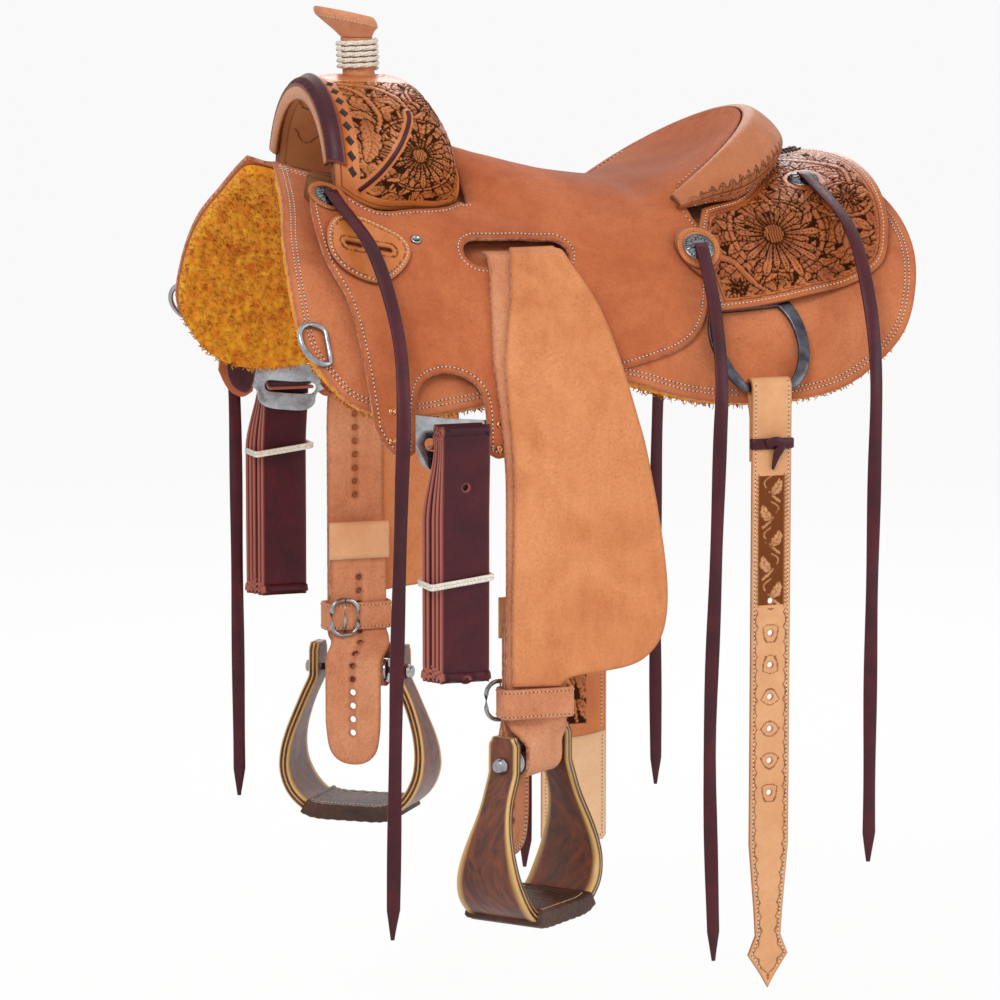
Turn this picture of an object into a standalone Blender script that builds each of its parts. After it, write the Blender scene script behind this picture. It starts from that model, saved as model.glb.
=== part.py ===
"""Ranch roping saddle, held up on a rack: tree, leather, rigging, fenders, stirrups and strings.

Metres, +Z up. The horse would face -X. The near (left) side is -Y, the off (right) side +Y.
The origin is on the centreline, where the ridge of a saddle rack comes up into the channel.
"""
import math

import bmesh
import bpy
from mathutils import Matrix, Vector

# Overall form of the horse's back under the saddle
BACK_LOW_X = 0.120          # lowest point of the back line
BACK_LOW_Z = 0.065
BACK_RISE = 0.45            # how fast the back line climbs away from there, per metre
FRONT_X = -0.280            # where the withers shape is full
FLAT_X = 0.120              # where the loin shape is full
WITHERS_ANGLE = math.radians(20.0)
WITHERS_CURVE = 2.45        # turn of the side per metre of girth, at the front
LOIN_CURVE = 3.66           # and at the back

# Leather and wool
FIT = 0.0006                # clearance between leathers that lie on each other
TOUCH = 0.0004              # clearance at a metal or wooden seat
SKIRT_T = 0.0050
LAP = 0.0014                # where a leather crosses the step at the edge of a bar
FLEECE_T = 0.0180
FLEECE_GAP = 0.0009
FLEECE_INSET = 0.004
SEAT_T = 0.0050
JOCKEY_T = 0.0048
BACKING_T = 0.0040
PLATE_T = 0.0026
PATCH_T = 0.0050
FENDER_T = 0.0042
STRAP_T = 0.0040
LINING_T = 0.0032
COVER_T = 0.0042
LIP_T = 0.0055
ROLL_T = 0.0045
ROSETTE_T = 0.0030

# Tree
BAR_T = 0.0140
BAR_EDGE_T = 0.0060
BAR_IN = 0.055              # girth from the centreline to the bar's inner edge
BAR_OUT = 0.150
BAR_GAP = 0.0014            # under fork and cantle
BAR_FRONT = -0.245
FORK_BACK_X = -0.083
BAR_REAR = 0.325
LIP_END = 0.84              # how far round the fork the gullet lip comes, 1 at the bars

# Horn
HORN_X = -0.1545
HORN_TOP_X = -0.1570
HORN_TOP_Z = 0.2382
NECK_R = 0.0165
NECK_FLARE_R = 0.0182
CAP_R = 0.0333
CAP_TILT = math.radians(12.0)
CAP_RINGS = (               # centre x, centre z, share of the cap radius, share of the tilt
    (-0.1570, 0.2387, 0.49, 0.0),
    (-0.1605, 0.2455, 0.66, 0.4),
    (-0.1655, 0.2525, 0.90, 0.9),
    (-0.1675, 0.2552, 0.98, 1.0),
    (-0.1690, 0.2592, 1.00, 1.0),
    (-0.1702, 0.2630, 0.97, 1.0),
    (-0.1708, 0.2648, 0.90, 1.0),
)
WRAP_R = 0.0026
WRAP_TURNS = 5
WRAP_GAP = 0.0006
WRAP_BOTTOM_Z = 0.2061
WRAP_STEPS = 12

# Cantle and dish
DISH_X = 0.110              # centre of the dish
DISH_LONG = 0.152
DISH_HALF_W = 0.128
RIM_Z_SIDE = 0.052
RIM_Z_BACK = 0.158
RIM_SWEEP = 0.9             # how the rim falls away round the side
ROLL_W = 0.046
CANTLE_IN = 0.62            # where the wooden cantle starts, as a share of the dish
CANTLE_GAP = 0.0021         # between the wooden cantle and the seat leather
WOOD_END = 60.0             # degrees round the rim
ROLL_END = 71.0
ROLL_GAP = 0.0006           # under the roll's lower edge

# Slot in the seat leather for fender and stirrup leather
SLOT_X = -0.044
SLOT_S = 0.172
SLOT_HALF_L = 0.056
SLOT_HALF_W = 0.017
FENDER_SLOT_S = 0.166       # girth at which fender and stirrup leather start
LEAVE_S = 0.365             # girth at which they leave the saddle's side
HANG_BEND = 0.060           # length in which they turn to hang straight down
SLOT_SINK = 0.010

# Rigging and hardware
PLATE_SLOT_S = 0.378
DEE_R = 0.0200
DEE_WIRE = 0.0028
DEE_X = -0.262
DEE_S = 0.297
RING_X = 0.190
RING_T = 0.0050
RING_BAR_S = 0.334          # the bar that carries billet or cinch
CONCHO_R = 0.0165
CONCHO_DOME = 0.0045
ROSETTE_R = 0.0230

# Straps
BILLET_W = 0.043
BILLET_END_Z = -0.727
CINCH_W = 0.078
CINCH_END_Z = -0.686
BILLET_LOOP_R = 0.0058
LATIGO_W = 0.050
LATIGO_T = 0.0035
LATIGO_TOP_Z = -0.146
LATIGO_DROP = 0.222
LATIGO_TURNS = 3
LATIGO_PITCH = 0.0052
LATIGO_FAN = 0.0050
LATIGO_X = -0.146
LATIGO_OUT = 0.0046
LATIGO_MID = 0.018
LEATHER_W = 0.064
LEATHER_X = -0.066
TAIL_TOP_Z = -0.335         # where the stirrup leather is folded back
TAIL_END_Z = -0.573
TAIL_GAP = 0.0015
UP_GAP = 0.0020
TAIL_HOLES = 6
TAIL_HOLE_PITCH = 0.0150
TAIL_HOLE_R = 0.0036
STRING_W = 0.0140
STRING_T = 0.0030

# Stirrups
BOLT_Z = -0.471
BOLT_R = 0.0040
ROLLER_OVER = 0.0020        # how far the bolt's roller reaches past the leather
NUT_R = 0.0080
NUT_L = 0.0070
LOOP_R = 0.0140             # inside radius of the stirrup leather's loop round the bolt
STIRRUP_TURN = math.radians(38.0)
TURN_TOP_Z = -0.428         # where the leather starts to turn
TURN_DROP = 0.029
STIRRUP_TOP = 0.028
STIRRUP_DROP = 0.155
STIRRUP_BOW = (             # half width, height from the bolt
    (0.0490, 0.0280), (0.0495, 0.0000), (0.0502, -0.0100), (0.0597, -0.0306), (0.0682, -0.0518), (0.0751, -0.0729),
    (0.0786, -0.0940), (0.0769, -0.1150), (0.0666, -0.1360), (0.0490, -0.1510), (0.0300, -0.1550),
)
WOOD_T = 0.0105
ARM_DEPTH = 0.033
TREAD_DEPTH = 0.080
TREAD_T = 0.0032
TREAD_HALF_L = 0.055
HOBBLE_Z = -0.412
HOBBLE_W = 0.030
HOBBLE_T = 0.0035
BUCKLE_W = 0.0310
BUCKLE_H = 0.0390
BUCKLE_WIRE = 0.0023

SIDES = (("near", -1.0), ("off", 1.0))
COLLECTION = "ranch_roping_saddle"
GRID_X = 0.060              # where the leathers are scored to bend over the sides
GRID_S = 0.036
SEAT_GRID_X = 0.030


def clear_scene():
    for obj in list(bpy.data.objects):
        bpy.data.objects.remove(obj, do_unlink=True)
    for group in list(bpy.data.collections):
        bpy.data.collections.remove(group)


# Small sums

def smooth(value):
    value = min(max(value, 0.0), 1.0)
    return value * value * (3.0 - 2.0 * value)


def mix(a, b, t):
    return a + (b - a) * t


def spline_points(points, count):
    """Evenly parametrised Catmull-Rom curve through the points, count steps per span."""
    ends = [points[0]] + list(points) + [points[-1]]
    out = []
    for i in range(1, len(ends) - 2):
        for j in range(count):
            t = j / count
            out.append(tuple(catmull(ends[i - 1][c], ends[i][c], ends[i + 1][c], ends[i + 2][c], t)
                             for c in range(len(points[0]))))
    out.append(tuple(points[-1]))
    return out


def catmull(a, b, c, d, t):
    return 0.5 * (2 * b + (c - a) * t + (2 * a - 5 * b + 4 * c - d) * t * t
                  + (3 * b - a - 3 * c + d) * t ** 3)


def table(stations, value):
    """Smooth value between stations, given as (position, value) pairs."""
    if value <= stations[0][0]:
        return stations[0][1]
    for i in range(len(stations) - 1):
        if value <= stations[i + 1][0]:
            low = stations[max(i - 1, 0)][1]
            high = stations[min(i + 2, len(stations) - 1)][1]
            t = (value - stations[i][0]) / (stations[i + 1][0] - stations[i][0])
            return catmull(low, stations[i][1], stations[i + 1][1], high, t)
    return stations[-1][1]


def flow(runs, count=4):
    """Closed outline of smooth runs, each a curve through its points, with corners between them."""
    out = []
    for run in runs:
        out += spline_points(run, count if len(run) > 2 else 1)[:-1]
    return out


def ring_outline(x, y, radius, count):
    return [(x + radius * math.cos(math.tau * i / count), y + radius * math.sin(math.tau * i / count))
            for i in range(count)]


def slot_outline(x, y, half_length, half_width, count=4):
    out = []
    for end, start in ((1.0, -0.5), (-1.0, 0.5)):
        for i in range(count + 1):
            angle = math.pi * (start + i / count)
            out.append((x + end * (half_length - half_width) + half_width * math.cos(angle),
                        y + half_width * math.sin(angle)))
    return out


def inset(outline, distance):
    """The outline moved inwards by a distance."""
    area = sum(a[0] * b[1] - b[0] * a[1] for a, b in zip(outline, outline[1:] + outline[:1]))
    turn = 1.0 if area > 0 else -1.0
    out = []
    for i, point in enumerate(outline):
        before = Vector(outline[i - 1])
        after = Vector(outline[(i + 1) % len(outline)])
        along = (after - before).normalized()
        out.append((point[0] - turn * along.y * distance, point[1] + turn * along.x * distance))
    return out


# The saddle's sides: x along the horse, s the girth from the centreline, d the height of a layer

def back_z(x):
    return BACK_LOW_Z + BACK_RISE * (x - BACK_LOW_X) ** 2


def side_shape(x):
    q = smooth((x - FRONT_X) / (FLAT_X - FRONT_X))
    return WITHERS_ANGLE * (1.0 - q), mix(WITHERS_CURVE, LOIN_CURVE, q)


def side_point(x, s, d, side):
    start, curve = side_shape(x)
    angle = start + curve * s
    y = (math.sin(angle) - math.sin(start)) / curve + d * math.sin(angle)
    z = back_z(x) - (math.cos(start) - math.cos(angle)) / curve + d * math.cos(angle)
    return Vector((x, side * y, z))


def side_normal(x, s, side):
    start, curve = side_shape(x)
    angle = start + curve * s
    return Vector((0.0, side * math.sin(angle), math.cos(angle)))


def side_height(x, y, d):
    """Height of the layer surface d above the point (x, y)."""
    start, curve = side_shape(x)
    sine = (abs(y) + math.sin(start) / curve) / (1.0 / curve + d)
    angle = math.asin(min(sine, 1.0))
    return back_z(x) - (math.cos(start) - math.cos(angle)) / curve + d * math.cos(angle)


def girth_at(x, y, d=0.0):
    """Girth at which the layer surface d stands over the plan point (x, y)."""
    start, curve = side_shape(x)
    sine = (abs(y) + math.sin(start) / curve) / (1.0 / curve + d)
    return (math.asin(min(sine, 1.0)) - start) / curve


# Layer heights

SKIRT_TOP = SKIRT_T
BAR_BASE = SKIRT_TOP + FIT + 0.5 * TOUCH
BACKING_BASE = SKIRT_TOP + FIT
PLATE_BASE = BACKING_BASE + BACKING_T + TOUCH
LEG_BASE = PLATE_BASE + PLATE_T + 2.0 * TOUCH


def bar_cover(s):
    """1 over the bar, falling to 0 past its outer edge."""
    return 1.0 - smooth((s - BAR_OUT + 0.020) / 0.100)


def seat_base(x, s):
    """Underside of the seat leather over skirt, bar and rigging."""
    rigging = 1.0 - smooth((x + 0.045) / 0.070)
    lift = (LEG_BASE - SKIRT_TOP - FIT) * rigging
    bar = (BAR_T + FIT) * bar_cover(s)
    return SKIRT_TOP + FIT + max(bar, lift * smooth((s - 0.020) / 0.060) + bar * 0.6)


def jockey_base(x, s):
    """Underside of the rear jockey: on skirt, bar and rear ring, over the seat leather in front."""
    over_seat = 1.0 - smooth((x - 0.175) / 0.050)
    over_ring = (RING_T + FIT + TOUCH) * smooth((s - 0.180) / 0.030) * (1.0 - smooth((abs(x - RING_X) - 0.060) / 0.050))
    lift = max((SEAT_T + LAP) * over_seat, over_ring)
    return SKIRT_TOP + FIT + (BAR_T + FIT + 2.0 * TOUCH) * bar_cover(s) + lift


def bar_floor(x, y):
    """Height at which a piece clears the top of the bars."""
    return side_height(x, y, BAR_BASE + BAR_T + BAR_GAP)


# Seat leather and dish

SEAT_LINE = ((-0.120, 0.139), (-0.082, 0.131), (-0.040, 0.119), (0.020, 0.104),
             (0.070, 0.094), (0.110, 0.090), (0.160, 0.090))


def rim_height(angle):
    return mix(RIM_Z_SIDE, RIM_Z_BACK, max(math.cos(angle), 0.0) ** RIM_SWEEP)


def dish_height(x, y):
    along = (x - DISH_X) / DISH_LONG
    across = y / DISH_HALF_W
    angle = math.atan2(abs(across), along)
    bottom = table(SEAT_LINE, DISH_X)
    return bottom + (rim_height(angle) - bottom) * min(math.hypot(along, across), 1.0) ** 2.2


def seat_point(x, girth, w):
    """Point of the seat leather; girth is positive on the near side, w runs from 0 below to 1 on top."""
    side = -1.0 if girth > 0 else 1.0
    s = abs(girth)
    base = seat_base(x, s)
    point = side_point(x, s, base + SEAT_T * w, side)
    middle = side_point(x, s, base + SEAT_T / 2, side)
    to_dish = smooth((x - 0.080) / 0.060)
    spread = mix(0.078, 0.120, smooth((x - FORK_BACK_X) / 0.060))
    weight = mix(1.0 - smooth((s - 0.020) / spread), 1.0 - smooth((s - 0.108) / 0.034), to_dish)
    centre = mix(table(SEAT_LINE, x), dish_height(x, middle.y), to_dish) - SEAT_T * (1.0 - w)
    point.y = mix(point.y, middle.y, weight)
    floor = side_height(x, point.y, BAR_BASE + (BAR_T + FIT) * bar_cover(s)) + SEAT_T * w
    point.z = mix(point.z, max(centre, floor), weight)
    return point


def seat_middle(x, s):
    return seat_base(x, s) + SEAT_T / 2


def rim_point(angle, grow=0.0):
    """Plan position of the dish rim, grown outwards."""
    return (DISH_X + (DISH_LONG + grow) * math.cos(angle), -(DISH_HALF_W + grow) * math.sin(angle))


# Solid making

def link(obj, group=COLLECTION):
    bpy.data.collections[group].objects.link(obj)
    return obj


def material(name, colour, roughness, metallic=0.0):
    found = bpy.data.materials.get(name)
    if found:
        return found
    made = bpy.data.materials.new(name)
    made.use_nodes = True
    shader = made.node_tree.nodes["Principled BSDF"]
    shader.inputs["Base Color"].default_value = (*colour, 1.0)
    shader.inputs["Roughness"].default_value = roughness
    shader.inputs["Metallic"].default_value = metallic
    made.diffuse_color = (*colour, 1.0)
    return made


def roughout():
    return material("roughout_leather", (0.60, 0.23, 0.11), 0.85)


def tan():
    return material("tan_leather", (0.64, 0.28, 0.12), 0.5)


def burgundy():
    return material("burgundy_latigo", (0.09, 0.010, 0.018), 0.35)


def steel():
    return material("stainless_steel", (0.60, 0.60, 0.61), 0.25, 1.0)


def dark_steel():
    return material("dark_steel", (0.22, 0.22, 0.25), 0.3, 1.0)


def wood():
    return material("tree_wood", (0.55, 0.38, 0.22), 0.7)


def finish(name, bm, mat, origin=(0.0, 0.0, 0.0), flat_angle=40.0):
    """Make the object of a finished solid, with its origin where the piece is carried."""
    bmesh.ops.recalc_face_normals(bm, faces=bm.faces)
    if bm.calc_volume(signed=True) < 0.0:
        bmesh.ops.reverse_faces(bm, faces=bm.faces)
    bmesh.ops.translate(bm, verts=bm.verts, vec=-Vector(origin))
    mesh = bpy.data.meshes.new(name)
    bm.to_mesh(mesh)
    bm.free()
    mesh.shade_smooth()
    mesh.set_sharp_from_angle(angle=math.radians(flat_angle))
    mesh.materials.append(mat)
    obj = link(bpy.data.objects.new(name, mesh))
    obj.location = origin
    return obj


def blank(name, outline, holes=()):
    """A flat blank cut to its outline and holes, one unit thick, as a bmesh."""
    curve = bpy.data.curves.new(name + "_blank", "CURVE")
    curve.dimensions = "2D"
    curve.fill_mode = "BOTH"
    curve.extrude = 0.5
    for ring in (outline, *holes):
        line = curve.splines.new("POLY")
        line.points.add(len(ring) - 1)
        for point, place in zip(line.points, ring):
            point.co = (place[0], place[1], 0.0, 1.0)
        line.use_cyclic_u = True
    obj = link(bpy.data.objects.new(name + "_blank", curve))
    evaluated = obj.evaluated_get(bpy.context.evaluated_depsgraph_get())
    mesh = bpy.data.meshes.new_from_object(evaluated)
    bpy.data.objects.remove(obj)
    bpy.data.curves.remove(curve)
    bm = bmesh.new()
    bm.from_mesh(mesh)
    bpy.data.meshes.remove(mesh)
    bmesh.ops.remove_doubles(bm, verts=bm.verts, dist=0.00001)
    bmesh.ops.translate(bm, verts=bm.verts, vec=(0.0, 0.0, 0.5))
    return bm


def score(bm, axis, places):
    """Cut the blank along straight lines, so that it can bend there."""
    for place in places:
        at = Vector((0.0, 0.0, 0.0))
        at[axis] = place
        normal = Vector((0.0, 0.0, 0.0))
        normal[axis] = 1.0
        geometry = bm.verts[:] + bm.edges[:] + bm.faces[:]
        cut = bmesh.ops.bisect_plane(bm, geom=geometry, dist=0.000001, plane_co=at, plane_no=normal)
        for item in cut["geom_cut"]:
            if isinstance(item, bmesh.types.BMEdge):
                item.seam = True


def tidy_faces(bm):
    bmesh.ops.dissolve_limit(bm, angle_limit=math.radians(0.5), verts=bm.verts, edges=bm.edges,
                             delimit={"SEAM", "NORMAL"})


def bent(name, outline, mat, shape, across=(), along=(), holes=(), origin=(0.0, 0.0, 0.0)):
    """A flat blank, scored and bent: shape(u, v, w) gives each point, w from 0 inside to 1 outside."""
    bm = blank(name, outline, holes)
    score(bm, 0, across)
    score(bm, 1, along)
    tidy_faces(bm)
    for face in [face for face in bm.faces if len(face.verts) == 4 and abs(face.normal.z) > 0.5]:
        corners = list(face.verts)
        first = min(range(4), key=lambda i: corners[i].co.x + corners[i].co.y) % 2
        bmesh.utils.face_split(face, corners[first], corners[first + 2])
    for vert in bm.verts:
        vert.co = shape(vert.co.x, vert.co.y, vert.co.z)
    return finish(name, bm, mat, origin)


def steps(low, high, size):
    """Places between low and high, on the same grid for every piece."""
    first = math.ceil(low / size)
    last = math.floor(high / size)
    return [i * size for i in range(first, last + 1)]


def side_panel(name, outline, mat, side, base, thickness, holes=(), origin=(0.0, 0.0, 0.0), grid=GRID_X):
    """A leather that lies on the saddle's side, cut to an outline in x and girth."""
    def shape(x, s, w):
        return side_point(x, s, base(x, s) + thickness(x, s) * w, side)
    low_x = min(p[0] for p in outline)
    high_x = max(p[0] for p in outline)
    low_s = min(p[1] for p in outline)
    high_s = max(p[1] for p in outline)
    return bent(name, outline, mat, shape, steps(low_x, high_x, grid),
                steps(low_s, high_s, GRID_S), holes, origin)


def lofted(name, rings, mat, count=20, origin=(0.0, 0.0, 0.0)):
    """A solid through round sections of (centre, radius, tilt about Y), bottom to top."""
    bm = bmesh.new()
    loops = []
    for centre, radius, tilt in rings:
        turn = Matrix.Rotation(tilt, 3, "Y")
        loops.append([bm.verts.new(Vector(centre) + turn @ Vector((x, y, 0.0)))
                      for x, y in ring_outline(0.0, 0.0, radius, count)])
    for low, high in zip(loops, loops[1:]):
        for i in range(count):
            bm.faces.new((low[i], low[(i + 1) % count], high[(i + 1) % count], high[i]))
    bm.faces.new(list(reversed(loops[0])))
    bm.faces.new(loops[-1])
    return finish(name, bm, mat, origin)


def rounded(half_w, half_h, radius, per_corner):
    """Closed outline of a rectangle with round corners."""
    out = []
    for corner, (across, up) in enumerate(((1, 1), (-1, 1), (-1, -1), (1, -1))):
        for i in range(per_corner):
            angle = math.pi / 2 * (corner + i / (per_corner - 1))
            out.append((across * (half_w - radius) + radius * math.cos(angle),
                        up * (half_h - radius) + radius * math.sin(angle)))
    return out


def sleeve(name, sections, mat, origin=(0.0, 0.0, 0.0)):
    """A band round something: the solid between inner and outer rings, section by section."""
    bm = bmesh.new()
    inner = [[bm.verts.new(p) for p in pair[0]] for pair in sections]
    outer = [[bm.verts.new(p) for p in pair[1]] for pair in sections]
    count = len(inner[0])
    for i in range(count):
        j = (i + 1) % count
        for walls in (inner, outer):
            for low, high in zip(walls, walls[1:]):
                bm.faces.new((low[i], low[j], high[j], high[i]))
        for end in (0, -1):
            bm.faces.new((inner[end][i], inner[end][j], outer[end][j], outer[end][i]))
    return finish(name, bm, mat, origin)


def turned(name, profile, mat, steps_round=24):
    """A turned solid about its own Z axis, from a profile of (radius, height), top to bottom."""
    bm = bmesh.new()
    line = [bm.verts.new((r, 0.0, z)) for r, z in profile]
    for a, b in zip(line, line[1:]):
        bm.edges.new((a, b))
    mesh = bpy.data.meshes.new(name)
    bm.to_mesh(mesh)
    bm.free()
    obj = link(bpy.data.objects.new(name, mesh))
    screw = obj.modifiers.new("turn", "SCREW")
    screw.steps = steps_round
    screw.render_steps = steps_round
    screw.use_merge_vertices = True
    screw.merge_threshold = 0.00001
    screw.use_smooth_shade = True
    mesh.materials.append(mat)
    return obj


def tube(name, points, radius, mat, closed=False, resolution=2, origin=(0.0, 0.0, 0.0)):
    """A round bar or wire along points, with capped ends."""
    curve = bpy.data.curves.new(name, "CURVE")
    curve.dimensions = "3D"
    curve.bevel_depth = radius
    curve.bevel_resolution = resolution
    curve.use_fill_caps = True
    line = curve.splines.new("POLY")
    line.points.add(len(points) - 1)
    for point, place in zip(line.points, points):
        point.co = (*(Vector(place) - Vector(origin)), 1.0)
    line.use_cyclic_u = closed
    line.use_smooth = True
    curve.materials.append(mat)
    obj = link(bpy.data.objects.new(name, curve))
    obj.location = origin
    return obj


# Skirts, fleece and the wooden bars

SKIRT = (
    ((-0.262, 0.046), (-0.272, 0.119), (-0.285, 0.181), (-0.290, 0.250), (-0.287, 0.300),
     (-0.266, 0.331), (-0.240, 0.350), (-0.190, 0.352), (-0.120, 0.336), (0.000, 0.312),
     (0.050, 0.318), (0.110, 0.338), (0.190, 0.347), (0.270, 0.345), (0.320, 0.325),
     (0.352, 0.300), (0.372, 0.262), (0.384, 0.215), (0.384, 0.160), (0.372, 0.091),
     (0.350, 0.046)),
    ((0.350, 0.046), (0.120, 0.056)),
    ((0.120, 0.056), (-0.262, 0.046)),
)


def make_skirts():
    outline = flow(SKIRT, 2)
    wool = inset(outline, FLEECE_INSET)
    for label, side in SIDES:
        side_panel(label + "_skirt", outline, roughout(), side, lambda x, s: 0.0, lambda x, s: SKIRT_T)
        side_panel(label + "_fleece", wool, material("fleece", (0.72, 0.30, 0.03), 0.95), side,
                   lambda x, s: -FLEECE_GAP - FLEECE_T, lambda x, s: FLEECE_T)


def bar_thickness(x, s):
    across = math.sin(math.pi * min(max((s - BAR_IN) / (BAR_OUT - BAR_IN), 0.0), 1.0))
    return mix(BAR_EDGE_T, BAR_T, min(across * 1.7, 1.0))


def make_bars():
    middle = (BAR_IN + BAR_OUT) / 2
    outline = flow((
        ((BAR_FRONT, middle), (BAR_FRONT + 0.020, BAR_IN + 0.006), (-0.170, BAR_IN),
         (0.060, BAR_IN + 0.006), (0.270, BAR_IN), (BAR_REAR - 0.015, BAR_IN + 0.012), (BAR_REAR, middle),
         (BAR_REAR - 0.015, BAR_OUT - 0.012), (0.240, BAR_OUT), (0.060, BAR_OUT - 0.018),
         (-0.170, BAR_OUT), (BAR_FRONT + 0.020, BAR_OUT - 0.010), (BAR_FRONT, middle)),
    ), 2)
    for label, side in SIDES:
        side_panel(label + "_tree_bar", outline, wood(), side, lambda x, s: BAR_BASE, bar_thickness)


# Fork, gullet lip and horn

ARCH = (                    # x, half width, crown height
    (-0.214, 0.088, 0.180),
    (-0.150, 0.086, 0.168),
    (FORK_BACK_X, 0.074, 0.118),
)
SWELL = (                   # x, half width, centre height, height above the centre
    (-0.214, 0.102, 0.088, 0.104),
    (-0.198, 0.116, 0.098, 0.101),
    (-0.170, 0.138, 0.113, 0.088),
    (-0.140, 0.148, 0.120, 0.080),
    (-0.115, 0.146, 0.118, 0.078),
    (-0.096, 0.130, 0.108, 0.064),
    (FORK_BACK_X, 0.108, 0.092, 0.042),
)
FORK_FRONT = SWELL[0][0]
FORK_ROWS = tuple(row[0] for row in SWELL[1:-1])
CROWN = 16                  # facets from foot to foot
LIP = (                     # x and offset from the fork's surface, from the top round into the gullet
    (-0.2055, 0.0020), (-0.2140, 0.0012), (-0.2158, -0.0006), (-0.2162, -0.0060), (-0.2158, -0.0115),
    (-0.2146, -0.0135),
)


def column(rows, index):
    return tuple((row[0], row[index]) for row in rows)


def arch_point(x, t, grow):
    half = table(column(ARCH, 1), x)
    foot = bar_floor(x, half)
    angle = math.pi / 2 * t
    rise = table(column(ARCH, 2), x) + grow - foot
    return Vector((x, -(half + grow) * math.sin(angle), foot + rise * math.cos(angle)))


def foot_angle(x):
    """Angle round the fork at which the underside of its cover comes down to the bars."""
    half = table(column(SWELL, 1), x) - COVER_T - 2.0 * FIT
    centre = table(column(SWELL, 2), x)
    height = table(column(SWELL, 3), x) - COVER_T - 2.0 * FIT
    low = math.radians(60.0)
    high = math.radians(150.0)
    for _ in range(20):
        angle = (low + high) / 2
        if centre + height * math.cos(angle) > bar_floor(x, half * math.sin(angle)):
            low = angle
        else:
            high = angle
    return low


def swell_point(x, t, grow):
    half = table(column(SWELL, 1), x) + grow
    height = table(column(SWELL, 3), x) + grow
    angle = foot_angle(x) * t
    return Vector((x, -half * math.sin(angle), table(column(SWELL, 2), x) + height * math.cos(angle)))


def fork_layer(name, mat, inner, outer, holes=()):
    """A layer of the fork between two surfaces, from foot to foot over the crown."""
    def shape(x, t, w):
        return inner(x, t).lerp(outer(x, t), w)
    outline = [(FORK_FRONT, -1.0), (FORK_BACK_X, -1.0), (FORK_BACK_X, 1.0), (FORK_FRONT, 1.0)]
    along = [-1.0 + 2.0 * i / CROWN for i in range(1, CROWN)]
    return bent(name, outline, mat, shape, FORK_ROWS, along, holes)


def make_fork():
    fork_layer("gullet_lining", tan(), lambda x, t: arch_point(x, t, 0.0),
               lambda x, t: arch_point(x, t, LINING_T))
    fork_layer("tree_fork", wood(), lambda x, t: arch_point(x, t, LINING_T + FIT),
               lambda x, t: swell_point(x, t, -COVER_T - 2.0 * FIT))
    hole_r = NECK_FLARE_R + 0.0015
    girth = table(column(SWELL, 1), HORN_X) * foot_angle(HORN_X)
    neck_hole = [(HORN_X + x, y / girth) for x, y in ring_outline(0.0, 0.0, hole_r, 16)]
    fork_layer("fork_cover", tan(), lambda x, t: swell_point(x, t, -COVER_T),
               lambda x, t: swell_point(x, t, 0.0), (neck_hole,))

    at, lengths = strap_shape(spline_points(LIP, 1))

    def lip(v, t, w):
        x, offset, dx, dr = at(v)
        x += dr * LIP_T * w
        offset -= dx * LIP_T * w
        point = swell_point(max(x, FORK_FRONT), t, offset)
        point.x = x
        return point
    edge = [(0.0, -LIP_END), (lengths[-1], -LIP_END), (lengths[-1], LIP_END), (0.0, LIP_END)]
    along = [-1.0 + 2.0 * i / CROWN for i in range(2, CROWN - 1)]
    bent("gullet_lip", edge, burgundy(), lip, lengths[1:-1], along)


def make_horn():
    reach = (-NECK_FLARE_R, 0.0, NECK_FLARE_R)
    foot = max(swell_point(HORN_X + x, 0.0, -COVER_T - 2.0 * FIT).z for x in reach) + TOUCH
    lean = (HORN_TOP_X - HORN_X) / (HORN_TOP_Z - foot)

    def on_axis(z):
        return (HORN_X + lean * (z - foot), 0.0, z)
    lofted("horn_neck", [(on_axis(foot), NECK_FLARE_R * 0.94, 0.0), (on_axis(foot + 0.0010), NECK_FLARE_R, 0.0),
                         (on_axis(foot + 0.0050), NECK_R, 0.0), (on_axis(HORN_TOP_Z), NECK_R, 0.0)], tan())
    lofted("horn_cap", [((x, 0.0, z), CAP_R * share, CAP_TILT * tilt) for x, z, share, tilt in CAP_RINGS],
           tan(), 28)
    radius = (NECK_R + WRAP_R) / math.cos(math.pi / WRAP_STEPS) + TOUCH
    pitch = 2.0 * WRAP_R + WRAP_GAP
    points = []
    for i in range(WRAP_STEPS * WRAP_TURNS + 1):
        angle = math.tau * i / WRAP_STEPS
        points.append(Vector(on_axis(WRAP_BOTTOM_Z + pitch * i / WRAP_STEPS))
                      + Vector((radius * math.cos(angle), radius * math.sin(angle), 0.0)))
    tube("horn_wrap", points, WRAP_R, material("white_cord", (0.85, 0.83, 0.78), 0.8), resolution=1)
    print("horn_wrap least gap to itself", round(pitch - 2.0 * WRAP_R, 5))


# Seat, cantle and rear jockeys

SEAT_SIDE = (
    ((0.163, 0.147), (0.161, 0.180), (0.148, 0.232), (0.131, 0.267), (0.105, 0.287),
     (0.060, 0.300), (0.000, 0.312), (-0.055, 0.330), (-0.087, 0.372)),
    ((-0.087, 0.372), (-0.092, 0.384), (-0.103, 0.388), (-0.114, 0.382)),
    ((-0.114, 0.382), (-0.111, 0.334), (-0.122, 0.313), (-0.146, 0.306), (-0.170, 0.316),
     (-0.182, 0.340), (-0.188, 0.388)),
    ((-0.188, 0.388), (-0.200, 0.396), (-0.216, 0.390), (-0.228, 0.372)),
    ((-0.228, 0.372), (-0.231, 0.290), (-0.236, 0.240), (-0.250, 0.200), (-0.253, 0.154),
     (-0.247, 0.122), (-0.236, 0.112)),
)
SEAT_FRONT_X = (-0.236, -0.214, -0.180, -0.140, -0.105, -0.084)
SEAT_FRONT_GAP = 0.0085     # from the fork cover's foot


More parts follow.
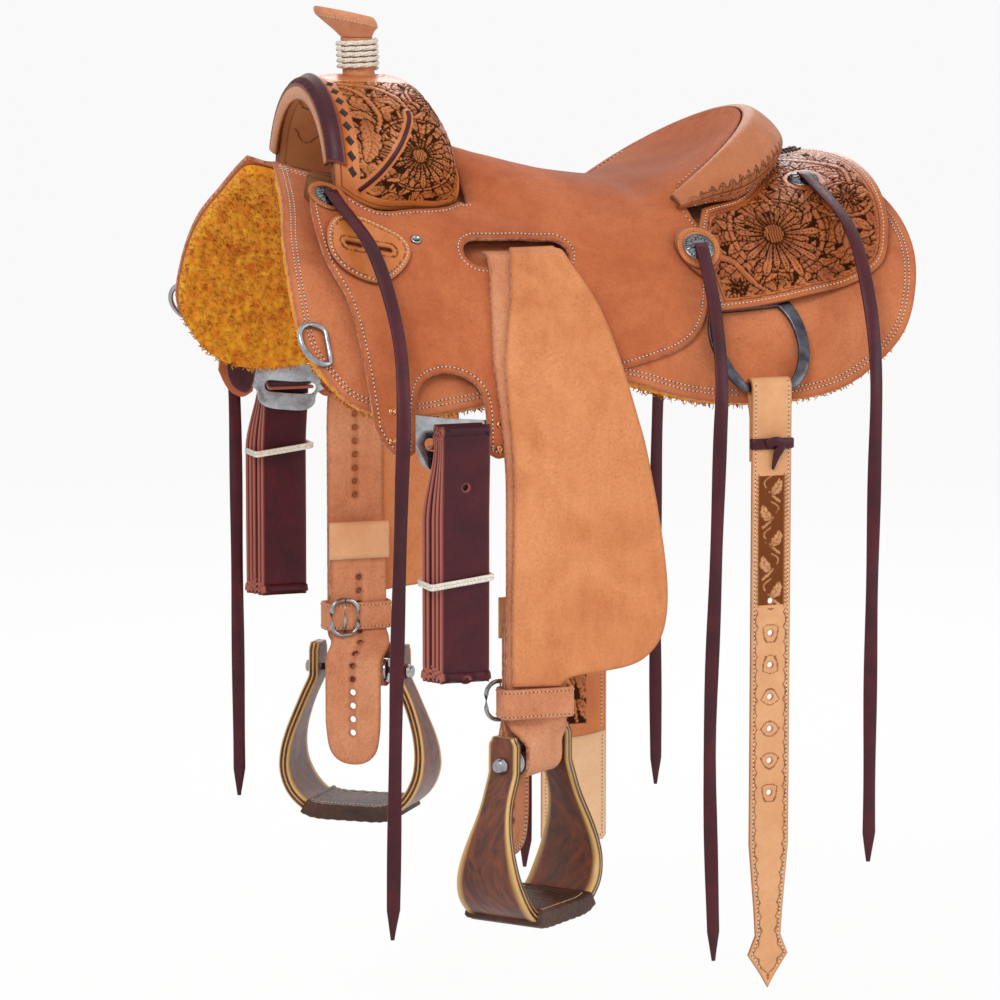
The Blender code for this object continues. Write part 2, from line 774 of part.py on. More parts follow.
def rim_outline(low, high, count, layer, grow=0.0):
    """Points on the rim as pattern points, from angle low to angle high."""
    out = []
    for i in range(count + 1):
        x, y = rim_point(mix(low, high, i / count), grow)
        s = girth_at(x, y, layer(x, girth_at(x, y)))
        out.append((x, math.copysign(s, -y)))
    return out


def fork_edge(x):
    """The seat leather's edge along the foot of the fork cover."""
    y = swell_point(max(x, FORK_FRONT), 1.0, 0.0).y
    return (x, girth_at(x, y, seat_middle(x, girth_at(x, y))) + SEAT_FRONT_GAP)


def make_seat():
    behind = FORK_BACK_X + SEAT_FRONT_GAP
    front = [fork_edge(x) for x in SEAT_FRONT_X] + [(behind, 0.095), (behind + 0.002, 0.0)]
    half = rim_outline(0.0, math.radians(78.0), 10, seat_middle)[:-1] + flow(SEAT_SIDE + (front,), 2)
    outline = half + [front[-1]] + [(x, -s) for x, s in reversed(half[1:])]
    slots = []
    for sign in (1.0, -1.0):
        slots.append([(x, sign * s) for x, s in slot_outline(SLOT_X, SLOT_S, SLOT_HALF_L, SLOT_HALF_W)])
    along = [sign * s for s in steps(GRID_S, 0.40, GRID_S) for sign in (1.0, -1.0)] + [0.0]
    bent("seat_leather", outline, roughout(), seat_point, steps(-0.25, 0.26, SEAT_GRID_X), along, slots)


def roll_path(angle):
    """Profile of the cantle roll at an angle round the rim, as (outward, height) points."""
    wide = ROLL_W * (0.35 + 0.65 * math.cos(angle))
    x, y = rim_point(angle, wide * 0.7)
    girth = girth_at(x, y, jockey_top(x, girth_at(x, y)))
    floor = side_height(x, y, jockey_top(x, girth)) + ROLL_GAP
    top = rim_height(abs(angle))
    drop = top - floor
    return spline_points([(0.0016, top), (wide * 0.30, top + 0.002), (wide * 0.72, top - 0.20 * drop),
                          (wide, top - 0.52 * drop), (wide * 0.92, top - 0.80 * drop),
                          (wide * 0.70, floor)], 2)


def make_cantle():
    """The wooden cantle under the dish, and the rolled leather behind it."""
    def wood_point(angle, reach, w):
        x = DISH_X + DISH_LONG * reach * math.cos(math.radians(angle))
        y = -DISH_HALF_W * reach * math.sin(math.radians(angle))
        girth = girth_at(x, y, seat_middle(x, girth_at(x, y)))
        floor = bar_floor(x, y)
        top = seat_point(x, girth, 0.0).z - CANTLE_GAP
        return Vector((x, y, mix(floor, max(top, floor + 0.001), w)))
    outline = [(-WOOD_END, CANTLE_IN), (WOOD_END, CANTLE_IN), (WOOD_END, 0.975), (-WOOD_END, 0.975)]
    bent("tree_cantle", outline, wood(), wood_point, steps(-WOOD_END + 1.0, WOOD_END - 1.0, 12.0),
         [mix(CANTLE_IN, 0.975, 0.33), mix(CANTLE_IN, 0.975, 0.67)])

    def roll_point(angle, along, w):
        at, lengths = strap_shape(roll_path(math.radians(angle)))
        out, height, dx, dz = at(along * lengths[-1])
        depth = ROLL_T * (1.0 - w)
        x, y = rim_point(math.radians(angle), out + dz * depth)
        return Vector((x, y, height - dx * depth))
    outline = [(-ROLL_END, 0.0), (ROLL_END, 0.0), (ROLL_END, 1.0), (-ROLL_END, 1.0)]
    bent("cantle_back", outline, tan(), roll_point, steps(-ROLL_END + 1.0, ROLL_END - 1.0, 8.0),
         [0.125 * i for i in range(1, 8)])


JOCKEY = (
    ((0.156, 0.158), (0.136, 0.156), (0.125, 0.175), (0.134, 0.198), (0.150, 0.215)),
    ((0.150, 0.215), (0.152, 0.252)),
    ((0.152, 0.252), (0.200, 0.250), (0.270, 0.244), (0.317, 0.236), (0.345, 0.222), (0.359, 0.194),
     (0.366, 0.159), (0.367, 0.112), (0.362, 0.070), (0.350, 0.030), (0.336, 0.003)),
    ((0.336, 0.003), (0.296, 0.003)),
)


def jockey_top(x, s):
    return jockey_base(x, s) + JOCKEY_T


def make_rear_jockeys():
    behind = rim_outline(math.radians(3.0), math.radians(70.0), 8, jockey_base, 0.020)
    outline = flow(JOCKEY, 3) + behind
    for label, side in SIDES:
        side_panel(label + "_rear_jockey", outline, material("dark_tan", (0.40, 0.16, 0.06), 0.45), side,
                   jockey_base, lambda x, s: JOCKEY_T, grid=SEAT_GRID_X)


# Rigging, patches and small hardware on the sides

RIGGING_LEAF = (
    ((-0.222, 0.280), (-0.226, 0.330), (-0.222, 0.368), (-0.212, 0.385), (-0.196, 0.388), (-0.190, 0.374)),
    ((-0.190, 0.374), (-0.186, 0.334), (-0.172, 0.310), (-0.146, 0.301), (-0.120, 0.308),
     (-0.108, 0.330), (-0.111, 0.374)),
    ((-0.111, 0.374), (-0.100, 0.382), (-0.091, 0.372), (-0.080, 0.345), (-0.066, 0.318), (-0.066, 0.260)),
    ((-0.066, 0.260), (-0.222, 0.280)),
)
PLATE_LEAF = (
    ((-0.216, 0.350), (-0.214, 0.372), (-0.204, 0.377)),
    ((-0.204, 0.377), (-0.186, 0.384), (-0.181, 0.397), (-0.170, 0.403), (-0.150, 0.404),
     (-0.128, 0.403), (-0.117, 0.396), (-0.114, 0.383), (-0.098, 0.376)),
    ((-0.098, 0.376), (-0.094, 0.358), (-0.100, 0.350)),
    ((-0.100, 0.350), (-0.216, 0.350)),
)


def make_rigging():
    slot = slot_outline(LATIGO_X, PLATE_SLOT_S, LATIGO_W / 2 + 0.0050, 0.0062, 3)
    for label, side in SIDES:
        backing = burgundy() if label == "off" else roughout()
        side_panel(label + "_rigging_leather", flow(RIGGING_LEAF, 2), backing, side,
                   lambda x, s: BACKING_BASE, lambda x, s: BACKING_T)
        side_panel(label + "_rigging_plate", flow(PLATE_LEAF, 2), steel(), side, lambda x, s: PLATE_BASE,
                   lambda x, s: PLATE_T, (slot,))


def seat_top(x, s):
    return seat_base(x, s) + SEAT_T


def make_patches():
    outline = flow((
        ((-0.200, 0.145), (-0.226, 0.149), (-0.243, 0.170), (-0.245, 0.196), (-0.230, 0.214), (-0.199, 0.220),
         (-0.172, 0.202), (-0.158, 0.180), (-0.163, 0.163), (-0.180, 0.153), (-0.200, 0.145)),
    ), 2)
    holes = [slot_outline(x, 0.181, 0.0085, 0.0025, 2) for x in (-0.2175, -0.1865)]
    for label, side in SIDES:
        side_panel(label + "_keeper_patch", outline, tan(), side, lambda x, s: seat_top(x, s) + FIT,
                   lambda x, s: PATCH_T, holes, grid=SEAT_GRID_X)


def on_seat(x, s, side):
    return seat_point(x, -side * s, 1.0)


def on_jockey(x, s, side):
    return side_point(x, s, jockey_top(x, s), side)


CONCHOS = (                 # label, x, girth, what it lies on
    ("front", -0.229, 0.121, on_seat),
    ("seat", 0.148, 0.182, on_jockey),
    ("back", 0.300, 0.094, on_jockey),
)
CONCHO_REACH = 0.010        # over which the surface below is averaged


def facing(surface, x, s, side):
    """Place and outward direction of a surface laid over the side."""
    def at(dx, ds):
        return surface(x + dx, s + ds, side)
    normal = (at(CONCHO_REACH, 0.0) - at(-CONCHO_REACH, 0.0)).cross(at(0.0, CONCHO_REACH) - at(0.0, -CONCHO_REACH))
    if normal.dot(side_normal(x, s, side)) < 0.0:
        normal = -normal
    return at(0.0, 0.0), normal.normalized()


def make_conchos():
    for place, x, s, surface in CONCHOS:
        for label, side in SIDES:
            spot, normal = facing(surface, x, s, side)
            lift = TOUCH
            if place == "seat":
                side_panel(label + "_seat_rosette", ring_outline(x, s, ROSETTE_R, 18), tan(), side,
                           lambda u, v: jockey_top(u, v) + FIT, lambda u, v: ROSETTE_T, grid=SEAT_GRID_X)
                lift += ROSETTE_T + FIT
            concho = turned(label + "_" + place + "_concho",
                            [(0.0, CONCHO_DOME), (CONCHO_R * 0.5, CONCHO_DOME * 0.85),
                             (CONCHO_R * 0.85, CONCHO_DOME * 0.45), (CONCHO_R, 0.0),
                             (0.0, 0.0)], dark_steel(), 12)
            concho.rotation_euler = normal.to_track_quat("Z", "Y").to_euler()
            concho.location = spot + normal * lift


RING_OUTER = (
    ((-0.040, 0.240), (-0.050, 0.262), (-0.053, 0.290), (-0.046, 0.318), (-0.033, 0.334), (-0.024, 0.338)),
    ((-0.024, 0.338), (0.024, 0.338)),
    ((0.024, 0.338), (0.033, 0.334), (0.046, 0.318), (0.053, 0.290), (0.050, 0.262), (0.040, 0.240)),
    ((0.040, 0.240), (-0.040, 0.240)),
)
RING_INNER = (
    ((-0.030, 0.250), (-0.038, 0.266), (-0.041, 0.290), (-0.036, 0.311), (-0.028, 0.325), (-0.024, 0.330)),
    ((-0.024, 0.330), (0.024, 0.330)),
    ((0.024, 0.330), (0.028, 0.325), (0.036, 0.311), (0.041, 0.290), (0.038, 0.266), (0.030, 0.250)),
    ((0.030, 0.250), (-0.030, 0.250)),
)


def ring_base(s):
    """The rear ring lies on the skirt above, and stands off it below, where the billet goes round."""
    low = SKIRT_TOP + FIT
    return low + (STRAP_T + BILLET_LOOP_R - RING_T / 2 + FIT) * smooth((s - 0.256) / 0.076)


def ring_bar(side):
    """Middle of the rear ring's lower bar."""
    return side_point(RING_X, RING_BAR_S, ring_base(RING_BAR_S) + RING_T / 2, side)


def make_rings():
    def ring_shape(side):
        def shape(u, s, w):
            d = ring_base(s) + RING_T * w
            point = side_point(RING_X + u, s, d, side)
            level = side_point(RING_X, s, d, side)
            level.x = point.x
            return point.lerp(level, smooth((s - 0.262) / 0.050))
        return shape
    for label, side in SIDES:
        bent(label + "_rear_ring", flow(RING_OUTER, 2), dark_steel(), ring_shape(side), (),
             [0.256, 0.275, 0.295, 0.315], (flow(RING_INNER, 2),))
        height = SKIRT_TOP + 2.0 * TOUCH + DEE_WIRE
        loop = []
        for i in range(17):
            angle = math.pi * (-0.5 + i / 16)
            loop.append((-0.010 - DEE_R * math.cos(angle), DEE_R * math.sin(angle)))
        loop += [(-0.001, DEE_R - 0.004), (-0.001, 0.0), (-0.001, 0.004 - DEE_R)]
        points = [side_point(DEE_X + x, DEE_S + s, height, side) for x, s in loop]
        tube(label + "_front_dee", points, DEE_WIRE, steel(), True, 1, side_point(DEE_X, DEE_S, height, side))


# Straps that hang

def strap_shape(path):
    """A strap's path through (out, z) points: place and direction at a length, and the lengths."""
    lengths = [0.0]
    for a, b in zip(path, path[1:]):
        lengths.append(lengths[-1] + math.hypot(b[0] - a[0], b[1] - a[1]))
    directions = []
    for i in range(len(path)):
        a = path[max(i - 1, 0)]
        b = path[min(i + 1, len(path) - 1)]
        size = math.hypot(b[0] - a[0], b[1] - a[1])
        directions.append(((b[0] - a[0]) / size, (b[1] - a[1]) / size))

    def at(v):
        i = 0
        while i < len(path) - 2 and v > lengths[i + 1]:
            i += 1
        t = (v - lengths[i]) / (lengths[i + 1] - lengths[i])
        dx = mix(directions[i][0], directions[i + 1][0], t)
        dz = mix(directions[i][1], directions[i + 1][1], t)
        size = math.hypot(dx, dz)
        return mix(path[i][0], path[i + 1][0], t), mix(path[i][1], path[i + 1][1], t), dx / size, dz / size
    return at, lengths


def leather_base(s):
    """Underside of the stirrup leather, over the seat leather where the rigging lies below it."""
    return seat_top(FORK_FRONT, s) + FIT


def fender_base(s):
    return leather_base(s) + STRAP_T + FIT


def hang_curve(x, length, base, side):
    """A leather that starts in the slot, lies on the side and hangs down: place and outward direction."""
    s = FENDER_SLOT_S + length
    run = s - LEAVE_S
    if run <= 0.0:
        sink = SLOT_SINK * (1.0 - smooth(length / 0.016))
        return side_point(x, s, base(s) - sink, side), side_normal(x, s, side)
    at = mix(x, LEATHER_X, smooth(run / HANG_BEND))
    start, curve = side_shape(at)
    angle = start + curve * LEAVE_S
    point = side_point(at, LEAVE_S, base(LEAVE_S), side)
    bend = min(run, HANG_BEND)
    turned_by = (math.pi / 2 - angle) * bend / HANG_BEND
    middle = angle + turned_by / 2
    point.x = x
    point.y += side * math.cos(middle) * bend
    point.z -= math.sin(middle) * bend + max(run - HANG_BEND, 0.0)
    angle += turned_by
    return point, Vector((0.0, side * math.sin(angle), math.cos(angle)))


LEG_LINES = (0.008, 0.016, 0.034, 0.067, 0.100, 0.133, 0.166, 0.199, 0.214, 0.229, 0.244, 0.259)
STRAIGHT = 0.400            # a length at which the leathers hang straight down
HANG_POINT = hang_curve(LEATHER_X, STRAIGHT, leather_base, 1.0)[0]
HANG_Y = HANG_POINT.y
BOLT_Y = HANG_Y - LOOP_R


def turn_at(z):
    """How far the stirrup leather has turned at a height, towards the stirrup."""
    return STIRRUP_TURN * smooth((TURN_TOP_Z - z) / TURN_DROP)


def twisted(point, side):
    angle = side * -turn_at(point.z)
    centre = Vector((LEATHER_X, side * BOLT_Y, point.z))
    return centre + Matrix.Rotation(angle, 3, "Z") @ (point - centre)


def pivot_of(side):
    """Where fender and stirrup leather come out of the slot."""
    s = FENDER_SLOT_S
    return side_point(SLOT_X, s, leather_base(s) - SLOT_SINK, side)


FENDER = (                  # x and length below the slot, front edge then rear edge
    ((-0.050, 0.000), (-0.058, 0.025), (-0.066, 0.060), (-0.082, 0.110), (-0.090, 0.160), (-0.092, 0.300),
     (-0.094, 0.400), (-0.093, 0.452)),
    ((-0.093, 0.452), (-0.042, 0.454)),
    ((-0.042, 0.454), (-0.028, 0.445), (0.030, 0.438), (0.056, 0.424), (0.070, 0.398), (0.072, 0.350),
     (0.060, 0.270), (0.040, 0.180), (0.022, 0.080), (0.004, 0.026), (-0.004, 0.000)),
    ((-0.004, 0.000), (-0.050, 0.000)),
)


def make_fenders():
    for label, side in SIDES:
        def shape(x, length, w):
            point, outward = hang_curve(x, length, fender_base, side)
            return twisted(point + outward * FENDER_T * w, side)
        bent(label + "_fender", flow(FENDER, 3), roughout(), shape, steps(-0.1, 0.1, SEAT_GRID_X),
             LEG_LINES, (), pivot_of(side))


UP_BEND = ((0.0, -0.4630), (0.0040, -0.4550), (0.0200, -0.4370))    # from the loop's inner side
TAIL_BEND = ((0.0075, -0.4370), (-0.0085, -0.4550), (-0.0110, -0.4630), (-0.0110, -0.4780))


def leather_path():
    """The stirrup leather from where it hangs: down, round the bolt, up inside, folded and down to its tail."""
    path = [(HANG_Y, BOLT_Z + 0.012)]
    for i in range(9):
        angle = math.pi * i / 8
        path.append((BOLT_Y + LOOP_R * math.cos(angle), BOLT_Z - LOOP_R * math.sin(angle)))
    inner = HANG_Y - UP_GAP
    side_of_loop = BOLT_Y - LOOP_R
    path += [(side_of_loop + out, z) for out, z in UP_BEND] + [(inner, TURN_TOP_Z), (inner, TAIL_TOP_Z)]
    fold = STRAP_T + TAIL_GAP / 2
    for i in range(1, 7):
        angle = math.pi * i / 6
        path.append((inner - fold + fold * math.cos(angle), TAIL_TOP_Z + fold * math.sin(angle)))
    tail = inner - 2.0 * fold
    path += [(tail, TURN_TOP_Z)] + [(side_of_loop + out, z) for out, z in TAIL_BEND]
    return path + [(path[-1][0], TAIL_END_Z)]


def make_leathers():
    path = leather_path()
    at, lengths = strap_shape(path)
    free = STRAIGHT + HANG_POINT.z - path[0][1]
    total = free + lengths[-1]
    half = LEATHER_W / 2
    front = flow((((-0.012, 0.0), (-0.014, 0.030), (-0.022, 0.070), (-half, 0.130)), ((-half, 0.130), (-half, free))))
    end = flow((((-half, total - 0.045), (-0.027, total - 0.014), (-0.012, total), (0.012, total),
                 (0.027, total - 0.014), (half, total - 0.045)),), 2)
    outline = front + [(-half, total - 0.060)] + end + [(half, total - 0.060), (half, 0.0)]
    holes = [ring_outline(0.0, total - 0.034 - TAIL_HOLE_PITCH * i, TAIL_HOLE_R, 6) for i in range(TAIL_HOLES)]
    turning = [STRAIGHT + HANG_POINT.z - z for z in (TURN_TOP_Z, -0.438, -0.448)]
    lines = list(LEG_LINES) + turning + [free + v for v in lengths[:-1]]
    for label, side in SIDES:
        def shape(u, v, w):
            if v < free:
                point, outward = hang_curve(LEATHER_X + u, v, leather_base, side)
                return twisted(point + outward * STRAP_T * w, side)
            out, z, dx, dz = at(v - free)
            out -= dz * STRAP_T * w
            z += dx * STRAP_T * w
            return twisted(Vector((LEATHER_X + u, side * out, z)), side)
        bent(label + "_stirrup_leather", outline, tan(), shape, (0.0,), lines, holes, pivot_of(side))


def make_hobbles():
    outer = HANG_Y + STRAP_T + FIT + FENDER_T + 0.0014
    inner = HANG_Y - UP_GAP - 2.0 * STRAP_T - TAIL_GAP - 0.0014
    middle = (outer + inner) / 2
    depth = (outer - inner) / 2
    half = LEATHER_W / 2 + 0.0030
    for label, side in SIDES:
        def place(x, y, z):
            point = Vector((LEATHER_X + x, side * (middle + y), HOBBLE_Z))
            return twisted(point, side) + Vector((0.0, 0.0, z))
        sections = []
        for z in (-HOBBLE_W / 2, HOBBLE_W / 2):
            sections.append(([place(x, y, z) for x, y in rounded(half, depth, 0.0050, 4)],
                             [place(x, y, z) for x, y in rounded(half + HOBBLE_T, depth + HOBBLE_T,
                                                                 0.0050 + HOBBLE_T, 4)]))
        origin = place(0.0, 0.0, 0.0)
        sleeve(label + "_hobble_strap", sections, tan(), origin)
        across = -0.030 if label == "near" else -0.019
        away = -depth - HOBBLE_T - TOUCH - BUCKLE_WIRE
        loop = [place(across + x, away, z) for x, z in rounded(BUCKLE_W / 2, BUCKLE_H / 2, 0.0130, 4)]
        tube(label + "_hobble_buckle", loop, BUCKLE_WIRE, steel(), True, 1, place(across, away, 0.0))


# Stirrups

def stirrup_path():
    half = list(STIRRUP_BOW)
    path = spline_points([(-x, z) for x, z in half] + [(0.0, -STIRRUP_DROP)]
                         + [(x, z) for x, z in reversed(half)], 2)
    return [(x, max(z, -STIRRUP_DROP)) for x, z in path]


def make_stirrups():
    path = stirrup_path()
    at, lengths = strap_shape(path)
    total = lengths[-1]

    def depth_at(v):
        from_top = min(v, total - v)
        return mix(ARM_DEPTH, TREAD_DEPTH, smooth((from_top - 0.060) / 0.115)) / 2

    edge = [(depth_at(v) - (0.004 if v in (0.0, total) else 0.0), v) for v in lengths]
    outline = edge + [(-x, v) for x, v in reversed(edge)]
    holes = [ring_outline(0.0, v, BOLT_R + 0.0008, 12) for v in (STIRRUP_TOP, total - STIRRUP_TOP)]

    def bow(u, v, w):
        out, z, dx, dz = at(v)
        return Vector((out + dz * WOOD_T * (w - 0.5), u, z - dx * WOOD_T * (w - 0.5)))

    def tread_section(v):
        out, z, dx, dz = at(v)
        pair = []
        for grow in (TOUCH, TOUCH + TREAD_T):
            ring = rounded(TREAD_DEPTH / 2 + TOUCH + grow, WOOD_T / 2 + grow, grow, 2)
            pair.append([Vector((out - dz * y, x, z + dx * y)) for x, y in ring])
        return pair
    for label, side in SIDES:
        hub = bpy.data.objects.new(label + "_stirrup_hub", None)
        link(hub, "guides")
        hub.location = (LEATHER_X, side * BOLT_Y, BOLT_Z)
        hub.rotation_euler = (0.0, 0.0, -side * STIRRUP_TURN)
        wood_bow = bent(label + "_stirrup", outline, material("walnut_laminate", (0.15, 0.045, 0.02), 0.2), bow,
                        (), lengths[1:-1], holes)
        arm = STIRRUP_BOW[2][0] + WOOD_T / 2 + TOUCH
        roller_r = LOOP_R * math.cos(math.pi / 16) - TOUCH
        roller = LEATHER_W / 2 + ROLLER_OVER
        bolt = turned(label + "_stirrup_bolt",
                      [(0.0, arm + NUT_L), (NUT_R * 0.8, arm + NUT_L), (NUT_R, arm + NUT_L - 0.0015),
                       (NUT_R, arm), (BOLT_R, arm), (BOLT_R, roller), (roller_r, roller),
                       (roller_r, -roller), (BOLT_R, -roller), (BOLT_R, -arm), (NUT_R, -arm),
                       (NUT_R, -arm - NUT_L + 0.0015), (NUT_R * 0.8, -arm - NUT_L), (0.0, -arm - NUT_L)],
                      steel(), 12)
        bolt.rotation_euler = (0.0, math.pi / 2, 0.0)
        sections = [tread_section(v) for v in lengths if abs(v - total / 2) < TREAD_HALF_L]
        tread = sleeve(label + "_tread_cover", sections, material("tread_leather", (0.10, 0.04, 0.03), 0.6))
        for piece in (wood_bow, bolt, tread):
            piece.parent = hub


# Flank billet, flank cinch and latigos

def make_flank():
    for label, side in SIDES:
        bar = ring_bar(side)
        centre = (abs(bar.y), bar.z)
        near = label == "near"
        end = BILLET_END_Z if near else CINCH_END_Z
        path = [(centre[0] + BILLET_LOOP_R, z) for z in (end, mix(end, centre[1], 0.5), centre[1] - 0.010)]
        for i in range(9):
            angle = math.pi * i / 8
            path.append((centre[0] + BILLET_LOOP_R * math.cos(angle), centre[1] + BILLET_LOOP_R * math.sin(angle)))
        path += [(centre[0] - BILLET_LOOP_R + 0.0045, centre[1] - 0.010),
                 (centre[0] + BILLET_LOOP_R - 0.0012, centre[1] - 0.030),
                 (centre[0] + BILLET_LOOP_R - 0.0008, centre[1] - 0.075)]
        at, lengths = strap_shape(path)
        total = lengths[-1]
        half = BILLET_W / 2
        if near:
            edge = [(0.008, 0.014), (0.022, 0.035), (0.014, 0.055), (half - 0.006, 0.080), (half, 0.150),
                    (half, total)]
            outline = [(0.0, 0.0)] + edge + [(-x, v) for x, v in reversed(edge)]
            holes = [ring_outline(0.0, 0.085 + 0.033 * i, 0.0030, 6) for i in range(7)]
        else:
            wide = CINCH_W / 2
            edge = [(wide - 0.004, 0.0), (wide, 0.006), (wide, 0.350), (half + 0.004, 0.372), (half, 0.382),
                    (half, total)]
            outline = edge + [(-x, v) for x, v in reversed(edge)]
            holes = []

        def shape(u, v, w):
            out, z, dx, dz = at(v)
            return Vector((RING_X + u, side * (out + dz * STRAP_T * w), z - dx * STRAP_T * w))
        bent("near_flank_billet" if near else "off_flank_cinch", outline,
             material("billet_leather", (0.72, 0.40, 0.20), 0.5), shape, (), lengths[1:-1], holes, bar)


def latigo_path(start):
    """A long strap out of the plate's slot, wound into a flat bundle."""
    inner = start[0] + LATIGO_OUT
    first = inner + LATIGO_MID - LATIGO_PITCH * LATIGO_TURNS
    path = [(start[0] - 0.005, start[1]), (start[0] + 0.0015, start[1]), (first, start[1] + 0.004)]
    for i in range(LATIGO_TURNS):
        gap = LATIGO_PITCH * (LATIGO_TURNS - i)
        for k in range(7):
            angle = math.pi * (1.0 - k / 6.0)
            path.append((inner + LATIGO_MID + gap * math.cos(angle), LATIGO_TOP_Z + gap * math.sin(angle)))
        lower = gap - LATIGO_PITCH / 2
        for k in range(7):
            angle = -math.pi * k / 6.0
            path.append((inner + LATIGO_MID + LATIGO_PITCH / 2 + lower * math.cos(angle),
                         LATIGO_TOP_Z - LATIGO_DROP + lower * math.sin(angle)))
    return path


def make_latigos():
    for label, side in SIDES:
        seat = side_point(LATIGO_X, PLATE_SLOT_S, PLATE_BASE + PLATE_T / 2, side)
        start = (abs(seat.y), seat.z + LATIGO_T / 2)
        at, lengths = strap_shape(latigo_path(start))
        half = LATIGO_W / 2
        outline = [(-half, 0.0), (half, 0.0), (half, lengths[-1]), (-half, lengths[-1])]

        def shape(u, v, w):
            out, z, dx, dz = at(v)
            out += dz * LATIGO_T * w
            z -= dx * LATIGO_T * w
            fan = max(out - start[0] - LATIGO_OUT, 0.0) * LATIGO_FAN / LATIGO_PITCH
            return Vector((LATIGO_X + u - 0.4 * fan * smooth((LATIGO_TOP_Z - z) / 0.080), side * out, z))
        bent(label + "_latigo", outline, burgundy(), shape, (), lengths[1:-1], (), seat)


# Saddle strings: routes chosen by hand, (x, outward, z), top to bottom

STRINGS = (
    ("near_front_string", -1.0, ((-0.2274, 0.1273, 0.0918), (-0.2236, 0.1395, 0.0814), (-0.206, 0.200, 0.035), (-0.200, 0.255, -0.040),
                                 (-0.206, 0.290, -0.110), (-0.212, 0.300, -0.200), (-0.218, 0.300, -0.400),
                                 (-0.222, 0.300, -0.640))),
    ("near_seat_string", -1.0, ((0.1478, 0.1917, 0.0325), (0.1476, 0.2023, 0.0199), (0.142, 0.245, -0.030), (0.134, 0.283, -0.095),
                                (0.128, 0.294, -0.160), (0.123, 0.296, -0.300), (0.118, 0.296, -0.480),
                                (0.124, 0.296, -0.690))),
    ("near_back_string", -1.0, ((0.2990, 0.1031, 0.0942), (0.3010, 0.1180, 0.0885), (0.308, 0.200, 0.048), (0.306, 0.252, -0.010),
                                (0.302, 0.286, -0.090), (0.298, 0.294, -0.200), (0.296, 0.294, -0.380),
                                (0.296, 0.294, -0.600))),
    ("off_front_string", 1.0, ((-0.2274, 0.1273, 0.0918), (-0.2236, 0.1395, 0.0814), (-0.216, 0.200, 0.035), (-0.210, 0.255, -0.040),
                               (-0.204, 0.290, -0.110), (-0.199, 0.300, -0.200), (-0.198, 0.300, -0.400),
                               (-0.197, 0.300, -0.610))),
    ("off_seat_string", 1.0, ((0.1478, 0.1917, 0.0325), (0.1476, 0.2023, 0.0199), (0.144, 0.245, -0.030), (0.142, 0.283, -0.095),
                              (0.141, 0.294, -0.160), (0.140, 0.296, -0.300), (0.140, 0.296, -0.480),
                              (0.138, 0.296, -0.715))),
    ("off_back_string", 1.0, ((0.2990, 0.1031, 0.0942), (0.3010, 0.1180, 0.0885), (0.310, 0.200, 0.048), (0.306, 0.252, -0.010),
                              (0.300, 0.286, -0.090), (0.296, 0.294, -0.200), (0.294, 0.294, -0.380),
                              (0.296, 0.294, -0.630))),
)


def make_strings():
    for name, side, route in STRINGS:
        points = spline_points(route, 2)
        lengths = [0.0]
        for a, b in zip(points, points[1:]):
            lengths.append(lengths[-1] + (Vector(b) - Vector(a)).length)

        def shape(u, v, w):
            i = 0
            while i < len(points) - 2 and v > lengths[i + 1]:
                i += 1
            t = (v - lengths[i]) / (lengths[i + 1] - lengths[i])
            place = Vector(points[i]).lerp(Vector(points[i + 1]), t)
            before = Vector(points[max(i - 1, 0)] if t < 0.001 else points[i])
            outward = Vector((1.0, 0.0, 0.0)).cross((Vector(points[i + 1]) - before).normalized())
            if outward.y < 0:
                outward = -outward
            place += Vector((u, 0.0, 0.0)) + outward * STRING_T * (w - 0.5)
            return Vector((place.x, side * place.y, place.z))
        half = STRING_W / 2
        total = lengths[-1]
        outline = [(-half, 0.0), (half, 0.0), (half, total - 0.030), (0.0, total), (-half, total - 0.024)]
        bent(name, outline, burgundy(), shape, (), lengths[1:-1], (),
             (route[0][0], side * route[0][1], route[0][2]))


def main():
    clear_scene()
    for name in (COLLECTION, "guides"):
        bpy.context.scene.collection.children.link(bpy.data.collections.new(name))
    make_skirts()
    make_bars()
    make_fork()
    make_horn()
    make_seat()
    make_cantle()
    make_rear_jockeys()
    make_rigging()
    make_patches()
    make_conchos()
    make_rings()
    make_fenders()
    make_leathers()
    make_hobbles()
    make_stirrups()
    make_flank()
    make_latigos()
    make_strings()


main()
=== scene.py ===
"""Looks of the ranch roping saddle: leather, wool, wood, steel, thread, light and camera.

Metres, +Z up; the horse would face -X and the near side is -Y. The sizes and surfaces below
are those of the solids, so every piece lies where its solid does.
"""
import math

import bpy
import numpy as np
from mathutils import Matrix, Vector
from mathutils.geometry import delaunay_2d_cdt


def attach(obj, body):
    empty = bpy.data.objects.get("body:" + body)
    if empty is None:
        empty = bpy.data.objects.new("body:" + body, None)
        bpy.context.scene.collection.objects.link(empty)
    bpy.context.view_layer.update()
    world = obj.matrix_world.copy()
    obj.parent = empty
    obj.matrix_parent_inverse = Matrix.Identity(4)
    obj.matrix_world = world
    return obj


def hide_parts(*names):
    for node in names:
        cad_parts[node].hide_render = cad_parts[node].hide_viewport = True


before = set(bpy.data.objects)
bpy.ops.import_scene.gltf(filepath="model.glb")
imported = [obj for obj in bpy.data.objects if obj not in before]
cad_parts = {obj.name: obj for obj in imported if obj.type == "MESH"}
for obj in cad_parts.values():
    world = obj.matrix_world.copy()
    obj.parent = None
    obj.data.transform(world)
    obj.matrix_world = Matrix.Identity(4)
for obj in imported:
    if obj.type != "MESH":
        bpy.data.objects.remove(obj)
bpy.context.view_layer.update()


# Shared sizes and surfaces

